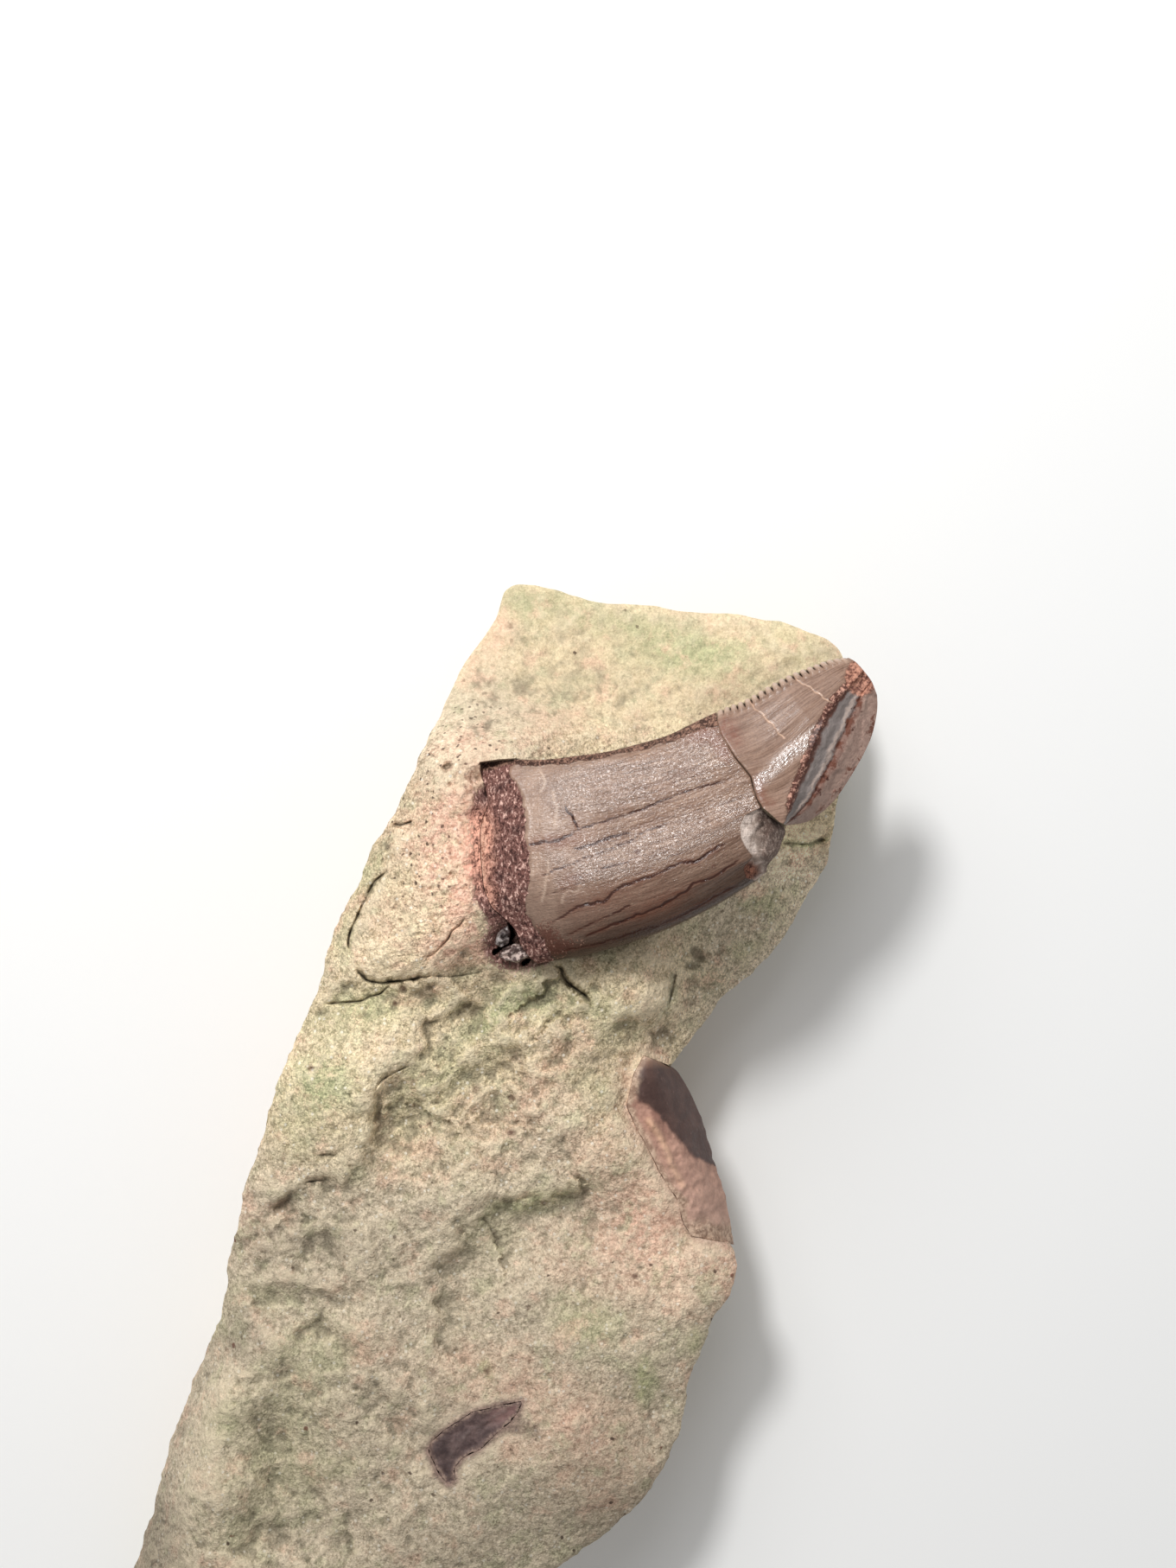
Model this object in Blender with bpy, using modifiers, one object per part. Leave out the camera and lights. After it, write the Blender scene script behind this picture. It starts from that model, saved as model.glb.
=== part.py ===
"""Fossil theropod tooth lying in relief on its block of mudstone.

The block lies on a flat spot of its underside, +Z up. Its long side runs along Y. The tooth lies on the
upper end with its root to -X and its tip to +X, half sunk in the stone at the root and free at the tip.

Every outline is drawn on one plan: plan units of a twentieth of a millimetre, u to the right (+X) and v
towards the near end (-Y), as seen from a point EYE above the base. The plan is true to size at LEVEL,
and place() carries a plan point down or up its line of sight to its real height.
"""

import math

import bmesh
import bpy
import numpy as np
from mathutils import Vector

# ---------------------------------------------------------------- driving dimensions (millimetres)
MM = 0.001
UNIT = 0.05  # one plan unit at LEVEL
EYE = 144.0  # height of the plan's point of view above the base
LEVEL = 14.0  # height at which the plan is true to size
PLAN_CENTRE = (680.5, 907.0)  # plan point straight below the eye
ORIGIN = (-5.9, -21.23)  # from there to the middle of the base

GAP = 0.3  # clear space between neighbouring pieces
BLOCK = 14.0  # thickness of the plain block before it is shaped
GRAIN = 0.95  # size of the facets the block is shaped with
ROCK_SHARE = 0.30  # share of those facets that is kept

CROWN_MID = ((0.0, 14.7), (0.3, 15.0), (1.0, 15.2))  # height of the crown's middle plane, root to break
CROWN_HALF = (
    (0.0, 1.45),
    (0.1, 2.2),
    (0.22, 2.75),
    (0.4, 3.0),
    (0.7, 2.85),
    (1.0, 2.5),
)  # half its thickness
TIP_MID = ((0.0, 15.15), (0.5, 15.1), (1.0, 14.9))
TIP_HALF = ((0.0, 2.35), (0.5, 1.9), (0.85, 1.35), (1.0, 0.9))
BREAK_RIM = 14.6  # height of the lower rim of the broken face at the end of the crown

# ---------------------------------------------------------------- the plan
ROCK = [
    (583, 681), (595, 675), (612, 675), (640, 681), (668, 690), (698, 698), (730, 698), (760, 701),
    (790, 707), (822, 709), (852, 709), (880, 716), (905, 718), (928, 728), (955, 737), (970, 748),
    (980, 770), (986, 800), (984, 850), (976, 900), (967, 940), (962, 978), (957, 1002), (943, 1024),
    (930, 1046), (918, 1068), (903, 1090), (884, 1112), (860, 1134), (834, 1156), (820, 1178),
    (803, 1200), (785, 1222), (770, 1238), (776, 1262), (790, 1290), (800, 1320), (808, 1345),
    (816, 1372), (824, 1400), (834, 1428), (850, 1444), (854, 1464), (850, 1486), (838, 1508),
    (822, 1530), (816, 1552), (807, 1574), (798, 1596), (795, 1618), (790, 1640), (784, 1662),
    (775, 1684), (765, 1706), (749, 1728), (729, 1750), (705, 1772), (676, 1793), (646, 1814),
    (600, 1838), (540, 1862), (470, 1886), (400, 1912), (330, 1936), (265, 1950), (205, 1950),
    (165, 1930), (146, 1895), (144, 1850), (154, 1814), (166, 1780), (176, 1748), (188, 1704),
    (199, 1660), (216, 1618), (234, 1574), (252, 1530), (263, 1486), (262, 1462), (270, 1440),
    (276, 1416), (281, 1376), (296, 1334), (307, 1308), (315, 1266), (326, 1242), (334, 1220),
    (344, 1198), (354, 1176), (365, 1154), (372, 1132), (376, 1110), (382, 1088), (391, 1066),
    (401, 1045), (415, 1025), (422, 1000), (431, 979), (446, 958), (459, 936), (468, 914), (478, 892),
    (488, 870), (498, 848), (510, 826), (519, 804), (529, 782), (542, 760), (559, 738), (574, 716),
    (580, 696),
]

CROWN_DISTAL = [
    (556, 882), (578, 879), (597, 878), (620, 880), (645, 878), (668, 874), (693, 872), (712, 868),
    (731, 863), (757, 856), (776, 851), (795, 840), (811, 832), (830, 825),
]
CROWN_MESIAL = [
    (622, 1115), (642, 1111), (661, 1108), (680, 1105), (699, 1100), (725, 1092), (744, 1086),
    (763, 1079), (782, 1071), (801, 1062), (821, 1052), (840, 1041), (859, 1029), (875, 1019),
]
ROOT_END = [
    (556, 882), (556, 892), (562, 912), (566, 931), (559, 946), (556, 965), (557, 995), (560, 1027),
    (569, 1050), (586, 1064), (597, 1076), (602, 1092), (611, 1106), (622, 1115),
]
BREAK_TOP = [
    (830, 825), (831, 853), (852, 879), (868, 900), (871, 922), (878, 935), (862, 943), (856, 956),
    (857, 970), (864, 983), (871, 991), (860, 1004), (863, 1016), (875, 1019),
]
BREAK_RIM_LINE = [
    (830, 825), (831, 853), (852, 879), (868, 900), (871, 922), (878, 936), (888, 945), (901, 958),
    (903, 967), (902, 980), (896, 991), (889, 1001), (885, 1011), (875, 1019),
]
BREAK_UNDER = [
    (830, 825), (831, 853), (852, 879), (866, 900), (868, 922), (872, 938), (877, 952), (880, 962),
    (880, 972), (880, 982), (880, 992), (879, 1002), (878, 1011), (875, 1019),
]
TIP_DISTAL = [
    (836, 822), (843, 818), (859, 813), (875, 804), (891, 794), (907, 785), (923, 778), (939, 772),
    (955, 765), (970, 762), (982, 761),
]
TIP_MESIAL = [
    (910, 954), (923, 952), (939, 950), (945, 944), (964, 928), (974, 915), (986, 896), (999, 874),
    (1009, 852), (1012, 836), (1016, 816), (1015, 804),
]
TIP_BREAK = [
    (836, 822), (838, 850), (859, 875), (875, 897), (879, 919), (887, 932), (898, 944), (910, 954),
]
TIP_END = [(982, 761), (990, 765), (999, 775), (1009, 788), (1015, 804)]
SPALL = [(992, 784), (967, 810), (951, 836), (939, 868), (926, 899), (913, 938), (907, 953)]

BONE_INNER = [
    (745, 1221), (733, 1243), (729, 1262), (725, 1280), (735, 1302), (750, 1329), (763, 1356),
    (775, 1374), (786, 1392), (789, 1412), (800, 1430),
]
BONE_OUTER = [
    (770, 1231), (782, 1236), (791, 1250), (800, 1266), (814, 1299), (823, 1333), (833, 1364),
    (841, 1390), (846, 1420), (849, 1440),
]
SLIVER = [
    (605, 1621), (585, 1624), (567, 1629), (547, 1633), (532, 1643), (513, 1655), (500, 1667),
    (495, 1678), (501, 1690), (507, 1704), (519, 1718), (527, 1713), (526, 1698), (535, 1687),
    (547, 1681), (556, 1677), (567, 1666), (575, 1658), (590, 1646), (600, 1633),
]
HOLE = (588, 1090)  # the hole at the lower corner of the root, where the splinters stand

# Heights of the upper surface of the stone: (u, v, millimetres above the base)
UPPER_END = [
    (583, 681, 8.4), (612, 676, 8.3), (700, 700, 8.2), (790, 709, 8.0), (880, 718, 7.8), (955, 738, 7.5),
    (985, 780, 7.3), (580, 740, 9.0), (650, 740, 8.6), (740, 750, 8.3), (830, 750, 8.0), (910, 770, 7.7),
    (530, 790, 10.2), (600, 800, 10.2), (680, 800, 9.3), (760, 800, 8.7), (840, 800, 8.1),
    (930, 830, 7.6), (508, 835, 12.0), (560, 840, 12.8), (620, 845, 12.6), (680, 845, 11.2),
    (740, 840, 9.8), (800, 830, 8.8),
]
MOUND = [
    (490, 880, 14.3), (540, 875, 15.3), (590, 865, 14.6), (640, 868, 13.0), (465, 930, 14.2),
    (510, 930, 15.6), (550, 940, 16.0), (440, 985, 14.0), (490, 990, 15.6), (545, 1000, 16.2),
    (415, 1040, 13.8), (460, 1050, 15.0), (520, 1050, 15.8), (560, 1060, 15.6), (395, 1080, 13.4),
    (440, 1100, 14.9), (500, 1110, 15.0), (545, 1105, 14.6),
]
UNDER_TOOTH = [
    (650, 900, 13.0), (650, 1000, 13.5), (650, 1080, 13.6), (720, 900, 11.5), (720, 980, 12.6),
    (730, 1060, 13.0), (790, 880, 9.6), (800, 950, 11.2), (800, 1020, 11.6), (850, 900, 8.4),
    (860, 970, 9.4), (900, 930, 7.6), (930, 880, 7.4),
]
RIGHT_STEP = [
    (800, 1100, 9.6), (800, 1140, 9.3), (790, 1180, 9.0), (775, 1215, 9.2), (850, 1080, 8.2),
    (860, 1110, 7.6), (890, 1060, 7.4), (905, 1000, 7.6), (930, 1030, 6.4), (950, 980, 6.6),
    (955, 950, 7.0),
]
MIDDLE = [
    (380, 1130, 12.6), (430, 1150, 13.5), (500, 1150, 13.6), (570, 1130, 13.8), (630, 1130, 13.6),
    (700, 1120, 13.2), (750, 1110, 12.8), (350, 1200, 12.7), (400, 1210, 13.8), (470, 1200, 13.8),
    (560, 1200, 13.5), (650, 1190, 13.4), (720, 1170, 12.9), (757, 1150, 12.4), (320, 1270, 12.6),
    (370, 1280, 13.9), (430, 1290, 13.5), (520, 1280, 13.2), (620, 1280, 13.3), (700, 1260, 13.0),
    (300, 1340, 12.2), (350, 1350, 13.3), (430, 1370, 12.9), (540, 1370, 13.2), (640, 1350, 13.2),
    (710, 1320, 12.6), (740, 1290, 12.2), (760, 1330, 11.9), (775, 1380, 11.8), (800, 1440, 11.8),
]
LOWER_END = [
    (285, 1420, 11.9), (340, 1430, 13.0), (430, 1440, 12.9), (520, 1440, 12.4), (600, 1420, 12.3),
    (700, 1410, 12.3), (840, 1460, 11.0), (270, 1490, 11.5), (330, 1500, 12.9), (420, 1510, 12.8),
    (520, 1520, 12.2), (620, 1510, 12.3), (720, 1500, 12.2), (800, 1510, 11.4), (830, 1500, 10.9),
    (255, 1550, 11.0), (310, 1570, 12.8), (400, 1590, 12.5), (500, 1600, 11.9), (600, 1600, 11.9),
    (700, 1600, 11.9), (780, 1600, 11.0), (800, 1590, 10.6), (230, 1600, 9.5), (250, 1610, 12.0),
    (205, 1660, 8.5), (235, 1660, 12.0), (190, 1710, 8.0), (222, 1715, 11.6), (176, 1760, 7.5),
    (210, 1765, 11.2), (160, 1820, 7.0), (195, 1830, 10.8), (300, 1660, 12.4), (300, 1760, 11.8),
    (400, 1680, 12.1), (400, 1780, 11.6), (520, 1680, 11.4), (520, 1780, 11.4), (620, 1690, 11.7),
    (700, 1680, 11.5), (760, 1680, 10.6), (640, 1770, 11.0), (720, 1740, 10.4), (250, 1900, 10.6),
    (350, 1880, 11.0), (480, 1860, 10.8), (590, 1830, 10.4), (160, 1900, 8.0), (200, 1945, 8.5),
    (330, 1930, 8.8), (470, 1885, 9.5),
]

# Ledges: (line, drop in millimetres, which side is higher: +1 on the right hand going along the line)
LEDGES = [
    ([(470, 1232), (452, 1242), (439, 1253), (433, 1268), (429, 1286), (419, 1321), (408, 1332),
      (380, 1337), (357, 1344), (345, 1362), (327, 1383), (299, 1403)], 0.8, 1),
    ([(536, 1395), (559, 1383), (597, 1379), (620, 1378), (652, 1373), (672, 1367), (690, 1362)], 0.9, -1),
    ([(536, 1395), (521, 1426), (510, 1449), (500, 1474), (500, 1492), (503, 1518), (506, 1539),
      (500, 1565), (490, 1576)], 0.6, 1),
    ([(474, 1560), (451, 1571), (427, 1594), (409, 1599), (404, 1618), (396, 1628)], 0.5, 1),
    ([(367, 1510), (349, 1526), (328, 1545), (307, 1571), (296, 1586), (273, 1592)], 0.6, 1),
    ([(370, 1712), (333, 1735), (296, 1764), (265, 1793)], 0.5, 1),
    ([(415, 1124), (423, 1134), (457, 1135), (480, 1131), (498, 1130)], 0.6, -1),
    ([(644, 1117), (650, 1121), (661, 1138), (678, 1151), (686, 1163)], 0.6, -1),
]


# ---------------------------------------------------------------- geometry helpers
def place(u, v, z):
    """The point over plan point (u, v) at height z, all in millimetres."""
    k = UNIT * (EYE - z) / (EYE - LEVEL)
    x = (u - PLAN_CENTRE[0]) * k - ORIGIN[0]
    y = (PLAN_CENTRE[1] - v) * k - ORIGIN[1]
    return np.stack(np.broadcast_arrays(x, y, z), -1)


def curve_at(points, t):
    """Points at fractions t of the length of a broken line, softened a little between its corners."""
    p = np.array(points, float)
    step = np.hypot(*np.diff(p, axis=0).T)
    s = np.r_[0, np.cumsum(step)] / step.sum()
    return np.stack([np.interp(t, s, p[:, 0]), np.interp(t, s, p[:, 1])], -1)


def profile(pairs, t):
    return np.interp(t, [a for a, _ in pairs], [b for _, b in pairs])


def to_line(points, u, v, closed=False):
    """Distance to a broken line (positive on its right hand), fraction along it, and the way to the right."""
    p = np.array(points + points[:1] if closed else points, float)
    step = np.hypot(*np.diff(p, axis=0).T)
    start = np.r_[0, np.cumsum(step)]
    near = np.full(np.shape(u), 1e9)
    side, part = np.ones(np.shape(u)), np.zeros(np.shape(u))
    nu, nv = np.zeros(np.shape(u)), np.zeros(np.shape(u))
    for i, (a, b) in enumerate(zip(p[:-1], p[1:])):
        du, dv = b - a
        t = np.clip(((u - a[0]) * du + (v - a[1]) * dv) / step[i] ** 2, 0, 1)
        r = np.hypot(u - a[0] - t * du, v - a[1] - t * dv)
        closer = r < near
        near = np.where(closer, r, near)
        side = np.where(closer, np.where(du * (v - a[1]) - dv * (u - a[0]) >= 0, 1.0, -1.0), side)
        part = np.where(closer, (start[i] + t * step[i]) / start[-1], part)
        nu, nv = np.where(closer, -dv / step[i], nu), np.where(closer, du / step[i], nv)
    return near * side, part, nu, nv


def inside(points, u, v):
    """Distance inside a closed outline, negative outside."""
    d = to_line(points, u, v, closed=True)[0]
    p = np.array(points, float)
    hit = np.zeros(np.shape(u), bool)
    for (x0, y0), (x1, y1) in zip(p, np.roll(p, -1, axis=0)):
        if y0 != y1:
            hit ^= ((y0 > v) != (y1 > v)) & (u < (x1 - x0) * (v - y0) / (y1 - y0) + x0)
    return np.where(hit, np.abs(d), -np.abs(d))


def surface_through(points):
    """A smooth surface through scattered heights, the shape a thin springy plate would take."""
    p = np.array(points, float)
    at, z, n = p[:, :2] / 100, p[:, 2], len(p)

    def bend(r2):
        return 0.5 * r2 * np.log(np.maximum(r2, 1e-12))

    a = np.zeros((n + 3, n + 3))
    a[:n, :n] = bend(((at[:, None] - at[None]) ** 2).sum(-1)) + 0.01 * np.eye(n)
    a[:n, n], a[:n, n + 1 :] = 1, at
    a[n:, :n] = a[:n, n:].T
    w = np.linalg.solve(a, np.r_[z, 0, 0, 0])

    def height(u, v):
        q = np.stack([u, v], -1) / 100
        out = w[n] + q @ w[n + 1 :]
        for i in range(n):
            out = out + w[i] * bend(((q - at[i]) ** 2).sum(-1))
        return out

    return height


def roughness(p, seed):
    """Smooth seeded noise, about -1 to 1, with features one unit across."""
    rng = np.random.default_rng(seed)
    order = rng.permutation(256)
    ways = rng.normal(size=(256, 3))
    ways /= np.linalg.norm(ways, axis=1)[:, None]
    p = np.atleast_2d(p).astype(float)
    i = np.floor(p).astype(int)
    f = p - i
    s = f * f * f * (f * (f * 6 - 15) + 10)
    out = np.zeros(len(p))
    for c in np.ndindex(2, 2, 2):
        k = order[(i[:, 0] + c[0]) & 255]
        k = order[(k + i[:, 1] + c[1]) & 255]
        k = order[(k + i[:, 2] + c[2]) & 255]
        weight = np.prod([s[:, j] if c[j] else 1 - s[:, j] for j in range(3)], axis=0)
        out += weight * (ways[k] * (f - c)).sum(1)
    return out * 1.6


stone_surface = surface_through(UPPER_END + MOUND + UNDER_TOOTH + RIGHT_STEP + MIDDLE + LOWER_END)
TOOTH_OUTLINE = CROWN_DISTAL + BREAK_RIM_LINE[1:-1] + CROWN_MESIAL[::-1] + ROOT_END[-2:0:-1]


def stone_top(u, v):
    """Height of the stone's upper surface over a plan point."""
    z = stone_surface(u, v)
    for line, drop, high in LEDGES:
        d, part, _, _ = to_line(line, u, v)
        fade = np.clip(part / 0.1, 0, 1) * np.clip((1 - part) / 0.1, 0, 1)
        z = z + high * drop * 0.5 * np.tanh(d / 5) * np.exp(-np.abs(d) / 45) * fade
    across = u * 0.87 - v * 0.5  # the fracture ridges run from lower left to upper right
    along = u * 0.5 + v * 0.87
    rough = np.clip((v - 1120) / 60, 0.35, 1)
    z = z + 0.32 * rough * roughness(np.stack([across / 110, along / 52, 0 * u], -1), 3)
    z = z + 0.16 * rough * roughness(np.stack([across / 48, along / 24, 0 * u], -1), 4)
    # the hole at the lower corner of the root
    z = z - 2.6 * np.exp(-(((u - HOLE[0]) / 20) ** 2 + ((v - HOLE[1]) / 17) ** 2) ** 2)
    # worn edge of the block
    return z - 0.7 * np.exp(-np.abs(inside(ROCK, u, v)) / 12)


# ---------------------------------------------------------------- building helpers
def finish_of(obj, name, srgb, rough):
    material = bpy.data.materials.new(name)
    material.use_nodes = True
    shader = material.node_tree.nodes["Principled BSDF"]
    colour = [((c / 255 + 0.055) / 1.055) ** 2.4 for c in srgb]
    shader.inputs["Base Color"].default_value = (*colour, 1)
    shader.inputs["Roughness"].default_value = rough
    shader.inputs["Metallic"].default_value = 0
    obj.data.materials.clear()
    obj.data.materials.append(material)


def as_object(name, points, faces, collection):
    """An object of these points (millimetres) with its origin at their middle."""
    points = np.asarray(points, float) * MM
    middle = (points.min(axis=0) + points.max(axis=0)) / 2
    mesh = bpy.data.meshes.new(name)
    mesh.from_pydata((points - middle).tolist(), [], faces)
    mesh.update()
    bm = bmesh.new()
    bm.from_mesh(mesh)
    bmesh.ops.recalc_face_normals(bm, faces=bm.faces)
    bm.to_mesh(mesh)
    bm.free()
    mesh.shade_smooth()
    mesh.set_sharp_from_angle(angle=math.radians(50))
    obj = bpy.data.objects.new(name, mesh)
    obj.location = Vector(middle)
    collection.objects.link(obj)
    return obj


def loft(top, under, caps):
    """One closed skin from two sheets of points that share their two long edges, and rows of points that
    close each end. top and under are (n, m, 3); caps are (rows, m, 3) for the start and the end."""
    n, m, _ = top.shape
    points, faces = [], []

    def add(p):
        points.append(p)
        return len(points) - 1

    upper = [[add(top[i, j]) for j in range(m)] for i in range(n)]
    lower = [
        [upper[i][0]] + [add(under[i, j]) for j in range(1, m - 1)] + [upper[i][m - 1]] for i in range(n)
    ]

    def quad(a, b, c, d):
        ring = [x for k, x in enumerate((a, b, c, d)) if x not in (a, b, c, d)[:k]]
        if len(ring) > 2:
            faces.append(ring)

    def sheet(rows, turn):
        for r0, r1 in zip(rows[:-1], rows[1:]):
            for j in range(m - 1):
                q = (r0[j], r0[j + 1], r1[j + 1], r1[j])
                quad(*(q[::-1] if turn else q))

    sheet(upper, False)
    sheet(lower, True)
    for i, cap, turn in ((0, caps[0], False), (n - 1, caps[1], True)):
        rows = [upper[i]]
        for row in cap:
            rows.append([upper[i][0]] + [add(row[j]) for j in range(1, m - 1)] + [upper[i][m - 1]])
        rows.append(lower[i])
        sheet(rows[::-1] if not turn else rows[::-1], turn)
    return points, faces


def patch(distal, mesial, start, end, s, w):
    """Plan points of a sheet stretched between four edge lines. The small corners of the two ends fade
    out quickly along the length."""
    s, w = np.meshgrid(s, w, indexing="ij")
    d, m = curve_at(distal, s), curve_at(mesial, s)
    w1, s1 = w[..., None], s[..., None]
    flat = (1 - w1) * d + w1 * m
    out = flat
    for line, share in ((start, (1 - s1) ** 3), (end, s1**3)):
        chord = (1 - w1) * np.array(line[0], float) + w1 * np.array(line[-1], float)
        out = out + share * (curve_at(line, w) - chord)
    return out, s, w


def lens(w):
    """Half section of the tooth: a thin rear edge, the thickest part two thirds across, a round front."""
    return 2.378 * w**0.8 * np.sqrt(np.maximum(1 - w, 0))


# ---------------------------------------------------------------- the pieces
def make_crown(name, collection, n=24, m=15):
    """The crown and its stub of root, from the root's broken end to the break below the tip."""
    s = np.linspace(0, 1, n)
    w = 0.5 * (0.5 - 0.5 * np.cos(np.linspace(0, np.pi, m))) + 0.5 * np.linspace(0, 1, m)
    over, ss, ww = patch(CROWN_DISTAL, CROWN_MESIAL, ROOT_END, BREAK_TOP, s, w)
    below, _, _ = patch(CROWN_DISTAL, CROWN_MESIAL, ROOT_END, BREAK_UNDER, s, w)
    middle, half = profile(CROWN_MID, ss), profile(CROWN_HALF, ss)
    top = place(over[..., 0], over[..., 1], middle + half * lens(ww))
    under = place(below[..., 0], below[..., 1], middle - half * lens(ww))
    rim = curve_at(BREAK_RIM_LINE, w)
    rim_z = np.minimum(top[-1, :, 2], BREAK_RIM + 0.4 * np.cos(w * np.pi))
    broken = place(rim[:, 0], rim[:, 1], rim_z)
    root = top[0] * 0.5 + under[0] * 0.5
    points, faces = loft(top, under, (root[None], broken[None]))
    return as_object(name, points, faces, collection)


def make_well(name, outline, floor, collection, grow, lid=24.0, n=None):
    """A cutter: the outline swollen by grow and raised as a straight prism from its floor line up."""
    p = np.array(outline, float)
    ahead, back = np.roll(p, -1, axis=0) - p, p - np.roll(p, 1, axis=0)
    along = ahead / np.linalg.norm(ahead, axis=1)[:, None] + back / np.linalg.norm(back, axis=1)[:, None]
    out = np.stack([along[:, 1], -along[:, 0]], -1)
    out /= np.linalg.norm(out, axis=1)[:, None]
    if inside(outline, *(p + out).T).mean() > 0:
        out = -out
    p = p + out * grow / UNIT
    low = floor(p[:, 0], p[:, 1])
    bottom, top = place(p[:, 0], p[:, 1], low), place(p[:, 0], p[:, 1], low * 0 + lid)
    count = len(p)
    faces = [[i, (i + 1) % count, count + (i + 1) % count, count + i] for i in range(count)]
    faces += [list(range(count))[::-1], list(range(count, 2 * count))]
    return as_object(name, np.concatenate([bottom, top]), faces, collection)


def make_tip(name, collection, n=14, m=13):
    s = np.linspace(0, 1, n)
    w = np.linspace(0, 1, m)
    p, ss, ww = patch(TIP_DISTAL, TIP_MESIAL, TIP_BREAK, TIP_END, s, w)
    u, v = p[..., 0], p[..., 1]
    middle, half = profile(TIP_MID, ss), profile(TIP_HALF, ss)
    past = np.maximum(-to_line(SPALL, u, v)[0], 0)
    left = np.abs(to_line(TIP_MESIAL, u, v)[0])
    keep = 1 - past / (past + left + 1e-6)
    keep = np.where(ww > 0.999, 0.0, keep)
    z_top = middle + half * lens(0.74 * ww) * keep
    z_low = middle - half * lens(ww)
    top, under = place(u, v, z_top), place(u, v, z_low)
    ends = [(top[i] * 0.5 + under[i] * 0.5)[None] for i in (0, -1)]
    points, faces = loft(top, under, ends)
    return as_object(name, points, faces, collection)


def bone_sheets(s, w, grow=0.0):
    push = grow / UNIT
    s, w = np.meshgrid(s, w, indexing="ij")
    a = w[..., None]
    p = (1 - a) * curve_at(BONE_INNER, s) + a * curve_at(BONE_OUTER, s)
    p = p + push * ((1 - a) * np.array([-0.9, 0.3]) + a * np.array([1.0, -0.3]))
    p = p + push * (s[..., None] * 2 - 1) * np.array([0.4, 1.0])
    crest = profile(((0, 11.2), (0.15, 11.9), (0.5, 11.7), (0.85, 11.6), (1, 11.3)), s)
    over = crest + 0.45 * np.sin(np.pi * w) - 3.6 * w**2.2
    under = crest - 3.6 * w**2.2 - (4.2 * np.sin(np.pi * np.clip(w, 0, 1)) ** 0.6) * (0.35 + 0.65 * (1 - w))
    return p, over, under


def make_bone(name, collection, n=14, m=9):
    p, over, under = bone_sheets(np.linspace(0, 1, n), np.linspace(0, 1, m))
    top, low = place(p[..., 0], p[..., 1], over), place(p[..., 0], p[..., 1], under)
    ends = [(top[i] * 0.5 + low[i] * 0.5)[None] for i in (0, -1)]
    points, faces = loft(top, low, ends)
    return as_object(name, points, faces, collection)


def make_splinter(name, centre, size, turn, z, seed, collection):
    """A small angular splinter: the hull of a few seeded points in a flat box."""
    rng = np.random.default_rng(seed)
    q = rng.uniform(-1, 1, (16, 3))
    q /= np.abs(q).max(axis=1)[:, None]
    q = q * np.array([size[0], size[1], 0]) / 2
    c, s = math.cos(turn), math.sin(turn)
    u = centre[0] + q[:, 0] * c - q[:, 1] * s
    v = centre[1] + q[:, 0] * s + q[:, 1] * c
    points = place(u, v, rng.uniform(z[0], z[1], 16))
    obj = as_object(name, points, [], collection)
    bm = bmesh.new()
    bm.from_mesh(obj.data)
    hull = bmesh.ops.convex_hull(bm, input=bm.verts)
    bmesh.ops.delete(bm, geom=list({g for g in hull["geom_interior"] + hull["geom_unused"] if isinstance(g, bmesh.types.BMVert)}), context="VERTS")
    bmesh.ops.recalc_face_normals(bm, faces=bm.faces)
    bm.to_mesh(obj.data)
    bm.free()
    return obj


def flat_mesh(name, outline, half, collection):
    """A plan outline filled and thickened, as a mesh in plan millimetres."""
    curve = bpy.data.curves.new(name, "CURVE")
    curve.dimensions = "2D"
    curve.fill_mode = "BOTH"
    curve.extrude = half * MM
    spline = curve.splines.new("POLY")
    spline.points.add(len(outline) - 1)
    for point, (u, v) in zip(spline.points, outline):
        point.co = ((u - PLAN_CENTRE[0]) * UNIT * MM, (PLAN_CENTRE[1] - v) * UNIT * MM, 0, 1)
    spline.use_cyclic_u = True
    guide = bpy.data.objects.new(name + "_outline", curve)
    collection.objects.link(guide)
    mesh = bpy.data.meshes.new_from_object(guide.evaluated_get(bpy.context.evaluated_depsgraph_get()))
    bpy.data.objects.remove(guide, do_unlink=True)
    bm = bmesh.new()
    bm.from_mesh(mesh)
    bmesh.ops.remove_doubles(bm, verts=bm.verts, dist=1e-6)
    bm.to_mesh(mesh)
    bm.free()
    return mesh


def remeshed(mesh, size, name, collection):
    """The same shape in even facets of one size."""
    rough = bpy.data.objects.new(name + "_rough", mesh)
    collection.objects.link(rough)
    modifier = rough.modifiers.new("facets", "REMESH")
    modifier.mode = "VOXEL"
    modifier.voxel_size = size * MM
    out = bpy.data.meshes.new_from_object(rough.evaluated_get(bpy.context.evaluated_depsgraph_get()))
    bpy.data.objects.remove(rough, do_unlink=True)
    out.name = name
    return out


def plan_of(co):
    return co[:, 0] / UNIT + PLAN_CENTRE[0], PLAN_CENTRE[1] - co[:, 1] / UNIT


def read_points(mesh):
    co = np.empty(len(mesh.vertices) * 3)
    mesh.vertices.foreach_get("co", co)
    return co.reshape(-1, 3) / MM


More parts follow.
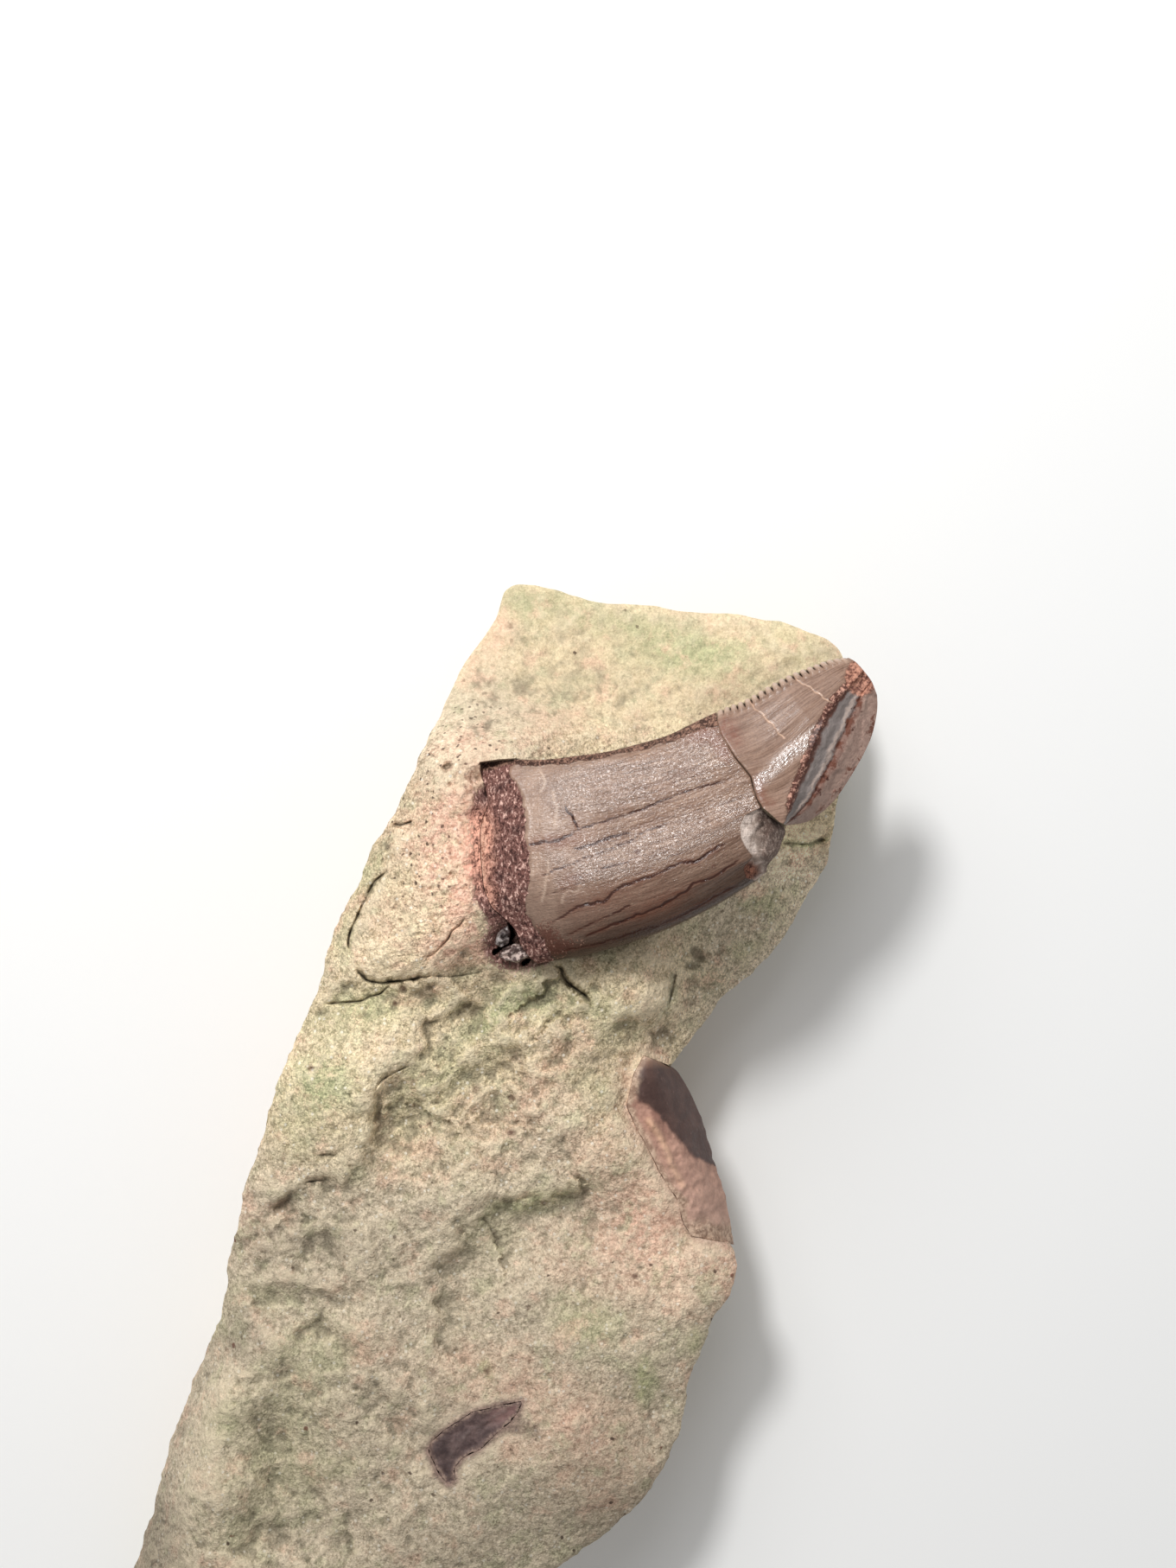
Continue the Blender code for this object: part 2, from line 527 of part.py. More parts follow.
def make_rock(name, collection, cutters):
    mesh = remeshed(flat_mesh(name, ROCK, BLOCK / 2, collection), GRAIN, name, collection)
    co = read_points(mesh)
    u, v = plan_of(co)
    q = np.clip((co[:, 2] + BLOCK / 2) / BLOCK, 0, 1)
    top = stone_top(u, v)
    # under the tooth the stone stays below the tooth's middle plane
    sunk = np.clip((inside(TOOTH_OUTLINE, u, v) + 10) / 10, 0, 1)
    top = np.where(q > 0.5, top - sunk * np.maximum(top - 14.4, 0), top)
    p = place(u, v, top)
    # the sides lean in a little towards the base and are rough
    d, _, nu, nv = to_line(ROCK, u, v, closed=True)
    d = np.abs(d) * UNIT
    lean = (1 - q) * (0.9 + 0.9 * roughness(np.stack([p[:, 0] / 9, p[:, 1] / 9, 0 * u], -1), 7))
    lean += 0.55 * np.sqrt(np.clip(1 - q, 0, 1)) * roughness(np.stack([p[:, 0] / 4, p[:, 1] / 4, q * 3], -1), 8)
    shift = np.maximum(lean, -0.1) * np.exp(-d / 4)
    p[:, 0] += nu * shift
    p[:, 1] -= nv * shift
    z = q * top
    # the underside is flat in the middle and chipped away round its rim
    rim = np.clip(1 - d / 3.6, 0, 1) ** 1.4
    chip = 1.5 + 0.9 * roughness(np.stack([p[:, 0] / 7, p[:, 1] / 7, 0 * u], -1), 9)
    z = np.where(q < 0.5, z + (1 - 2 * np.minimum(q, 0.5)) * (rim * chip - 0.3 * (1 - rim)), z)
    p[:, 2] = z
    mesh.vertices.foreach_set("co", (p * MM).reshape(-1))
    mesh.update()
    rock = bpy.data.objects.new(name, mesh)
    collection.objects.link(rock)
    share = rock.modifiers.new("coarser facets", "DECIMATE")
    share.ratio = ROCK_SHARE

    bpy.ops.mesh.primitive_cube_add(size=1)
    below = bpy.context.active_object
    below.name = "below_base"
    below.scale = (0.12, 0.12, 0.01)
    below.location = (0, 0, -0.005)
    for collection_of in below.users_collection:
        collection_of.objects.unlink(below)
    cutters.objects.link(below)
    return rock, below


def cut(obj, cutter):
    modifier = obj.modifiers.new("cut " + cutter.name, "BOOLEAN")
    modifier.operation = "DIFFERENCE"
    modifier.solver = "EXACT"
    modifier.object = cutter
    cutter.hide_render = True
    cutter.display_type = "WIRE"


def make_crown_socket(name, collection, n=24, m=15, lid=24.0):
    """The space the crown takes in the stone, with its gap, open upwards."""
    s = np.linspace(0, 1, n)
    w = np.linspace(0, 1, m)
    push = GAP / UNIT
    p, ss, ww = patch(CROWN_DISTAL, CROWN_MESIAL, ROOT_END, BREAK_RIM_LINE, s, w)
    a, b = ww[..., None], ss[..., None]
    p = p + push * ((1 - a) * np.array([-0.2, -1.0]) + a * np.array([0.35, 0.95]))
    p = p + push * ((1 - b) * np.array([-1.0, 0.1]) + b * np.array([1.0, 0.1]))
    floor = profile(CROWN_MID, ss) - profile(CROWN_HALF, ss) * lens(ww) - GAP
    count = n * m
    points = np.concatenate([
        place(p[..., 0], p[..., 1], floor).reshape(-1, 3),
        place(p[..., 0], p[..., 1], floor * 0 + lid).reshape(-1, 3),
    ])
    faces = []
    for i in range(n - 1):
        for j in range(m - 1):
            a0, a1, b0, b1 = i * m + j, i * m + j + 1, (i + 1) * m + j, (i + 1) * m + j + 1
            faces += [[a0, b0, b1, a1], [count + a0, count + a1, count + b1, count + b0]]
    ring = [j for j in range(m)] + [i * m + m - 1 for i in range(1, n)]
    ring += [(n - 1) * m + j for j in range(m - 2, -1, -1)] + [i * m for i in range(n - 2, 0, -1)]
    for a0, a1 in zip(ring, ring[1:] + ring[:1]):
        faces.append([a0, a1, count + a1, count + a0])
    return as_object(name, points, faces, collection)


def make_sliver(name, collection):
    """A thin piece of bone in a shallow hollow of the stone: outline, even facets, then bent to the surface."""
    mesh = remeshed(flat_mesh(name, SLIVER, 0.6, collection), 0.3, name, collection)
    co = read_points(mesh)
    u, v = plan_of(co)
    depth = np.clip(inside(SLIVER, u, v), 0, None) * UNIT
    top = stone_top(u, v) - 0.12 - 0.25 * (1 - np.exp(-depth / 0.5))
    q = np.clip((co[:, 2] + 0.6) / 1.2, 0, 1)
    z = top - (1 - q) * (0.35 + 0.75 * (1 - np.exp(-depth / 0.6)))
    mesh.vertices.foreach_set("co", (place(u, v, z) * MM).reshape(-1))
    mesh.update()
    obj = bpy.data.objects.new(name, mesh)
    collection.objects.link(obj)
    share = obj.modifiers.new("coarser facets", "DECIMATE")
    share.ratio = 0.3
    return obj


# ---------------------------------------------------------------- the object
for leftover in list(bpy.data.objects):
    bpy.data.objects.remove(leftover, do_unlink=True)

pieces = bpy.data.collections.new("fossil_tooth_in_matrix")
cutters = bpy.data.collections.new("cutters")
for collection in (pieces, cutters):
    bpy.context.scene.collection.children.link(collection)

rock, below = make_rock("matrix", pieces, cutters)
crown = make_crown("crown", pieces)
tip = make_tip("crown_tip", pieces)
bone = make_bone("bone_fragment", pieces)
sliver = make_sliver("dark_fragment", pieces)
splinter_1 = make_splinter("root_splinter_1", (580, 1084), (23, 12), -0.55, (14.4, 15.6), 11, pieces)
splinter_2 = make_splinter("root_splinter_2", (592, 1102), (30, 13), 0.08, (14.0, 15.1), 12, pieces)

socket = make_crown_socket("crown_socket", cutters)
bone_outline = [tuple(p) for p in np.concatenate([
    curve_at(BONE_INNER, np.linspace(0, 1, 12)), curve_at(BONE_OUTER, np.linspace(1, 0, 12))])]
bone_well = make_well("bone_well", bone_outline, lambda u, v: 7.15 + 0 * u, cutters, GAP)
sliver_well = make_well("sliver_well", SLIVER, lambda u, v: stone_top(u, v) - 1.7, cutters, GAP)
for cutter in (below, socket, bone_well, sliver_well):
    cut(rock, cutter)

finish_of(rock, "mudstone", (196, 179, 152), 0.9)
finish_of(crown, "enamel_brown", (128, 108, 97), 0.42)
finish_of(tip, "enamel_tip", (140, 119, 107), 0.45)
finish_of(bone, "bone_brown", (112, 88, 80), 0.6)
finish_of(sliver, "bone_purple", (103, 86, 81), 0.7)
finish_of(splinter_1, "splinter_grey", (132, 126, 122), 0.6)
finish_of(splinter_2, "splinter_white", (186, 172, 164), 0.6)
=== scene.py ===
import math

import bmesh
import bpy
import numpy as np
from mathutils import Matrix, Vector, kdtree
from mathutils.geometry import delaunay_2d_cdt


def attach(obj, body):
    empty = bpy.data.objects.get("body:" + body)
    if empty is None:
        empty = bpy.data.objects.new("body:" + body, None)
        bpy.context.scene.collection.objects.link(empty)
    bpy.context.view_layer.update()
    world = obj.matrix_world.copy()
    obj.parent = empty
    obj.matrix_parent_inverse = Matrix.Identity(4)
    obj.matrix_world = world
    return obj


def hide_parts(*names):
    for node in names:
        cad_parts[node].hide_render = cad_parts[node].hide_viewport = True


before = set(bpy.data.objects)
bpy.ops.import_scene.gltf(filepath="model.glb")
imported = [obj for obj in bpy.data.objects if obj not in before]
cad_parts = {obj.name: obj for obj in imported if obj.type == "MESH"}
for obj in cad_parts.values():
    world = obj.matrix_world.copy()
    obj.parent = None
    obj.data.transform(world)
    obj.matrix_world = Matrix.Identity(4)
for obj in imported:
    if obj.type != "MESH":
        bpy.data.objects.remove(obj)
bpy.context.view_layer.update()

# A small theropod tooth lying in relief on its block of mudstone. Every outline is drawn on one plan:
# plan units of a twentieth of a millimetre, u to the right (+X) and v towards the near end (-Y), as seen
# from a point EYE above the base. place() carries a plan point along its line of sight to its height.

MM = 0.001

UNIT = 0.05  # one plan unit at LEVEL
EYE = 144.0  # height of the plan's point of view above the base
LEVEL = 14.0  # height at which the plan is true to size
PLAN_CENTRE = (680.5, 907.0)  # plan point straight below the eye
ORIGIN = (-5.9, -21.23)  # from there to the middle of the base

CROWN_MID = ((0.0, 14.7), (0.3, 15.0), (1.0, 15.2))  # height of the crown's middle plane, root to break
CROWN_HALF = (
    (0.0, 1.45),
    (0.1, 2.2),
    (0.22, 2.75),
    (0.4, 3.0),
    (0.7, 2.85),
    (1.0, 2.5),
)  # half its thickness
TIP_MID = ((0.0, 15.15), (0.5, 15.1), (1.0, 14.9))
TIP_HALF = ((0.0, 2.35), (0.5, 1.9), (0.85, 1.35), (1.0, 0.9))
BREAK_RIM = 14.6  # height of the lower rim of the broken face at the end of the crown

# ---------------------------------------------------------------- the plan
ROCK = [
    (583, 681), (595, 675), (612, 675), (640, 681), (668, 690), (698, 698), (730, 698), (760, 701),
    (790, 707), (822, 709), (852, 709), (880, 716), (905, 718), (928, 728), (955, 737), (970, 748),
    (980, 770), (986, 800), (984, 850), (976, 900), (967, 940), (962, 978), (957, 1002), (943, 1024),
    (930, 1046), (918, 1068), (903, 1090), (884, 1112), (860, 1134), (834, 1156), (820, 1178),
    (803, 1200), (785, 1222), (770, 1238), (776, 1262), (790, 1290), (800, 1320), (808, 1345),
    (816, 1372), (824, 1400), (834, 1428), (850, 1444), (854, 1464), (850, 1486), (838, 1508),
    (822, 1530), (816, 1552), (807, 1574), (798, 1596), (795, 1618), (790, 1640), (784, 1662),
    (775, 1684), (765, 1706), (749, 1728), (729, 1750), (705, 1772), (676, 1793), (646, 1814),
    (600, 1838), (540, 1862), (470, 1886), (400, 1912), (330, 1936), (265, 1950), (205, 1950),
    (165, 1930), (146, 1895), (144, 1850), (154, 1814), (166, 1780), (176, 1748), (188, 1704),
    (199, 1660), (216, 1618), (234, 1574), (252, 1530), (263, 1486), (262, 1462), (270, 1440),
    (276, 1416), (281, 1376), (296, 1334), (307, 1308), (315, 1266), (326, 1242), (334, 1220),
    (344, 1198), (354, 1176), (365, 1154), (372, 1132), (376, 1110), (382, 1088), (391, 1066),
    (401, 1045), (415, 1025), (422, 1000), (431, 979), (446, 958), (459, 936), (468, 914), (478, 892),
    (488, 870), (498, 848), (510, 826), (519, 804), (529, 782), (542, 760), (559, 738), (574, 716),
    (580, 696),
]

CROWN_DISTAL = [
    (556, 882), (578, 879), (597, 878), (620, 880), (645, 878), (668, 874), (693, 872), (712, 868),
    (731, 863), (757, 856), (776, 851), (795, 840), (811, 832), (830, 825),
]
CROWN_MESIAL = [
    (622, 1115), (642, 1111), (661, 1108), (680, 1105), (699, 1100), (725, 1092), (744, 1086),
    (763, 1079), (782, 1071), (801, 1062), (821, 1052), (840, 1041), (859, 1029), (875, 1019),
]
ROOT_END = [
    (556, 882), (556, 892), (562, 912), (566, 931), (559, 946), (556, 965), (557, 995), (560, 1027),
    (569, 1050), (586, 1064), (597, 1076), (602, 1092), (611, 1106), (622, 1115),
]
BREAK_TOP = [
    (830, 825), (831, 853), (852, 879), (868, 900), (871, 922), (878, 935), (862, 943), (856, 956),
    (857, 970), (864, 983), (871, 991), (860, 1004), (863, 1016), (875, 1019),
]
BREAK_RIM_LINE = [
    (830, 825), (831, 853), (852, 879), (868, 900), (871, 922), (878, 936), (888, 945), (901, 958),
    (903, 967), (902, 980), (896, 991), (889, 1001), (885, 1011), (875, 1019),
]
BREAK_UNDER = [
    (830, 825), (831, 853), (852, 879), (866, 900), (868, 922), (872, 938), (877, 952), (880, 962),
    (880, 972), (880, 982), (880, 992), (879, 1002), (878, 1011), (875, 1019),
]
TIP_DISTAL = [
    (836, 822), (843, 818), (859, 813), (875, 804), (891, 794), (907, 785), (923, 778), (939, 772),
    (955, 765), (970, 762), (982, 761),
]
TIP_MESIAL = [
    (910, 954), (923, 952), (939, 950), (945, 944), (964, 928), (974, 915), (986, 896), (999, 874),
    (1009, 852), (1012, 836), (1016, 816), (1015, 804),
]
TIP_BREAK = [
    (836, 822), (838, 850), (859, 875), (875, 897), (879, 919), (887, 932), (898, 944), (910, 954),
]
TIP_END = [(982, 761), (990, 765), (999, 775), (1009, 788), (1015, 804)]
SPALL = [(992, 784), (967, 810), (951, 836), (939, 868), (926, 899), (913, 938), (907, 953)]

BONE_INNER = [
    (745, 1221), (733, 1243), (729, 1262), (725, 1280), (735, 1302), (750, 1329), (763, 1356),
    (775, 1374), (786, 1392), (789, 1412), (800, 1430),
]
BONE_OUTER = [
    (770, 1231), (782, 1236), (791, 1250), (800, 1266), (814, 1299), (823, 1333), (833, 1364),
    (841, 1390), (846, 1420), (849, 1440),
]
SLIVER = [
    (605, 1621), (585, 1624), (567, 1629), (547, 1633), (532, 1643), (513, 1655), (500, 1667),
    (495, 1678), (501, 1690), (507, 1704), (519, 1718), (527, 1713), (526, 1698), (535, 1687),
    (547, 1681), (556, 1677), (567, 1666), (575, 1658), (590, 1646), (600, 1633),
]
HOLE = (588, 1090)  # the hole at the lower corner of the root, where the splinters stand

# Heights of the upper surface of the stone: (u, v, millimetres above the base)
UPPER_END = [
    (583, 681, 8.4), (612, 676, 8.3), (700, 700, 8.2), (790, 709, 8.0), (880, 718, 7.8), (955, 738, 7.5),
    (985, 780, 7.3), (580, 740, 9.0), (650, 740, 8.6), (740, 750, 8.3), (830, 750, 8.0), (910, 770, 7.7),
    (530, 790, 10.2), (600, 800, 10.2), (680, 800, 9.3), (760, 800, 8.7), (840, 800, 8.1),
    (930, 830, 7.6), (508, 835, 12.0), (560, 840, 12.8), (620, 845, 12.6), (680, 845, 11.2),
    (740, 840, 9.8), (800, 830, 8.8),
]
MOUND = [
    (490, 880, 14.3), (540, 875, 15.3), (590, 865, 14.6), (640, 868, 13.0), (465, 930, 14.2),
    (510, 930, 15.6), (550, 940, 16.0), (440, 985, 14.0), (490, 990, 15.6), (545, 1000, 16.2),
    (415, 1040, 13.8), (460, 1050, 15.0), (520, 1050, 15.8), (560, 1060, 15.6), (395, 1080, 13.4),
    (440, 1100, 14.9), (500, 1110, 15.0), (545, 1105, 14.6),
]
UNDER_TOOTH = [
    (650, 900, 13.0), (650, 1000, 13.5), (650, 1080, 13.6), (720, 900, 11.5), (720, 980, 12.6),
    (730, 1060, 13.0), (790, 880, 9.6), (800, 950, 11.2), (800, 1020, 11.6), (850, 900, 8.4),
    (860, 970, 9.4), (900, 930, 7.6), (930, 880, 7.4),
]
RIGHT_STEP = [
    (800, 1100, 9.6), (800, 1140, 9.3), (790, 1180, 9.0), (775, 1215, 9.2), (850, 1080, 8.2),
    (860, 1110, 7.6), (890, 1060, 7.4), (905, 1000, 7.6), (930, 1030, 6.4), (950, 980, 6.6),
    (955, 950, 7.0),
]
MIDDLE = [
    (380, 1130, 12.6), (430, 1150, 13.5), (500, 1150, 13.6), (570, 1130, 13.8), (630, 1130, 13.6),
    (700, 1120, 13.2), (750, 1110, 12.8), (350, 1200, 12.7), (400, 1210, 13.8), (470, 1200, 13.8),
    (560, 1200, 13.5), (650, 1190, 13.4), (720, 1170, 12.9), (757, 1150, 12.4), (320, 1270, 12.6),
    (370, 1280, 13.9), (430, 1290, 13.5), (520, 1280, 13.2), (620, 1280, 13.3), (700, 1260, 13.0),
    (300, 1340, 12.2), (350, 1350, 13.3), (430, 1370, 12.9), (540, 1370, 13.2), (640, 1350, 13.2),
    (710, 1320, 12.6), (740, 1290, 12.2), (760, 1330, 11.9), (775, 1380, 11.8), (800, 1440, 11.8),
]
LOWER_END = [
    (285, 1420, 11.9), (340, 1430, 13.0), (430, 1440, 12.9), (520, 1440, 12.4), (600, 1420, 12.3),
    (700, 1410, 12.3), (840, 1460, 11.0), (270, 1490, 11.5), (330, 1500, 12.9), (420, 1510, 12.8),
    (520, 1520, 12.2), (620, 1510, 12.3), (720, 1500, 12.2), (800, 1510, 11.4), (830, 1500, 10.9),
    (255, 1550, 11.0), (310, 1570, 12.8), (400, 1590, 12.5), (500, 1600, 11.9), (600, 1600, 11.9),
    (700, 1600, 11.9), (780, 1600, 11.0), (800, 1590, 10.6), (230, 1600, 9.5), (250, 1610, 12.0),
    (205, 1660, 8.5), (235, 1660, 12.0), (190, 1710, 8.0), (222, 1715, 11.6), (176, 1760, 7.5),
    (210, 1765, 11.2), (160, 1820, 7.0), (195, 1830, 10.8), (300, 1660, 12.4), (300, 1760, 11.8),
    (400, 1680, 12.1), (400, 1780, 11.6), (520, 1680, 11.4), (520, 1780, 11.4), (620, 1690, 11.7),
    (700, 1680, 11.5), (760, 1680, 10.6), (640, 1770, 11.0), (720, 1740, 10.4), (250, 1900, 10.6),
    (350, 1880, 11.0), (480, 1860, 10.8), (590, 1830, 10.4), (160, 1900, 8.0), (200, 1945, 8.5),
    (330, 1930, 8.8), (470, 1885, 9.5),
]

# Ledges: (line, drop in millimetres, which side is higher: +1 on the right hand going along the line)
LEDGES = [
    ([(470, 1232), (452, 1242), (439, 1253), (433, 1268), (429, 1286), (419, 1321), (408, 1332),
      (380, 1337), (357, 1344), (345, 1362), (327, 1383), (299, 1403)], 0.8, 1),
    ([(536, 1395), (559, 1383), (597, 1379), (620, 1378), (652, 1373), (672, 1367), (690, 1362)], 0.9, -1),
    ([(536, 1395), (521, 1426), (510, 1449), (500, 1474), (500, 1492), (503, 1518), (506, 1539),
      (500, 1565), (490, 1576)], 0.6, 1),
    ([(474, 1560), (451, 1571), (427, 1594), (409, 1599), (404, 1618), (396, 1628)], 0.5, 1),
    ([(367, 1510), (349, 1526), (328, 1545), (307, 1571), (296, 1586), (273, 1592)], 0.6, 1),
    ([(370, 1712), (333, 1735), (296, 1764), (265, 1793)], 0.5, 1),
    ([(415, 1124), (423, 1134), (457, 1135), (480, 1131), (498, 1130)], 0.6, -1),
    ([(644, 1117), (650, 1121), (661, 1138), (678, 1151), (686, 1163)], 0.6, -1),
]

# ---------------------------------------------------------------- plan helpers
def place(u, v, z):
    """The point over plan point (u, v) at height z, all in millimetres."""
    k = UNIT * (EYE - z) / (EYE - LEVEL)
    x = (u - PLAN_CENTRE[0]) * k - ORIGIN[0]
    y = (PLAN_CENTRE[1] - v) * k - ORIGIN[1]
    return np.stack(np.broadcast_arrays(x, y, z), -1)


def curve_at(points, t):
    """Points at fractions t of the length of a broken line, softened a little between its corners."""
    p = np.array(points, float)
    step = np.hypot(*np.diff(p, axis=0).T)
    s = np.r_[0, np.cumsum(step)] / step.sum()
    return np.stack([np.interp(t, s, p[:, 0]), np.interp(t, s, p[:, 1])], -1)


def profile(pairs, t):
    return np.interp(t, [a for a, _ in pairs], [b for _, b in pairs])


def to_line(points, u, v, closed=False):
    """Distance to a broken line (positive on its right hand), fraction along it, and the way to the right."""
    p = np.array(points, float)
    if closed:
        p = np.concatenate([p, p[:1]])
    step = np.hypot(*np.diff(p, axis=0).T)
    start = np.r_[0, np.cumsum(step)]
    near = np.full(np.shape(u), 1e9)
    side, part = np.ones(np.shape(u)), np.zeros(np.shape(u))
    nu, nv = np.zeros(np.shape(u)), np.zeros(np.shape(u))
    for i, (a, b) in enumerate(zip(p[:-1], p[1:])):
        du, dv = b - a
        t = np.clip(((u - a[0]) * du + (v - a[1]) * dv) / step[i] ** 2, 0, 1)
        r = np.hypot(u - a[0] - t * du, v - a[1] - t * dv)
        closer = r < near
        near = np.where(closer, r, near)
        side = np.where(closer, np.where(du * (v - a[1]) - dv * (u - a[0]) >= 0, 1.0, -1.0), side)
        part = np.where(closer, (start[i] + t * step[i]) / start[-1], part)
        nu, nv = np.where(closer, -dv / step[i], nu), np.where(closer, du / step[i], nv)
    return near * side, part, nu, nv


def inside(points, u, v):
    """Distance inside a closed outline, negative outside."""
    d = to_line(points, u, v, closed=True)[0]
    p = np.array(points, float)
    hit = np.zeros(np.shape(u), bool)
    for (x0, y0), (x1, y1) in zip(p, np.roll(p, -1, axis=0)):
        if y0 != y1:
            hit ^= ((y0 > v) != (y1 > v)) & (u < (x1 - x0) * (v - y0) / (y1 - y0) + x0)
    return np.where(hit, np.abs(d), -np.abs(d))


def surface_through(points):
    """A smooth surface through scattered heights, the shape a thin springy plate would take."""
    p = np.array(points, float)
    at, z, n = p[:, :2] / 100, p[:, 2], len(p)

    def bend(r2):
        return 0.5 * r2 * np.log(np.maximum(r2, 1e-12))

    a = np.zeros((n + 3, n + 3))
    a[:n, :n] = bend(((at[:, None] - at[None]) ** 2).sum(-1)) + 0.01 * np.eye(n)
    a[:n, n], a[:n, n + 1 :] = 1, at
    a[n:, :n] = a[:n, n:].T
    w = np.linalg.solve(a, np.r_[z, 0, 0, 0])

    def height(u, v):
        q = np.stack([u, v], -1) / 100
        out = w[n] + q @ w[n + 1 :]
        for i in range(n):
            out = out + w[i] * bend(((q - at[i]) ** 2).sum(-1))
        return out

    return height


def roughness(p, seed):
    """Smooth seeded noise, about -1 to 1, with features one unit across."""
    rng = np.random.default_rng(seed)
    order = rng.permutation(256)
    ways = rng.normal(size=(256, 3))
    ways /= np.linalg.norm(ways, axis=1)[:, None]
    p = np.atleast_2d(p).astype(float)
    i = np.floor(p).astype(int)
    f = p - i
    s = f * f * f * (f * (f * 6 - 15) + 10)
    out = np.zeros(len(p))
    for c in np.ndindex(2, 2, 2):
        k = order[(i[:, 0] + c[0]) & 255]
        k = order[(k + i[:, 1] + c[1]) & 255]
        k = order[(k + i[:, 2] + c[2]) & 255]
        weight = np.prod([s[:, j] if c[j] else 1 - s[:, j] for j in range(3)], axis=0)
        out += weight * (ways[k] * (f - c)).sum(1)
    return out * 1.6


stone_surface = surface_through(UPPER_END + MOUND + UNDER_TOOTH + RIGHT_STEP + MIDDLE + LOWER_END)
TOOTH_OUTLINE = CROWN_DISTAL + BREAK_RIM_LINE[1:-1] + CROWN_MESIAL[::-1] + ROOT_END[-2:0:-1]


def stone_top(u, v):
    """Height of the stone's upper surface over a plan point."""
    z = stone_surface(u, v)
    for line, drop, high in LEDGES:
        d, part, _, _ = to_line(line, u, v)
        fade = np.clip(part / 0.1, 0, 1) * np.clip((1 - part) / 0.1, 0, 1)
        z = z + high * drop * 0.5 * np.tanh(d / 5) * np.exp(-np.abs(d) / 45) * fade
    across = u * 0.87 - v * 0.5  # the fracture ridges run from lower left to upper right
    along = u * 0.5 + v * 0.87
    rough = np.clip((v - 1120) / 60, 0.35, 1)
    z = z + 0.32 * rough * roughness(np.stack([across / 110, along / 52, 0 * u], -1), 3)
    z = z + 0.16 * rough * roughness(np.stack([across / 48, along / 24, 0 * u], -1), 4)
    # the hole at the lower corner of the root
    z = z - 2.6 * np.exp(-(((u - HOLE[0]) / 20) ** 2 + ((v - HOLE[1]) / 17) ** 2) ** 2)
    # worn edge of the block
    return z - 0.7 * np.exp(-np.abs(inside(ROCK, u, v)) / 12)

def patch(distal, mesial, start, end, s, w):
    """Plan points of a sheet stretched between four edge lines. The small corners of the two ends fade
    out quickly along the length."""
    s, w = np.meshgrid(s, w, indexing="ij")
    d, m = curve_at(distal, s), curve_at(mesial, s)
    w1, s1 = w[..., None], s[..., None]
    flat = (1 - w1) * d + w1 * m
    out = flat
    for line, share in ((start, (1 - s1) ** 3), (end, s1**3)):
        chord = (1 - w1) * np.array(line[0], float) + w1 * np.array(line[-1], float)
        out = out + share * (curve_at(line, w) - chord)
    return out, s, w


def lens(w):
    """Half section of the tooth: a thin rear edge, the thickest part two thirds across, a round front."""
    return 2.378 * w**0.8 * np.sqrt(np.maximum(1 - w, 0))

# ---------------------------------------------------------------- mesh helpers
def smooth_line(points, soft, count=500):
    """A broken line with its corners rounded over about `soft` plan units. Its two ends stay."""
    p = np.array(points, float)
    length = np.hypot(*np.diff(p, axis=0).T).sum()
    p = curve_at(points, np.linspace(0, 1, count))
    sigma = max(soft / length * count, 0.5)
    reach = min(int(3 * sigma) + 1, count - 2)
    kernel = np.exp(-0.5 * (np.arange(-reach, reach + 1) / sigma) ** 2)
    kernel /= kernel.sum()
    padded = np.concatenate([2 * p[0] - p[reach:0:-1], p, 2 * p[-1] - p[-2 : -reach - 2 : -1]])
    return np.stack([np.convolve(padded[:, i], kernel, "valid") for i in (0, 1)], -1)


def noise(u, v, across, along, seed, w=0.0):
    """Seeded noise over the plan with features of these two sizes, in plan units."""
    shape = np.shape(u)
    u, v = np.ravel(u), np.ravel(v)
    return roughness(np.stack([u / across, v / along, 0 * u + w], -1), seed).reshape(shape)


def layered(u, v, size, seed, octaves=3, fall=0.5):
    """Noise of several sizes on top of each other, each half the size of the one before."""
    out, share = 0.0, 1.0
    for i in range(octaves):
        out = out + share * noise(u, v, size / 2**i, size / 2**i, seed + 10 * i)
        share *= fall
    return out


def flakes(p, seed, sharp=9.0, tilt=1.0, offset=1.0):
    """A hackly surface: each cell, one unit across, is a small tilted plane with its own height."""
    rng = np.random.default_rng(seed)
    order = rng.permutation(256)
    jitter = rng.uniform(0.1, 0.9, (256, 3))
    slopes = rng.uniform(-1, 1, (256, 3)) * tilt
    levels = rng.uniform(-0.5, 0.5, 256) * offset
    dims = p.shape[1]
    base = np.floor(p).astype(int)
    total, weight = np.zeros(len(p)), np.zeros(len(p))
    for c in np.ndindex(*(3,) * dims):
        cell = base + np.array(c) - 1
        k = order[cell[:, 0] & 255]
        for j in range(1, dims):
            k = order[(k + cell[:, j]) & 255]
        d = p - cell - jitter[k][:, :dims]
        w = np.exp(-sharp * (d * d).sum(1))
        total += w * (levels[k] + (slopes[k][:, :dims] * d).sum(1))
        weight += w
    return total / weight


def scoops(p, seed, tilt=0.5, offset=0.5, bowl=1.0):
    """A chipped surface: shallow bowls, one to a cell, that meet in sharp ridges. About -0.4 to 0.6."""
    rng = np.random.default_rng(seed)
    order = rng.permutation(256)
    jitter = rng.uniform(0.08, 0.92, (256, 2))
    slopes = rng.uniform(-1, 1, (256, 2)) * tilt
    levels = rng.uniform(-0.5, 0.5, 256) * offset
    base = np.floor(p).astype(int)
    best = np.full(len(p), 9.0)
    for c in np.ndindex(3, 3):
        cell = base + np.array(c) - 1
        k = order[(order[cell[:, 0] & 255] + cell[:, 1]) & 255]
        d = p - cell - jitter[k]
        best = np.minimum(best, bowl * (d * d).sum(1) + levels[k] + (slopes[k] * d).sum(1))
    return best - 0.1


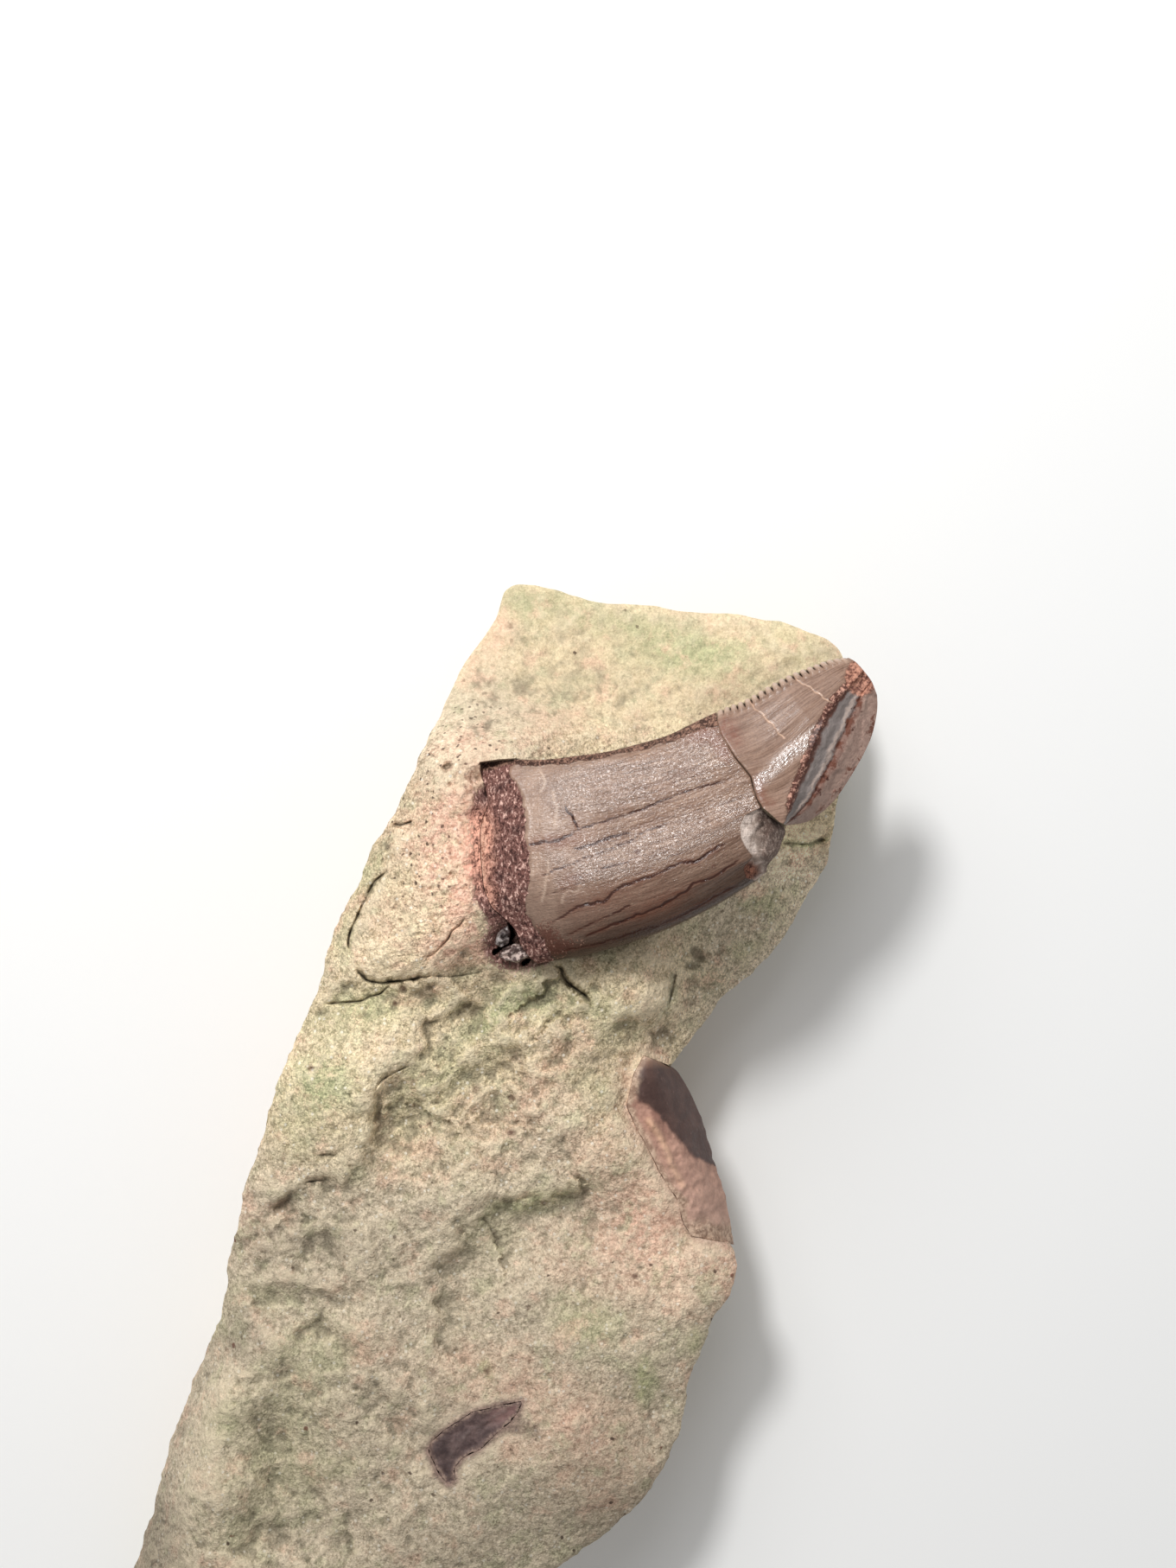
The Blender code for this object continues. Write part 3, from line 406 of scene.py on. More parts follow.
def facets(p, seed):
    """A broken surface of flat triangles about one unit across that meet in creases. -1 to 1."""
    rng = np.random.default_rng(seed)
    order = rng.permutation(256)
    level = rng.uniform(-1, 1, 256)
    q = p + 0.366 * p.sum(1, keepdims=True)
    base = np.floor(q).astype(int)
    f = q - base

    def at(i, j):
        return level[order[(order[(base[:, 0] + i) & 255] + base[:, 1] + j) & 255]]

    high, low = f.max(1), f.min(1)
    return at(0, 0) * (1 - high) + np.where(f[:, 0] > f[:, 1], at(1, 0), at(0, 1)) * (high - low) + at(1, 1) * low


def tidy(obj):
    """Drops loose points and closes pin-holes."""
    shape = bmesh.new()
    shape.from_mesh(obj.data)
    bmesh.ops.delete(shape, geom=[p for p in shape.verts if not p.link_faces], context="VERTS")
    bmesh.ops.holes_fill(shape, edges=[e for e in shape.edges if e.is_boundary], sides=0)
    shape.to_mesh(obj.data)
    shape.free()
    return obj


def new_mesh(name, points, faces, attributes=None, smooth=True):
    """An object of these points (millimetres), its origin at the world's, with its faces pointing out."""
    points = np.asarray(points, float)
    volume = 0.0
    for ring in (3, 4):
        f = np.array([x for x in faces if len(x) == ring])
        for a, b, c in ((0, 1, 2), (0, 2, 3))[: ring - 2] if len(f) else ():
            volume += (points[f[:, a]] * np.cross(points[f[:, b]], points[f[:, c]])).sum()
    if volume < 0:
        faces = [list(x)[::-1] for x in faces]
    mesh = bpy.data.meshes.new(name)
    mesh.from_pydata((points * MM).tolist(), [], faces)
    mesh.update()
    for key, values in (attributes or {}).items():
        layer = mesh.attributes.new(key, "FLOAT", "POINT")
        layer.data.foreach_set("value", np.asarray(values, np.float32))
    if smooth:
        mesh.shade_smooth()
    obj = bpy.data.objects.new(name, mesh)
    scene.collection.objects.link(obj)
    return obj


def loft(top, under, caps):
    """One closed skin from two sheets that share their two long edges and rows that close each end. The
    sheets are (n, m, channels), the first three channels x, y, z; the others ride along."""
    n, m, _ = top.shape
    points = [top.reshape(n * m, -1)]
    count = n * m
    upper = np.arange(count).reshape(n, m)

    def added(row):
        nonlocal count
        points.append(row)
        ids = np.arange(count, count + len(row))
        count += len(row)
        return ids

    lower = upper.copy()
    lower[:, 1:-1] = added(under[:, 1:-1].reshape(n * (m - 2), -1)).reshape(n, m - 2)
    sheets = [upper, lower[:, ::-1]]
    for i, cap, turn in ((0, caps[0], False), (n - 1, caps[1], True)):
        rows = [upper[i]]
        for row in cap:
            ids = upper[i].copy()
            ids[1:-1] = added(row[1:-1])
            rows.append(ids)
        rows.append(lower[i])
        rows = np.array(rows[::-1])
        sheets.append(rows[:, ::-1] if turn else rows)
    faces = []
    for ids in sheets:
        q = np.stack([ids[:-1, :-1], ids[:-1, 1:], ids[1:, 1:], ids[1:, :-1]], -1).reshape(-1, 4)
        same = np.stack([q[:, k] == q[:, (k + 1) % 4] for k in range(4)], -1)
        faces += q[~same.any(1)].tolist()
        for k in range(4):
            pick = same[:, k] & (same.sum(1) == 1)
            faces += np.delete(q[pick], k, axis=1).tolist()
    return np.concatenate(points), faces


def spot(u, v, cu, cv, ru, rv, turn=0.0):
    """1 in the middle of an oval, falling off softly to 0 outside it."""
    c, s = math.cos(math.radians(turn)), math.sin(math.radians(turn))
    a = ((u - cu) * c + (v - cv) * s) / ru
    b = (-(u - cu) * s + (v - cv) * c) / rv
    return np.exp(-((a * a + b * b) ** 1.5))


def nearest_height(samples, u, v):
    """For each plan point, the height of the nearest of the samples (u, v, z) and the distance to it."""
    tree = kdtree.KDTree(len(samples))
    for i, (a, b, _) in enumerate(samples):
        tree.insert((a, b, 0), i)
    tree.balance()
    z, d = np.empty(len(u)), np.empty(len(u))
    for i, (a, b) in enumerate(zip(u, v)):
        _, k, d[i] = tree.find((a, b, 0))
        z[i] = samples[k, 2]
    return z, d


scene = bpy.context.scene

# ---------------------------------------------------------------- the tooth
# Heights across the tooth, rear edge to front, as a share of its half thickness: steep at the rear edge, a
# low swell behind it, a shallow trough, the high ridge past the middle, then round the front.
SECTION = (
    (0.0, 0.0), (0.012, 0.15), (0.03, 0.25), (0.05, 0.32), (0.08, 0.385), (0.25, 0.63), (0.3, 0.665), (0.42, 0.71),
    (0.46, 0.745), (0.6, 0.94), (0.65, 0.98), (0.7, 0.985), (0.77, 0.94), (0.84, 0.835), (0.9, 0.69), (0.95, 0.50),
    (0.98, 0.33), (0.993, 0.19), (1.0, 0.0),
)

# Cracks: (line, depth in millimetres, half width in plan units, how brown the crack is)
CROWN_CRACKS = [
    ([(650, 962), (668, 960), (690, 953), (719, 944), (742, 937), (763, 928), (790, 917), (814, 909), (834, 905), (854, 898)], 0.050, 0.93, 0.7),
    ([(610, 978), (628, 974), (645, 973), (656, 967), (668, 963)], 0.050, 1.12, 1.0),
    ([(661, 982), (672, 981), (693, 974), (706, 969), (719, 965), (734, 962)], 0.050, 1.05, 0.9),
    ([(614, 1017), (632, 1011), (645, 1005), (660, 1001), (677, 992), (694, 987), (712, 979), (728, 974), (744, 963), (766, 955), (790, 944)], 0.045, 0.87, 0.6),
    ([(655, 1020), (668, 1017), (690, 1008), (712, 1001), (722, 999), (731, 995), (748, 986)], 0.035, 0.81, 0.5),
    ([(630, 1072), (636, 1068), (652, 1060), (668, 1049), (684, 1046), (691, 1043), (699, 1044), (709, 1032), (722, 1024), (734, 1021), (748, 1015), (763, 1011), (776, 1003), (789, 998), (805, 997), (816, 990), (827, 982), (840, 975), (854, 969)], 0.070, 1.05, 1.0),
    ([(706, 1059), (718, 1053), (731, 1046)], 0.040, 0.93, 0.9),
    ([(700, 1071), (712, 1067), (725, 1065), (735, 1058), (744, 1057), (763, 1049), (780, 1039), (795, 1030), (803, 1021), (812, 1020), (827, 1014), (845, 1002), (863, 990)], 0.060, 0.99, 1.0),
    ([(674, 1084), (690, 1078), (706, 1071), (720, 1066), (731, 1062)], 0.040, 0.93, 0.8),
    ([(744, 1078), (763, 1070), (782, 1062), (805, 1050), (827, 1037), (843, 1029), (856, 1021)], 0.050, 0.99, 0.7),
    ([(636, 1103), (660, 1098), (693, 1091), (718, 1084), (744, 1075), (764, 1070)], 0.050, 0.93, 0.7),
    ([(653, 931), (656, 938), (661, 943), (666, 952), (670, 960)], 0.070, 0.81, 1.2),
    ([(795, 996), (806, 997), (814, 992), (824, 984)], 0.050, 0.99, 1.0),
    ([(718, 963), (742, 955), (770, 942), (792, 934), (810, 927)], 0.030, 0.81, 0.3),
    ([(700, 940), (725, 930), (752, 919), (782, 905), (812, 896), (838, 889)], 0.030, 0.87, 0.3),
    ([(705, 926), (730, 916), (760, 906), (790, 895), (820, 884)], 0.030, 0.87, 0.3),
    ([(612, 1040), (640, 1033), (665, 1024), (690, 1017)], 0.030, 0.87, 0.4),
    ([(650, 1085), (670, 1075), (690, 1066), (712, 1056)], 0.035, 0.87, 0.5),
]
PALE_LINES = [
    ([(626, 893), (631, 903), (629, 911), (625, 916)], 1.1, 1.0),
    ([(634, 994), (635, 1003), (632, 1016), (630, 1032), (627, 1043)], 1.0, 1.0),
    ([(640, 915), (641, 925), (645, 934), (643, 946), (642, 955)], 1.6, 0.8),
    ([(612, 1003), (617, 1010), (613, 1013)], 1.2, 0.7),
    ([(650, 1045), (652, 1036), (658, 1030), (668, 1032), (671, 1024)], 1.0, 0.8),
    ([(640, 960), (648, 953), (655, 950)], 1.2, 0.5),
    ([(708, 975), (718, 985), (724, 992)], 1.2, 0.5),
    ([(664, 993), (661, 1000), (668, 1004)], 1.0, 0.5),
]
ENAMEL_BASE = [
    (598, 879), (593, 884), (590, 893), (597, 908), (605, 925), (609, 947), (607, 970), (612, 982), (612, 1011),
    (609, 1033), (609, 1055), (616, 1068), (628, 1084), (634, 1098), (640, 1111),
]
BREAK_FOOT = [(881, 935), (890, 944), (900, 951), (908, 957), (909, 964), (905, 973), (902, 983), (899, 989), (893, 995), (888, 1002), (887, 1009), (881, 1013), (875, 1018)]
BREAK_LINE = [(829, 824), (830, 836), (835, 851), (842, 862), (851, 877), (862, 890), (869, 899), (872, 912), (876, 925), (881, 934)]


def section(w):
    """Height share across the tooth, smooth through the table above."""
    grid = np.linspace(0, 1, 801)
    raw = profile(SECTION, grid)
    k = np.exp(-0.5 * (np.arange(-12, 13) / 5.0) ** 2)
    soft = np.convolve(np.pad(raw, 12, mode="edge"), k / k.sum(), "valid")
    free = np.clip(np.minimum(grid, 1 - grid) / 0.04, 0, 1)
    return np.interp(w, grid, raw * (1 - free) + soft * free)


def near_lines(lines, u, v, fade=0.12):
    """How deep in any of the lines each point is: the sum of depth and of colour strength."""
    depth, colour, tinge = np.zeros(np.shape(u)), np.zeros(np.shape(u)), np.zeros(np.shape(u))
    wu, wv = u + 1.2 * noise(u, v, 9, 9, 61), v + 1.2 * noise(u, v, 9, 9, 62)
    for line, deep, half, strength in lines:
        d, part, _, _ = to_line(line, wu, wv)
        ends = np.clip(part / fade, 0, 1) * np.clip((1 - part) / fade, 0, 1)
        broken = 0.85 + 0.5 * noise(u, v, 14, 14, 63)
        g = np.exp(-((d / half) ** 2)) * np.clip(ends * 1.5, 0, 1) * np.clip(broken, 0.1, 1.2)
        depth = depth + deep * g
        colour = np.maximum(colour, strength * np.exp(-((d / (half * 1.25)) ** 2)) * ends * np.clip(broken, 0, 1.2))
        tinge = np.maximum(tinge, strength * np.exp(-((d / (half * 4.5)) ** 2)) * ends)
    return depth, colour, tinge * np.clip(0.5 + 1.2 * noise(u, v, 22, 10, 64), 0, 1)


def even(n, push=0.5):
    """Rows that crowd a little towards both edges."""
    t = np.linspace(0, 1, n)
    return push * (0.5 - 0.5 * np.cos(np.pi * t)) + (1 - push) * t


def crown_mid(s):
    return profile(CROWN_MID, s)


def make_crown_sheets(n, m):
    s, w = np.linspace(0, 1, n), even(m, 0.55)
    distal = smooth_line(CROWN_DISTAL[:-1] + [(829, 824)], 14)
    mesial = smooth_line(CROWN_MESIAL, 14)
    root = smooth_line(ROOT_END, 3)
    top_end = smooth_line(BREAK_LINE + BREAK_TOP[6:], 1.2)
    low_end = smooth_line(BREAK_LINE[:-2] + BREAK_UNDER[4:], 3)
    over, ss, ww = patch(distal, mesial, root, top_end, s, w)
    below, _, _ = patch(distal, mesial, root, low_end, s, w)
    return over, below, ss, ww, w, root, top_end


def crown_top(u, v, s, w):
    """Height of the crown's upper side and what its surface shows there."""
    half = profile(CROWN_HALF, s)
    grown = np.clip((s - 0.12) / 0.4, 0, 1)
    plain = lens(w)
    z = crown_mid(s) + half * (plain * (1 - grown) * 0.97 + section(w) * grown)
    # flat lengthwise facets and gentle waves
    z = z + 0.010 * np.sin(w * 61 + 3.5 * s + 2.5 * noise(s * 100, w * 100, 40, 12, 31)) * np.clip((w - 0.05) / 0.1, 0, 1) * np.clip((0.97 - w) / 0.1, 0, 1)
    z = z + 0.03 * noise(s * 100, w * 100, 60, 11, 32) * np.clip(w / 0.08, 0, 1) * np.clip((1 - w) / 0.1, 0, 1)
    cracks, brown, tinge = near_lines(CROWN_CRACKS, u, v)
    z = z - cracks
    # the root band is lower than the enamel and granular
    d, _, _, _ = to_line(ENAMEL_BASE, u + 3.0 * noise(u, v, 11, 11, 33) + 1.8 * noise(u, v, 5, 5, 30), v + 3.0 * noise(u, v, 11, 11, 34))
    root = 1 / (1 + np.exp(-d / 1.0))  # the band lies on the right hand of the line, which runs down
    edge = np.clip(np.minimum(w, 1 - w) / 0.04, 0.15, 1)
    grain = 0.5 * layered(u, v, 7, 35, 3, 0.65) + 0.5 * np.abs(noise(u, v, 4.2, 4.2, 36))
    z = z - root * (0.14 - 0.12 * grain * edge)
    rim = np.exp(-(((d + 2.2) / 2.2) ** 2))
    z = z + 0.03 * rim * edge
    # dark residue along the rear edge
    along, part, _, _ = to_line(CROWN_DISTAL, u, v)
    reach = 6.5 + 3.0 * noise(u, v, 18, 18, 37) + 6.5 * np.exp(-(((part - 0.97) / 0.09) ** 2)) + 5 * np.exp(-(((part - 0.02) / 0.06) ** 2))
    crust = 1 / (1 + np.exp((np.abs(along) - reach) / 0.9))
    z = z + crust * edge * (0.05 + 0.10 * layered(u, v, 5, 38, 2, 0.6))
    return z, root, brown, crust, tinge


def make_crown():
    n, m = 224, 140
    over, below, ss, ww, w, root_line, top_end = make_crown_sheets(n, m)
    u, v = over[..., 0], over[..., 1]
    z, root, brown, crust, tinge = crown_top(u, v, ss, ww)
    half = profile(CROWN_HALF, ss)
    # the rim at the break is chipped, and dips into the joint where the tip meets it
    joint, _, _, _ = to_line(BREAK_LINE, u, v)
    tight = np.interp(v, [824, 850, 872, 886, 906, 914, 934], [0.25, 0.35, 0.7, 1.0, 1.0, 0.6, 0.8]) * (v < 937)
    z = z - 0.10 * np.exp(-np.abs(joint) / 0.8) * tight - 0.05 * np.exp(-np.abs(joint) / 3) * np.abs(noise(u, v, 5, 5, 41))
    under = crown_mid(ss) - half * lens(ww) + 0.05 * noise(ss * 100, ww * 100, 12, 8, 42) * np.clip(np.minimum(ww, 1 - ww) / 0.1, 0, 1)
    bu, bv = below[..., 0], below[..., 1]

    names = ("root", "brown", "crust", "brk", "low", "joint", "tinge")

    def rows(u, v, z, s, w, **marks):
        cols = [place(u, v, z)] + [np.broadcast_to(c, np.shape(u))[..., None] for c in (u, v, s, w)]
        cols += [np.broadcast_to(marks.get(k, 0.0), np.shape(u))[..., None] for k in names]
        return np.concatenate(cols, -1)

    top = rows(u, v, z, ss, ww, root=root, brown=brown, crust=crust, tinge=tinge, joint=np.exp(-np.abs(joint) / 1.0) * tight)
    low = rows(bu, bv, under, ss, ww, low=1.0, root=np.clip((0.16 - ss) / 0.03, 0, 1))
    low[:, 0], low[:, -1] = top[:, 0], top[:, -1]

    # the broken end: from the rim of the upper side down to the lower rim, then back under
    rim_line = smooth_line(BREAK_LINE + BREAK_FOOT, 1.0)
    rim = curve_at(rim_line, w)
    wide = np.hypot(*(rim - curve_at(top_end, w)).T) * UNIT
    caps = []
    steps = 30
    for k in range(1, steps + 1):
        t = k / steps
        a = curve_at(top_end, w) * (1 - t) + rim * t
        bulge = np.clip(wide / 1.2, 0, 1)
        zz = z[-1] - wide * (0.16 * t + 0.62 * t**3) - 0.16 * bulge * (1 - math.exp(-9 * t)) - 0.12 * t
        chips = flakes(np.stack([a[:, 0] / 13, a[:, 1] / 17], -1), 43, 22, 1.0, 0.6)
        coarse = flakes(np.stack([a[:, 0] / 5.5, a[:, 1] / 5.5], -1), 44, 14, 0.9, 0.8)
        zz = zz + bulge * np.sin(np.pi * min(t, 0.9)) ** 0.5 * (0.20 * chips + 0.10 * coarse * (0.35 + 0.65 * t))
        near = np.exp(-np.abs(to_line(BREAK_LINE, a[:, 0], a[:, 1])[0]) / 2) * (a[:, 1] < 940)
        caps.append(rows(a[:, 0], a[:, 1], zz, 1.0, w, brk=1.0, joint=near))
    rim_z = zz
    last = below[-1]
    for k in range(1, 9):
        t = k / 9
        a = rim * (1 - t) + last * t
        zz = rim_z * (1 - t) + under[-1] * t
        caps.append(rows(a[:, 0], a[:, 1], zz, 1.0, w, brk=1.0, low=t, joint=np.exp(-np.abs(to_line(BREAK_LINE, a[:, 0], a[:, 1])[0]) / 2) * (a[:, 1] < 940)))
    ends = []
    for k in range(1, 7):
        t = k / 7
        ends.append(rows(u[0], v[0], z[0] * (1 - t) + under[0] * t, 0.0, w, root=1.0))
    points, faces = loft(top, low, (ends, caps))
    marks = {k: points[:, 7 + i] for i, k in enumerate(names)}
    pu, pv = points[:, 3], points[:, 4]
    pale = np.zeros(len(points))
    for line, half_width, strength in PALE_LINES:
        d, part, _, _ = to_line(line, pu + noise(pu, pv, 6, 6, 45), pv + noise(pu, pv, 6, 6, 46))
        pale = np.maximum(pale, strength * np.exp(-((d / half_width) ** 2)))
    upper = 1 - marks["low"]
    marks["pale"] = pale * upper
    # lighter, matt enamel near the base; darker down the front side, partly a dark stain and partly painted shade
    marks["base"] = np.clip(1.25 * np.exp(-(((points[:, 5] - 0.12) / 0.30) ** 2)) - 0.15, 0, 1)
    marks["front_stain_and_shade"] = np.interp(points[:, 6], [0.55, 0.66, 0.80, 0.90, 0.97, 1], [0, 0.22, 0.40, 0.70, 1, 1])
    bands = np.maximum(np.exp(-(((points[:, 6] - 0.17) / 0.13) ** 4)), np.exp(-(((points[:, 6] - 0.53) / 0.13) ** 4)))
    marks["foil"] = np.clip((0.35 + 0.65 * bands) * (0.8 + 0.5 * noise(pu, pv, 40, 20, 49)) * np.clip((points[:, 5] - 0.08) / 0.25, 0.25, 1), 0, 1)
    marks["crumbled"] = np.clip(0.60 * spot(pu, pv, 636, 1094, 36, 26, -25) + 0.38 * spot(pu, pv, 625, 1060, 22, 40, 10) + 0.34 * spot(pu, pv, 690, 1090, 60, 12, -12), 0, 1) * upper
    marks["w"] = points[:, 6]
    marks["s"] = points[:, 5]
    marks["stain"] = np.clip(
        0.95 * spot(pu, pv, 815, 848, 27, 13, -8) + 0.9 * spot(pu, pv, 836, 868, 9, 16, -35) + 0.5 * spot(pu, pv, 660, 1020, 16, 10, -35)
        + 0.5 * spot(pu, pv, 664, 972, 26, 9, -12) + 0.5 * spot(pu, pv, 764, 1046, 40, 14, -25)
        + 0.5 * spot(pu, pv, 630, 975, 26, 10, -8) + 0.3 * spot(pu, pv, 700, 1040, 60, 20, -20)
        + 0.4 * spot(pu, pv, 585, 893, 16, 12, 30), 0, 1) * upper
    marks["fade"] = np.clip((566 - pu + 6 * noise(pu, pv, 22, 22, 50)) / 14, 0, 1) * np.clip((pv - 905) / 20, 0, 1) * np.clip((1085 - pv) / 25, 0, 1)
    marks["rim"] = np.clip((pu - 876 - 0.12 * (pv - 975)) / 8 + 0.5 * noise(pu, pv, 8, 8, 48), 0, 1)
    marks["pit"] = np.clip(spot(pu, pv, 866, 1008, 13, 12, -10) * 1.3, 0, 1)
    marks["rust"] = np.clip((578 - pu + 8 * noise(pu, pv, 25, 25, 47)) / 16, 0, 1) * np.clip((pv - 915) / 35, 0, 1) * np.clip((1075 - pv) / 30, 0, 1)
    samples = np.stack([bu.ravel(), bv.ravel(), under.ravel()], -1)
    rim = np.stack([u[0], v[0], z[0]], -1)
    obj = new_mesh("tooth_crown", points[:, :3], faces, marks)
    obj.data.set_sharp_from_angle(angle=math.radians(50))
    return obj, samples, rim


# The tip: the spall along its front side, in bands from the ridge outwards
TIP_CRACKS = [
    ([(866, 809), (871, 816), (875, 821), (883, 827), (887, 833), (895, 838), (900, 846), (908, 854)], 0.02, 0.75, 0.0),
    ([(914, 780), (921, 786), (926, 790), (934, 793), (941, 799), (949, 803), (954, 808), (963, 813)], 0.02, 0.75, 0.0),
]


def denticle(t, pitch):
    """Rounded teeth with sharp notches between them, 0 in a notch and 1 on a crest."""
    x = 2 * (t / pitch - np.floor(t / pitch)) - 1
    return np.clip(1 - np.abs(x) ** 2.2, 0, 1) ** 0.6


def make_tip():
    n, m = 210, 112
    s, w = np.linspace(0, 1, n), even(m, 0.5)
    joint = [(829.3, 823.9), (830.3, 836), (835.3, 850.9), (842.2, 861.8), (851.3, 876.8), (862.3, 889.8), (869.3, 898.9), (872.3, 911.9), (876.4, 924.8), (882.0, 933.6), (892, 942), (902, 951), (910, 955)]
    distal = smooth_line([(829.3, 823.9), (838, 819.5)] + TIP_DISTAL[1:], 7, 900)
    mesial = smooth_line([(910, 955), (923, 953), (934, 952), (945, 944), (953, 939), (964, 928), (974, 915), (986, 896), (999, 874), (1009, 852), (1013, 836), (1016, 818), (1015, 804)], 6)
    length = np.hypot(*np.diff(distal, axis=0).T).sum()
    # the serrated rear edge
    t = np.linspace(0, 1, len(distal)) * length
    strong = profile(((0, 0.25), (0.03, 0.6), (0.18, 0.95), (0.62, 1.0), (0.75, 0.75), (0.9, 0.5), (1, 0.1)), t / length)
    bump = denticle(t + 1.5 * np.sin(t / 23), 8.7)
    way = np.gradient(distal, axis=0)
    way /= np.linalg.norm(way, axis=1)[:, None]
    out = np.stack([way[:, 1], -way[:, 0]], -1)
    p, ss, ww = patch(distal, mesial, smooth_line(joint, 1.5), smooth_line(TIP_END, 3), s, w)
    near = np.hypot(*np.moveaxis(p - p[:, :1], -1, 0))
    teeth = np.stack([np.interp(s, t / length, out[:, i] * (bump - 0.72) * 5.6 * strong) for i in (0, 1)], -1)
    p = p + teeth[:, None] * np.exp(-near / 4.0)[..., None]
    u, v = p[..., 0], p[..., 1]
    middle, half = profile(TIP_MID, ss), profile(TIP_HALF, ss)
    wobble = 1.6 * noise(u, v, 16, 16, 51) + 0.8 * noise(u, v, 6, 6, 52)
    across, _, _, _ = to_line(SPALL, u, v)
    past = np.maximum(-across + wobble, 0)
    left = np.abs(to_line(mesial[::12], u, v)[0])
    gone = np.where(ww > 0.999, 1.0, past / (past + left + 1e-6))
    gone = np.where(across - wobble > 0, 0.0, gone)
    keep = 1 - gone
    shape = 0.3 * lens(0.74 * ww) + 0.7 * section(0.74 * ww) * 1.02
    z = middle + half * shape * keep
    # a low crest runs lengthwise from the joint to the ridge where the enamel ends
    crest, _, _, _ = to_line([(873, 921), (889, 909), (920, 880), (945, 859), (956, 850)], u, v)
    shine, _, _, _ = to_line([(866, 915), (884, 901), (915, 872), (940, 852), (952, 842)], u, v)
    away = np.clip(np.abs(to_line(joint, u, v)[0]) / 8, 0, 1)
    z = z + 0.10 * np.exp(-((crest / 13) ** 2)) * keep * away
    # steps across the spalled face: a sharp drop at the ridge, then the band and the outer lip
    inner = np.clip(past / 4, 0, 1)
    z = z - 0.22 * inner * keep - 0.10 * np.exp(-(((gone - 0.30) / 0.07) ** 2)) + 0.10 * np.exp(-(((gone - 0.62) / 0.10) ** 2))
    z = z - 0.10 * np.exp(-(((gone - 0.48) / 0.03) ** 2))
    z = z + 0.09 * np.clip(past / 6, 0, 1) * flakes(np.stack([u.ravel() / 11, v.ravel() / 19], -1), 53, 10, 1.0, 0.8).reshape(u.shape) * np.clip(left / 6, 0, 1)
    # rough, worn apex
    apex = np.clip(1.3 * spot(u, v, 998, 783, 20, 22, 20), 0, 1)
    z = z + apex * (0.10 * layered(u, v, 6, 54, 2, 0.6) - 0.08) * np.clip(ww / 0.05, 0, 1)
    # the denticles run a little way in from the edge
    tt = ss * length
    notch = 1 - denticle(tt + 1.5 * np.sin(tt / 23), 8.7)
    power = profile(((0, 0.3), (0.05, 0.7), (0.18, 1.0), (0.62, 1.0), (0.75, 0.8), (0.9, 0.5), (1, 0.1)), ss)
    groove = notch * np.exp(-((near / 6.5) ** 3)) * power
    z = z - 0.42 * groove * np.clip(ww / 0.015, 0, 1)
    z = z + 0.13 * np.exp(-(((near - 4.5) / 3.6) ** 2)) * power * (1 - notch) * np.clip(ww / 0.015, 0, 1)
    # waves and cracks
    free = np.clip(ww / 0.06, 0, 1) * keep
    z = z + 0.010 * np.sin(ww * 44 + 2 * ss + 2.5 * noise(ss * 100, ww * 100, 40, 12, 55)) * free
    z = z + 0.025 * noise(ss * 100, ww * 100, 50, 9, 56) * free
    cracks, _, _ = near_lines(TIP_CRACKS, u, v, 0.05)
    z = z - cracks
    tight = np.interp(v, [824, 850, 872, 886, 906, 914, 934], [0.25, 0.35, 0.7, 1.0, 1.0, 0.6, 0.8])
    z = z - 0.10 * np.exp(-np.abs(to_line(joint[:10], u, v)[0]) / 0.8) * np.clip(ww / 0.02, 0, 1) * tight
    z = np.where(ww > 0.999, middle, z)
    low_z = middle - half * lens(ww) + 0.03 * noise(u, v, 20, 12, 57) * np.clip(np.minimum(ww, 1 - ww) / 0.1, 0, 1)

    def rows(u, v, z, **marks):
        cols = [place(u, v, z)] + [np.broadcast_to(c, np.shape(u))[..., None] for c in (u, v)]
        cols += [np.broadcast_to(marks.get(k, 0.0), np.shape(u))[..., None] for k in names]
        return np.concatenate(cols, -1)

    names = ("s", "w", "gone", "past", "apex", "notch", "low", "brk", "edge", "joint", "ahead", "foil")
    top = rows(u, v, z, s=ss, w=ww, gone=gone, past=past / 20, apex=apex, notch=groove, edge=np.exp(-((near / 6) ** 2)) * (ss < 0.97),
               joint=np.exp(-np.abs(to_line(joint[:10], u, v)[0]) / 1.0) * tight,
               ahead=np.exp(-((np.clip(across - wobble, 0, None) / 7.0) ** 2)) * np.exp(-past / 2.5) * np.clip((950 - v) / 20, 0, 1),
               foil=0.9 * np.exp(-((shine / 9) ** 2)) * (past <= 0))
    low = rows(u, v, low_z, s=ss, w=ww, low=1.0)
    low[:, 0], low[:, -1] = top[:, 0], top[:, -1]
    ends = []
    for i in (0, -1):
        cap = []
        for k in range(1, 7):
            t = k / 7
            cap.append(rows(u[i], v[i], z[i] * (1 - t) + low_z[i] * t, brk=1.0 if i == 0 else 0.0, apex=0.0 if i == 0 else 1.0, joint=1.0 if i == 0 else 0.0, low=t))
        ends.append(cap)
    points, faces = loft(top, low, ends)
    marks = {k: points[:, 5 + i] for i, k in enumerate(names)}
    pu, pv = points[:, 3], points[:, 4]
    pale = np.zeros(len(points))
    for line, _, half_width, _ in TIP_CRACKS:
        d, part, _, _ = to_line(line, pu + 1.6 * noise(pu, pv, 6, 6, 58), pv + 1.6 * noise(pu, pv, 6, 6, 59))
        pale = np.maximum(pale, np.exp(-((d / half_width) ** 2)) * np.clip(0.75 + 0.5 * noise(pu, pv, 8, 8, 60), 0.2, 1))
    marks["pale"] = pale * (1 - marks["low"])
    marks["foil"] = np.clip(marks["foil"] + 0.12 * spot(pu, pv, 850, 845, 26, 22), 0, 1)
    marks["tinge"] = np.clip(0.9 * spot(pu, pv, 843, 848, 14, 22, -30) + 0.8 * spot(pu, pv, 880, 915, 7, 20, -15) + 0.5 * spot(pu, pv, 893, 928, 6, 5), 0, 1) * (1 - marks["low"])
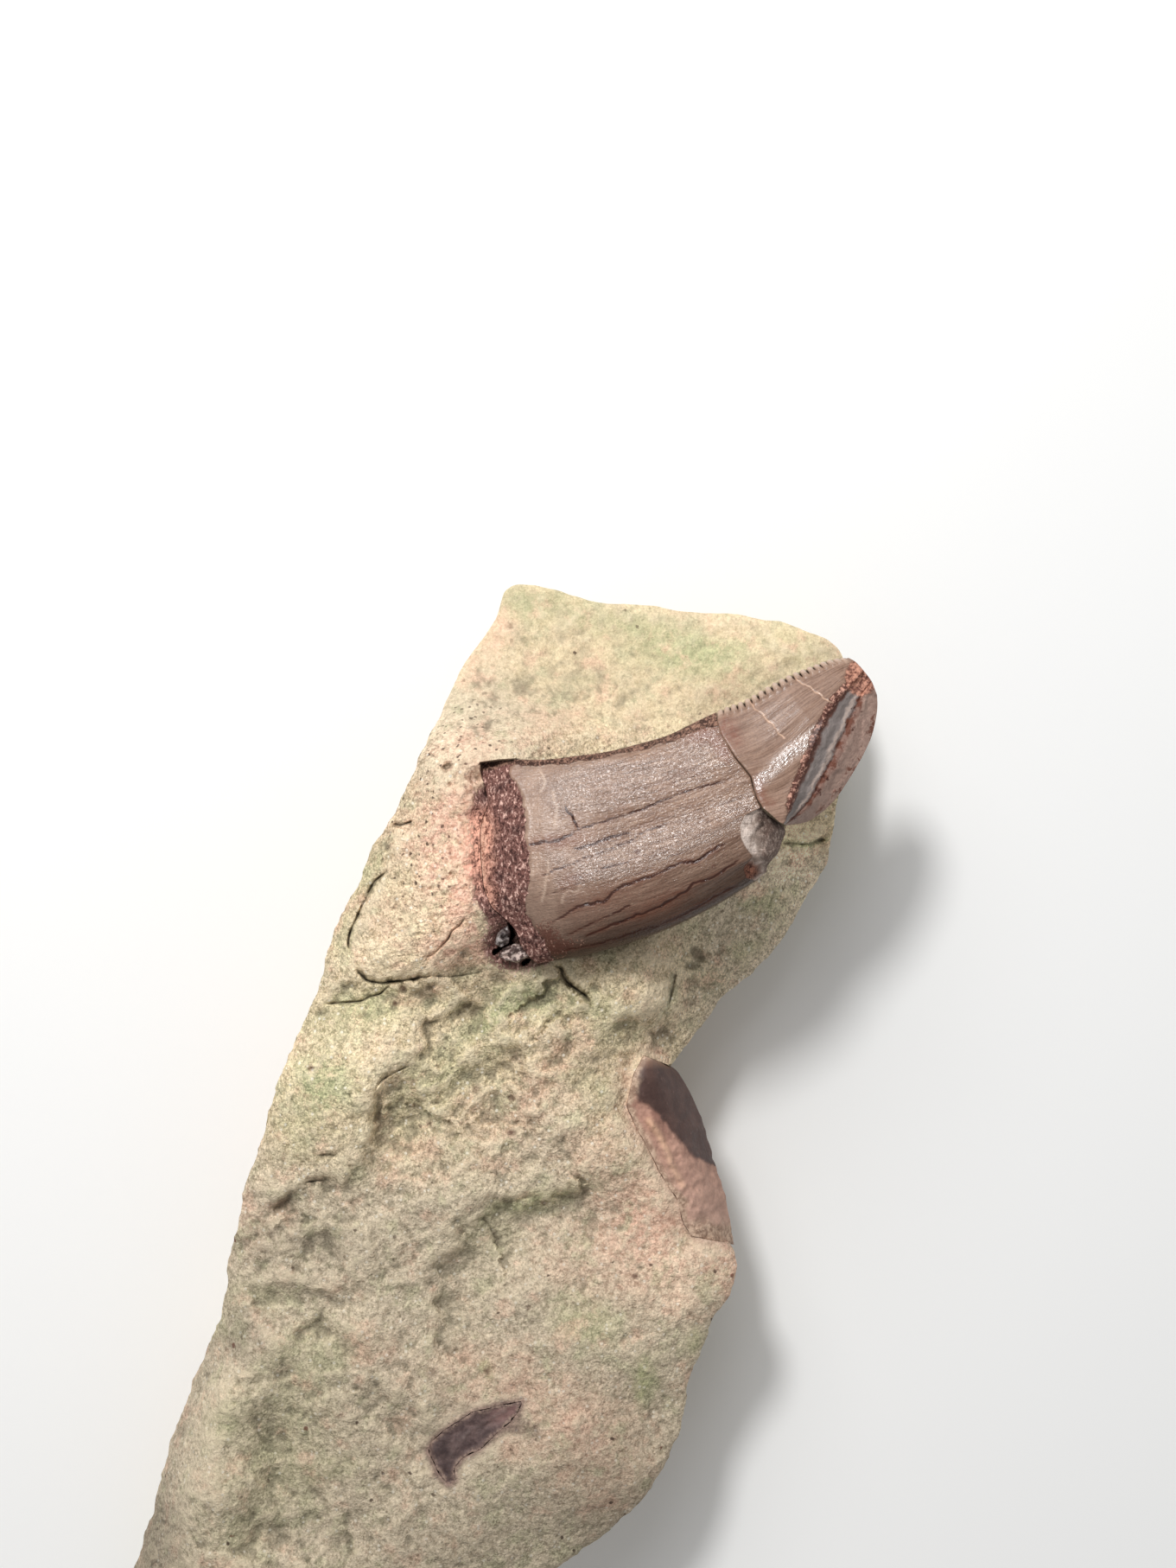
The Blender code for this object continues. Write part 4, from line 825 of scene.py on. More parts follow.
    samples = np.stack([u.ravel(), v.ravel(), low_z.ravel()], -1)
    obj = new_mesh("tooth_tip", points[:, :3], faces, marks)
    obj.data.set_sharp_from_angle(angle=math.radians(50))
    return obj, samples

# ---------------------------------------------------------------- the stone
# Steps of the broken surface: (line, drop in millimetres, +1 where the right hand is higher, half width)
STEPS = [
    ([(476, 1230), (464, 1236), (452, 1241), (441, 1248), (433, 1264), (434, 1278), (434, 1296), (429, 1311),
      (421, 1324), (416, 1337), (409, 1350), (393, 1361), (378, 1365), (357, 1365), (342, 1375), (327, 1387), (304, 1402)], 0.85, 1, 4.0),
    ([(536, 1396), (552, 1386), (570, 1384), (588, 1384), (607, 1385), (626, 1384), (647, 1377), (669, 1368), (690, 1362)], 0.8, -1, 6.0),
    ([(536, 1396), (529, 1410), (522, 1428), (516, 1447), (504, 1470), (492, 1492), (502, 1514), (507, 1532), (503, 1548), (486, 1566)], 0.55, 1, 6.0),
    ([(486, 1566), (470, 1568), (452, 1572), (438, 1588), (420, 1597), (408, 1601), (403, 1620), (396, 1630)], 0.4, 1, 4.5),
    ([(367, 1510), (352, 1532), (340, 1552), (326, 1562), (315, 1578), (303, 1587), (279, 1590), (258, 1600)], 0.6, 1, 4.5),
    ([(370, 1712), (333, 1735), (315, 1744), (293, 1767), (268, 1793)], 0.4, 1, 7.0),
    ([(500, 1700), (485, 1716), (456, 1743), (418, 1782)], 0.35, 1, 9.0),
    ([(415, 1124), (423, 1134), (440, 1136), (457, 1135), (480, 1131), (500, 1129)], 0.55, -1, 2.2),
    ([(640, 1117), (650, 1120), (651, 1128), (657, 1136), (668, 1145), (678, 1152), (684, 1164)], 0.6, -1, 2.5),
    ([(270, 1480), (290, 1478), (308, 1481), (341, 1480), (360, 1487), (380, 1490), (400, 1484), (418, 1479), (447, 1468), (478, 1460)], 0.35, -1, 3.5),
    ([(217, 1751), (232, 1748), (250, 1748), (270, 1743), (290, 1737)], 0.35, -1, 4.0),
    ([(341, 1787), (362, 1781), (380, 1777), (411, 1775)], 0.35, -1, 5.0),
    ([(466, 1609), (450, 1621), (437, 1629), (418, 1640), (399, 1650)], 0.25, 1, 6.0),
    ([(480, 1192), (492, 1187), (504, 1180), (520, 1176), (545, 1164), (561, 1158)], 0.45, -1, 7.0),
    ([(566, 1232), (575, 1222), (590, 1212), (604, 1206)], 0.3, -1, 4.0),
    ([(556, 1330), (578, 1322), (600, 1308), (617, 1294), (640, 1283)], 0.35, -1, 6.0),
    ([(430, 1372), (452, 1362), (470, 1350), (490, 1340), (512, 1326)], 0.25, -1, 5.0),
    ([(560, 1255), (580, 1243), (600, 1234), (622, 1228), (642, 1214)], 0.25, 1, 5.0),
    ([(276, 1440), (300, 1430), (318, 1424), (345, 1430), (372, 1420), (398, 1416)], 0.3, -1, 4.0),
    ([(420, 1312), (442, 1330), (452, 1352)], 0.2, 1, 5.0),
    ([(664, 1168), (690, 1176), (706, 1190), (712, 1204)], 0.25, -1, 4.0),
    ([(690, 1212), (706, 1222), (716, 1238), (712, 1262)], 0.3, 1, 7.0),
    ([(505, 1560), (520, 1552), (548, 1548)], 0.15, 1, 4.0),
    ([(235, 1840), (262, 1822), (300, 1812), (340, 1806)], 0.3, 1, 6.0),
    ([(782, 1118), (778, 1141), (773, 1166), (763, 1183), (754, 1200), (746, 1215), (738, 1229)], 0.35, 1, 3.0),
    ([(903, 976), (915, 975), (930, 977), (945, 974), (960, 970)], 0.45, -1, 2.5),
    ([(472, 952), (458, 954), (451, 973), (447, 991), (441, 1003), (431, 1024), (424, 1036), (413, 1064), (404, 1085), (403, 1097), (409, 1107)], 0.5, -1, 2.5),
    ([(252, 1540), (241, 1580), (222, 1628), (203, 1676), (190, 1722), (178, 1764), (168, 1800), (158, 1840)], 0.7, -1, 5.0),
    ([(564, 1083), (556, 1092), (545, 1101), (530, 1110), (515, 1120)], 0.35, 1, 3.0),
]
# Broad slopes that face down and to the right: (line from its upper right end, drop in millimetres, half width)
SLOPES = [
    ([(580, 1140), (548, 1156), (518, 1178), (492, 1206), (464, 1238), (446, 1266), (438, 1302), (430, 1340), (424, 1380)], 0.60, 14),
    ([(750, 1336), (704, 1364), (640, 1380), (578, 1390), (552, 1412), (522, 1450), (498, 1482), (478, 1510)], 0.55, 12),
    ([(672, 1304), (640, 1316), (602, 1308), (572, 1330), (536, 1352)], 0.28, 9),
    ([(400, 1416), (352, 1438), (312, 1456), (270, 1480)], 0.42, 14),
    ([(505, 1458), (460, 1484), (405, 1496), (330, 1492), (262, 1484)], 0.30, 8),
    ([(374, 1508), (342, 1543), (312, 1564), (286, 1592)], 0.35, 10),
    ([(499, 1486), (505, 1520), (507, 1550), (498, 1580)], 0.30, 8),
    ([(436, 1588), (414, 1604), (400, 1624)], 0.30, 8), ([(478, 1616), (456, 1632), (436, 1650)], 0.25, 9),
    ([(314, 1596), (307, 1640), (312, 1700), (298, 1745)], 0.28, 8), ([(450, 1690), (412, 1740), (376, 1792)], 0.30, 10),
    ([(356, 1366), (334, 1378), (306, 1404), (280, 1420)], 0.35, 8), ([(720, 1560), (700, 1640), (640, 1720), (560, 1790)], 0.7, 46),
    ([(770, 1180), (752, 1196), (742, 1214)], 0.25, 7), ([(730, 1168), (716, 1190), (722, 1214)], 0.22, 7),
    ([(700, 1200), (686, 1226), (690, 1250)], 0.22, 7), ([(660, 1196), (640, 1226), (622, 1240), (600, 1268)], 0.25, 9),
    ([(545, 1222), (528, 1248), (512, 1276), (500, 1310)], 0.22, 10),
]
# Cracks: (line, depth, half width in plan units)
STONE_CRACKS = [
    ([(478, 950), (472, 952), (463, 955), (455, 953)], 0.35, 2.0),
    ([(449, 1004), (447, 1009), (433, 1020), (428, 1030), (423, 1040), (418, 1050), (413, 1062), (408, 1072), (404, 1083), (403, 1092), (404, 1099), (409, 1108)], 0.5, 2.0),
    ([(411, 1118), (417, 1127), (424, 1134), (440, 1137), (457, 1135), (470, 1134), (485, 1131), (500, 1129)], 0.6, 2.2),
    ([(373, 1164), (380, 1161), (398, 1160), (419, 1158), (428, 1153), (440, 1150), (446, 1144), (453, 1140)], 0.3, 1.5),
    ([(539, 1060), (533, 1070), (523, 1077), (519, 1086), (509, 1097), (502, 1104), (492, 1108)], 0.25, 1.5),
    ([(640, 1117), (649, 1120), (651, 1128), (656, 1136), (668, 1145), (677, 1151), (682, 1158), (685, 1166)], 0.8, 2.4),
    ([(432, 1264), (441, 1250), (458, 1240), (475, 1232)], 0.25, 1.6),
    ([(352, 1368), (366, 1366), (380, 1365)], 0.25, 1.8),
    ([(783, 1124), (779, 1141), (774, 1164)], 0.3, 2.0),
    ([(903, 976), (916, 975), (930, 977), (944, 974), (958, 970)], 0.35, 2.6),
    ([(560, 905), (562, 912), (564, 918), (568, 928)], 0.5, 1.8),
    ([(500, 1129), (520, 1130), (540, 1128), (560, 1124)], 0.2, 1.6),
]
# How broken the surface is: (u, v, half width, half height, turn, amount)
BROKEN = [
    (560, 1240, 110, 110, 0, 0.75), (640, 1200, 60, 60, 0, 0.35), (330, 1430, 80, 60, 0, 0.65), (440, 1420, 80, 60, 0, 0.45),
    (320, 1620, 90, 90, 0, 0.35), (300, 1760, 110, 80, 0, 0.35), (700, 1160, 50, 40, 0, 0.35), (450, 1180, 60, 30, 0, 0.1),
    (760, 1130, 40, 50, 0, 0.35), (490, 1620, 90, 60, 0, 0.12), (880, 1040, 60, 70, 0, 0.15), (420, 1760, 80, 60, 0, 0.2),
    (590, 1140, 50, 16, 0, 0.3), (520, 910, 70, 90, 0, 0.22), (480, 1000, 60, 100, 0, 0.15), (560, 790, 40, 60, -60, 0.15), (230, 1880, 90, 60, 0, 0.3),
]
PITS = [
    (377, 1336, 9, 4.5, -25, 0.3), (515, 887, 8, 6, 0, 0.35), (502, 1190, 14, 8, -30, 0.45), (530, 1170, 16, 7, -25, 0.3),
    (408, 1352, 9, 8, 0, 0.3), (590, 1271, 4, 4, 0, 0.15), (803, 1110, 12, 10, 20, 0.35), (734, 1476, 5, 4, 0, 0.15),
    (720, 1410, 22, 20, 0, 0.2), (468, 1143, 5, 5, 0, 0.2), (457, 1161, 4, 5, 0, 0.18), (650, 1180, 14, 8, -30, 0.25),
    (628, 1150, 12, 8, 0, 0.2), (690, 1145, 12, 10, 40, 0.4), (598, 1070, 6, 6, 0, 0.0), (546, 1400, 12, 6, -30, 0.15),
]


BONE_CREST = ((0, 11.5), (0.12, 12.0), (0.5, 12.0), (0.85, 11.8), (1, 11.5))


# The dark gaps round the splinters: (line, half width)
GAPS = [
    ([(589, 1064), (592, 1073), (592, 1084), (588, 1092)], 2.3), ([(588, 1093), (579, 1098), (570, 1103)], 2.0),
    ([(582, 1080), (582, 1088)], 4.0), ([(588, 1102), (600, 1104)], 4.5), ([(604, 1114), (612, 1112)], 1.6),
]


def broken_amount(u, v):
    r = 0.22 + 0.0 * u
    for cu, cv, ru, rv, turn, amount in BROKEN:
        r = r + amount * spot(u, v, cu, cv, ru, rv, turn)
    return np.clip(r, 0.1, 1.15)


def pocks(u, v, size, seed):
    """Round pits, in about a third of the cells of this size: 1 in the middle of one."""
    rng = np.random.default_rng(seed)
    order = rng.permutation(256)
    place_at = rng.uniform(0.2, 0.8, (256, 2))
    wide = np.where(rng.uniform(0, 1, 256) < 0.35, rng.uniform(0.10, 0.20, 256), 1e-3)
    p = np.stack([np.ravel(u), np.ravel(v)], -1) / size
    base = np.floor(p).astype(int)
    k = order[(order[base[:, 0] & 255] + base[:, 1]) & 255]
    d = p - base - place_at[k]
    return np.exp(-((d * d).sum(1) / wide[k] ** 2)).reshape(np.shape(u))


def stone_fine(u, v):
    """The stone's upper surface with all its steps, flakes, pits and cracks."""
    z = stone_surface(u, v)
    chips = np.stack([u.ravel() / 21, v.ravel() / 21], -1)
    small = np.stack([u.ravel() / 8.5, v.ravel() / 8.5], -1)
    wu = u + 7 * noise(u, v, 42, 42, 71) + (9 * flakes(chips, 72, 16) + 3.6 * flakes(small, 73, 14)).reshape(u.shape)
    wv = v + 7 * noise(u, v, 42, 42, 74) + (9 * flakes(chips, 75, 16) + 3.6 * flakes(small, 76, 14)).reshape(u.shape)
    slack = 1 + 0.8 * noise(u, v, 36, 36, 78)
    for line, drop, high, width in STEPS:
        # a crisp upper edge, then down to a foot that rises again slowly
        d, part, _, _ = to_line(line, wu, wv)
        fade = np.clip(part / 0.12, 0, 1) * np.clip((1 - part) / 0.12, 0, 1)
        out = np.logaddexp(0, -d * high / 1.6) * 1.6
        z = z - 0.8 * drop * (1 - np.exp(-out / (2.1 * width * np.clip(slack, 0.4, 2)))) * np.exp(-((out / 75) ** 2)) * fade
    for line, drop, width in SLOPES:
        # a broad slope that faces down and to the right, rising again slowly beyond
        d, part, _, _ = to_line(line, u + 0.5 * (wu - u) + 5 * noise(u, v, 60, 60, 79), v + 0.5 * (wv - v))
        fade = np.clip(part / 0.2, 0, 1) * np.clip((1 - part) / 0.2, 0, 1)
        out = -d
        z = z - drop / (1 + np.exp(-np.clip(out / (0.45 * width), -30, 30))) * np.exp(-((np.clip(out, 0, None) / 80) ** 2)) * fade
    r = broken_amount(u, v)
    body = np.clip((v - 1110) / 60, 0, 1)
    across = (u * 0.87 - v * 0.5) + 14 * noise(u, v, 60, 60, 77) + 4 * noise(u, v, 18, 18, 70)
    along = (u * 0.5 + v * 0.87) + 14 * noise(u, v, 60, 60, 66) + 4 * noise(u, v, 18, 18, 67)

    def broken(du, dv, seed):
        return facets(np.stack([(across / du).ravel(), (along / dv).ravel()], -1), seed).reshape(u.shape)

    def chipped(du, dv, seed):
        return scoops(np.stack([(across / du).ravel(), (along / dv).ravel()], -1), seed, 1.0, 0.8, 1.2).reshape(u.shape)

    z = z + body * (0.75 * noise(u, v, 190, 150, 3) + 0.35 * noise(u, v, 90, 75, 4))
    z = z + (0.15 + 0.85 * body) * (0.35 + 0.65 * r) * 0.50 * broken(88, 56, 80)
    z = z + r * (0.22 * broken(42, 27, 81) + 0.30 * chipped(40, 24, 83)) + (0.30 + 0.70 * r) * (0.10 * broken(20, 14, 82) + 0.09 * chipped(15, 10, 86))
    z = z + (0.45 + 0.55 * r) * (0.085 * broken(9.5, 7.5, 84) + 0.045 * noise(u, v, 5, 5, 85))
    # small open pits in the upper left part
    pitted = np.clip(spot(u, v, 520, 960, 110, 170, 15) * 1.4, 0, 1)
    z = z - 0.16 * pitted * pocks(u, v, 17, 97) - 0.08 * pitted * pocks(u, v, 10, 98)
    for cu, cv, ru, rv, turn, depth in PITS:
        z = z - depth * spot(wu, wv, cu, cv, ru, rv, turn)
    cu_, cv_ = u + 1.3 * noise(u, v, 8, 8, 87), v + 1.3 * noise(u, v, 8, 8, 88)
    crack = np.zeros(np.shape(u))
    for line, depth, half in STONE_CRACKS:
        d, part, _, _ = to_line(line, cu_, cv_)
        ends = np.clip(np.minimum(part, 1 - part) / 0.15, 0, 1) ** 0.7
        g = np.exp(-((d / half) ** 2)) * ends * np.clip(0.85 + 0.5 * noise(u, v, 16, 16, 89), 0.3, 1.2)
        z = z - depth * g
        crack = np.maximum(crack, g)
    # the stone meets the bone in its edge without a step
    d, part, _, _ = to_line(BONE_INNER, u, v)
    share = np.exp(-((d / 11) ** 2)) * np.clip((part + 0.02) / 0.1, 0, 1)
    detail = 0.5 * np.clip(z - stone_surface(u, v), -0.3, 0.3)
    z = z * (1 - share) + (profile(BONE_CREST, part) - 0.1 + detail * np.clip(d / 4, 0, 1) ** 2) * share
    gap = np.zeros(np.shape(u))
    for line, half in GAPS:
        d, part, _, _ = to_line(line, cu_, cv_)
        gap = np.maximum(gap, np.exp(-((d / half) ** 4)) * np.clip(np.minimum(part, 1 - part) / 0.08, 0, 1))
    z = z - 0.5 * np.exp(-(((u - HOLE[0]) / 20) ** 2 + ((v - HOLE[1]) / 17) ** 2) ** 2) - 2.4 * gap
    return z, crack


def rock_edge():
    """The block's outline, evenly spaced and roughened."""
    p = np.array(ROCK, float)
    length = np.hypot(*np.diff(np.concatenate([p, p[:1]]), axis=0).T).sum()
    count = int(length / 4.6)
    ring = curve_at(np.concatenate([p, p[:1]]), np.linspace(0, 1, count, endpoint=False))
    k = np.exp(-0.5 * (np.arange(-6, 7) / 1.6) ** 2)
    k /= k.sum()
    ring = np.stack([np.convolve(np.concatenate([ring[-6:, i], ring[:, i], ring[:6, i]]), k, "valid") for i in (0, 1)], -1)
    ahead = np.roll(ring, -1, axis=0) - np.roll(ring, 1, axis=0)
    ahead /= np.linalg.norm(ahead, axis=1)[:, None]
    inward = np.stack([-ahead[:, 1], ahead[:, 0]], -1)
    u, v = ring[:, 0], ring[:, 1]
    push = 2.2 * noise(u, v, 22, 22, 91) + 1.4 * noise(u, v, 9, 9, 92)
    push = push + 1.6 * flakes(ring / 17, 93, 12, 0.8, 0.8)
    push = push * np.clip((v - 700) / 200, 0.35, 1)
    return ring + inward * (push + 0.6)[:, None], inward


def hexes(spacing, low, high, rng, jitter=0.26):
    rows = np.arange(low[1], high[1], spacing * 0.866)
    cols = np.arange(low[0], high[0], spacing)
    u, v = np.meshgrid(cols, rows)
    u = u + (np.arange(len(rows)) % 2)[:, None] * spacing / 2
    p = np.stack([u.ravel(), v.ravel()], -1)
    return p + rng.uniform(-jitter, jitter, p.shape) * spacing


def joined(points, ring, rng_seed=0):
    """Triangles over scattered points inside a closed ring (its points come first)."""
    n = len(ring)
    every = np.concatenate([ring, points])
    edges = [(i, (i + 1) % n) for i in range(n)]
    verts, _, faces, origins, _, _ = delaunay_2d_cdt([Vector(p) for p in every], edges, [], 1, 1e-5)
    source = np.array([o[0] if o else -1 for o in origins])
    return np.array([tuple(p) for p in verts]), faces, source


def neighbours_mean(values, pairs, count):
    total = np.bincount(pairs[:, 0], values[pairs[:, 1]], count) + np.bincount(pairs[:, 1], values[pairs[:, 0]], count)
    share = np.bincount(pairs.ravel(), minlength=count)
    return total / np.maximum(share, 1)


def make_rock(crown_under, tip_under, root_rim):
    rng = np.random.default_rng(5)
    ring, inward = rock_edge()
    low, high = ring.min(axis=0), ring.max(axis=0)
    fine = hexes(3.42, low, high, rng)
    shelf = hexes(4.4, low, (high[0], 860), rng)
    hidden = hexes(9.0, (560, 830), (1020, 1120), rng)
    end = hexes(5.2, (low[0], 1812), high, rng)

    def on_shelf(p):
        return (p[:, 1] < 820 + 0.15 * (p[:, 0] - 700)) & (inside(TOOTH_OUTLINE, p[:, 0], p[:, 1]) < -14)

    whole = CROWN_DISTAL[:-1] + TIP_DISTAL + TIP_END[1:] + TIP_MESIAL[-2::-1] + BREAK_FOOT[3:-1] + CROWN_MESIAL[::-1] + ROOT_END[-2:0:-1]
    cover = inside(whole, fine[:, 0], fine[:, 1])
    fine = fine[(cover < 2.0) & ~on_shelf(fine) & (fine[:, 1] < 1814)]
    shelf = shelf[on_shelf(shelf)]
    hidden = hidden[inside(whole, hidden[:, 0], hidden[:, 1]) > 7]
    end = end[end[:, 1] > 1816]
    extra = []
    for line, _, half in STONE_CRACKS:
        p = smooth_line(line, 1.5, 200)
        length = np.hypot(*np.diff(p, axis=0).T).sum()
        p = curve_at(p, np.linspace(0, 1, max(int(length / 2.4), 4)))
        way = np.gradient(p, axis=0)
        way /= np.linalg.norm(way, axis=1)[:, None]
        side = np.stack([-way[:, 1], way[:, 0]], -1)
        extra += [p, p + side * 2.2, p - side * 2.2]
    outline = curve_at(np.array(whole + whole[:1], float), np.linspace(0, 1, 420, endpoint=False))
    way = np.roll(outline, -1, axis=0) - np.roll(outline, 1, axis=0)
    way /= np.linalg.norm(way, axis=1)[:, None]
    side = np.stack([-way[:, 1], way[:, 0]], -1)
    if np.mean(inside(whole, *(outline + side).T)) < 0:
        side = -side
    rims = [outline - side * 0.8, outline + side * 1.6, outline + side * 5.0]
    for shape, step in ((SLIVER, 2.2), (BONE_INNER + BONE_OUTER[::-1], 2.6)):
        line = smooth_line(shape + shape[:1], 2.0, 400)[:-1]
        length = np.hypot(*np.diff(line, axis=0).T).sum()
        line = curve_at(line, np.linspace(0, 1, int(length / step), endpoint=False))
        way = np.roll(line, -1, axis=0) - np.roll(line, 1, axis=0)
        way /= np.linalg.norm(way, axis=1)[:, None]
        out = np.stack([-way[:, 1], way[:, 0]], -1)
        if np.mean(inside(shape, *(line + out).T)) > 0:
            out = -out
        rims += [line + out * 0.3, line - out * 2.0]
    extra = np.concatenate(extra)
    rim_points = np.concatenate(rims)
    tree = kdtree.KDTree(len(extra) + len(rim_points))
    for i, (a, b) in enumerate(np.concatenate([extra, rim_points])):
        tree.insert((a, b, 0), i)
    tree.balance()
    base = np.concatenate([fine, shelf, hidden, end])
    clear = np.array([tree.find((a, b, 0))[2] for a, b in base])
    base = base[clear > 1.7]
    crowd = kdtree.KDTree(len(extra))
    for i, (a, b) in enumerate(extra):
        crowd.insert((a, b, 0), i)
    crowd.balance()
    rim_points = rim_points[np.array([crowd.find((a, b, 0))[2] for a, b in rim_points]) > 1.2]
    points = np.concatenate([base, extra, rim_points])
    points = points[inside(ring, points[:, 0], points[:, 1]) > 1.9]
    flat, faces, source = joined(points, ring)
    u, v = flat[:, 0], flat[:, 1]
    z, crack = stone_fine(u, v)
    # worn edge
    edge = np.abs(to_line(ring, u, v, closed=True)[0])
    z = z - 0.22 * np.exp(-edge / 9) - 0.14 * np.exp(-edge / 2.5)
    # the stone is level with the stub of root where it runs into it
    level, d = nearest_height(root_rim, u, v)
    share = np.exp(-((d / 15) ** 2)) * np.clip((v - 886) / 14, 0, 1) * np.clip((1072 - v) / 22, 0, 1)
    z = z * (1 - share) + (level - 0.03 + z - stone_top(u, v)) * share
    # under the tooth, the bone and the sliver the stone keeps below them
    under = inside(whole, u, v) > 0.3
    above, dist = nearest_height(np.concatenate([crown_under[::3], tip_under[::3]]), u[under], v[under])
    z[under] = np.minimum(z[under], above - 0.05)
    return flat, faces, source, z, crack, ring, inward, edge, under

def make_bone():
    n, m = 120, 70
    s, w = np.linspace(0, 1, n), even(m, 0.3)
    ss, ww = np.meshgrid(s, w, indexing="ij")
    a = ww[..., None]
    inner, outer = smooth_line(BONE_INNER, 5), smooth_line(BONE_OUTER, 5)
    p = (1 - a) * curve_at(inner, ss) + a * curve_at(outer, ss)
    ends = np.clip(np.minimum(ss, 1 - ss) / 0.05, 0, 1)
    u, v = p[..., 0], p[..., 1]
    push = (1.4 * noise(u, v, 16, 16, 101) + 0.8 * noise(u, v, 7, 7, 102)) * (ss > 0.3)
    u = u + push * np.minimum(4 * np.abs(ww - 0.5), 1)
    crest = profile(BONE_CREST, ss)
    # the smooth outer bone at the upper end, its boundary running across towards the lower right
    edge_line = [(722, 1226), (732, 1243), (731, 1258), (738, 1274), (751, 1280), (762, 1290), (770, 1300), (777, 1311), (791, 1325), (804, 1339), (824, 1348)]
    d, _, _, _ = to_line(edge_line, u + 2.5 * noise(u, v, 12, 12, 103), v + 2.5 * noise(u, v, 12, 12, 104))
    smooth = 1 / (1 + np.exp(np.clip(d, -40, 40) / 2.6))
    rough = 1 - smooth
    round_ = np.sin(np.pi * np.clip(ww, 0, 1)) ** 0.8
    over = crest + 0.35 * np.sin(np.pi * ww) - 3.6 * ww**2.2
    over = over - 0.18 * rough * np.clip(round_ * 2, 0, 1)
    bumps = layered(u, v, 15, 105, 3, 0.6)
    ridge = np.exp(-((to_line([(751, 1297), (762, 1312), (771, 1330), (779, 1352), (790, 1372)], u, v)[0] / 4) ** 2))
    over = over + rough * np.clip(round_ * 1.5, 0, 1) * (0.16 * bumps + 0.12 * ridge + 0.09 * flakes(np.stack([u.ravel() / 12, v.ravel() / 16], -1), 106, 10).reshape(u.shape))
    over = over + smooth * round_ * 0.02 * noise(u, v, 14, 14, 107)
    under = crest - 3.6 * ww**2.2 - (4.2 * np.sin(np.pi * ww) ** 0.6) * (0.35 + 0.65 * (1 - ww))
    over = np.where((ww < 1e-6) | (ww > 1 - 1e-6), crest - 3.6 * ww**2.2, over)

    def rows(u, v, z, smooth, ridge, low):
        cols = [place(u, v, z)] + [np.broadcast_to(c, np.shape(u))[..., None] for c in (u, v, smooth, ridge, low)]
        return np.concatenate(cols, -1)

    top, low = rows(u, v, over, smooth, ridge, 0.0), rows(u, v, under, smooth, 0.0, 1.0)
    low[:, 0], low[:, -1] = top[:, 0], top[:, -1]
    caps = []
    for i in (0, -1):
        caps.append([rows(u[i], v[i], over[i] * (1 - t) + under[i] * t, smooth[i], 0.0, t) for t in (0.15, 0.35, 0.55, 0.75, 0.9)])
    points, faces = loft(top, low, caps)
    marks = {"smooth": points[:, 5], "ridge": points[:, 6], "low": points[:, 7]}
    inner_edge = np.abs(to_line(BONE_INNER, points[:, 3], points[:, 4])[0])
    ends = np.clip(1 - (1425 - points[:, 4]) / 26, 0, 1)
    marks["border"] = np.maximum(np.exp(-((inner_edge / (9 + 5 * noise(points[:, 3], points[:, 4], 14, 14, 108))) ** 2)), ends) * (1 - points[:, 7])
    marks["upper"] = np.clip(1 - (points[:, 4] - 1225) / 12, 0, 1)
    marks["along"] = np.clip((points[:, 4] - 1290) / 130, 0, 1)
    samples = np.stack([u.ravel(), v.ravel(), under.ravel()], -1)
    return new_mesh("bone_piece", points[:, :3], faces, marks), samples


def make_sliver():
    """The thin piece of bone in the lower face: a ring, an upper sheet and a lower sheet."""
    ring = smooth_line(SLIVER + SLIVER[:1], 2.0, 260)[:-1]
    way = np.roll(ring, -1, axis=0) - np.roll(ring, 1, axis=0)
    way /= np.linalg.norm(way, axis=1)[:, None]
    side = np.stack([-way[:, 1], way[:, 0]], -1)
    ring = ring + side * (2.2 * noise(ring[:, 0], ring[:, 1], 9, 9, 111) + 1.4 * noise(ring[:, 0], ring[:, 1], 4, 4, 112))[:, None]
    rng = np.random.default_rng(6)
    points = hexes(1.9, ring.min(axis=0), ring.max(axis=0), rng)
    points = points[inside(ring, points[:, 0], points[:, 1]) > 1.0]
    flat, faces, source = joined(points, ring)
    u, v = flat[:, 0], flat[:, 1]
    depth = np.clip(inside(ring, u, v), 0, None) * UNIT
    share = np.exp(-depth / 0.3)
    z = stone_fine(u, v)[0] * share + stone_top(u, v) * (1 - share)
    z = z - 0.04 - 0.30 * (1 - np.exp(-depth / 0.5))
    z = z + 0.05 * layered(u, v, 9, 113, 3, 0.6) + 0.05 * flakes(np.stack([u / 12, v / 7], -1), 114, 10)
    stripe = np.exp(-((to_line([(596, 1625), (570, 1640), (545, 1655), (528, 1672), (520, 1690)], u, v)[0] / 3.0) ** 2))
    z = z + 0.07 * stripe
    low = z - 0.35 - 0.75 * (1 - np.exp(-depth / 0.6))
    n = len(flat)
    on_ring = source < len(ring)
    low_index = np.arange(n)
    free = ~on_ring
    low_index[free] = n + np.arange(free.sum())
    xyz = np.concatenate([place(u, v, z), place(u[free], v[free], low[free])])
    faces = [f for f in faces if any(low_index[i] != i for i in f)]
    allfaces = [list(f) for f in faces] + [[low_index[i] for i in f][::-1] for f in faces]
    allfaces = [f for f in allfaces if len(set(f)) == 3]
    marks = {}
    uu, vv = np.r_[u, u[free]], np.r_[v, v[free]]
    marks["pink"] = np.clip(spot(uu, vv, 588, 1632, 22, 12, -25) * 1.2, 0, 1)
    marks["deep"] = np.clip(0.8 * spot(uu, vv, 510, 1672, 14, 16, 0) + 0.8 * spot(uu, vv, 522, 1706, 8, 16, 0), 0, 1)
    marks["glint"] = np.r_[stripe, stripe[free]]
    marks["border"] = np.r_[np.exp(-depth / 0.28), np.exp(-depth[free] / 0.28)]
    return tidy(new_mesh("bone_sliver", xyz, allfaces, marks))


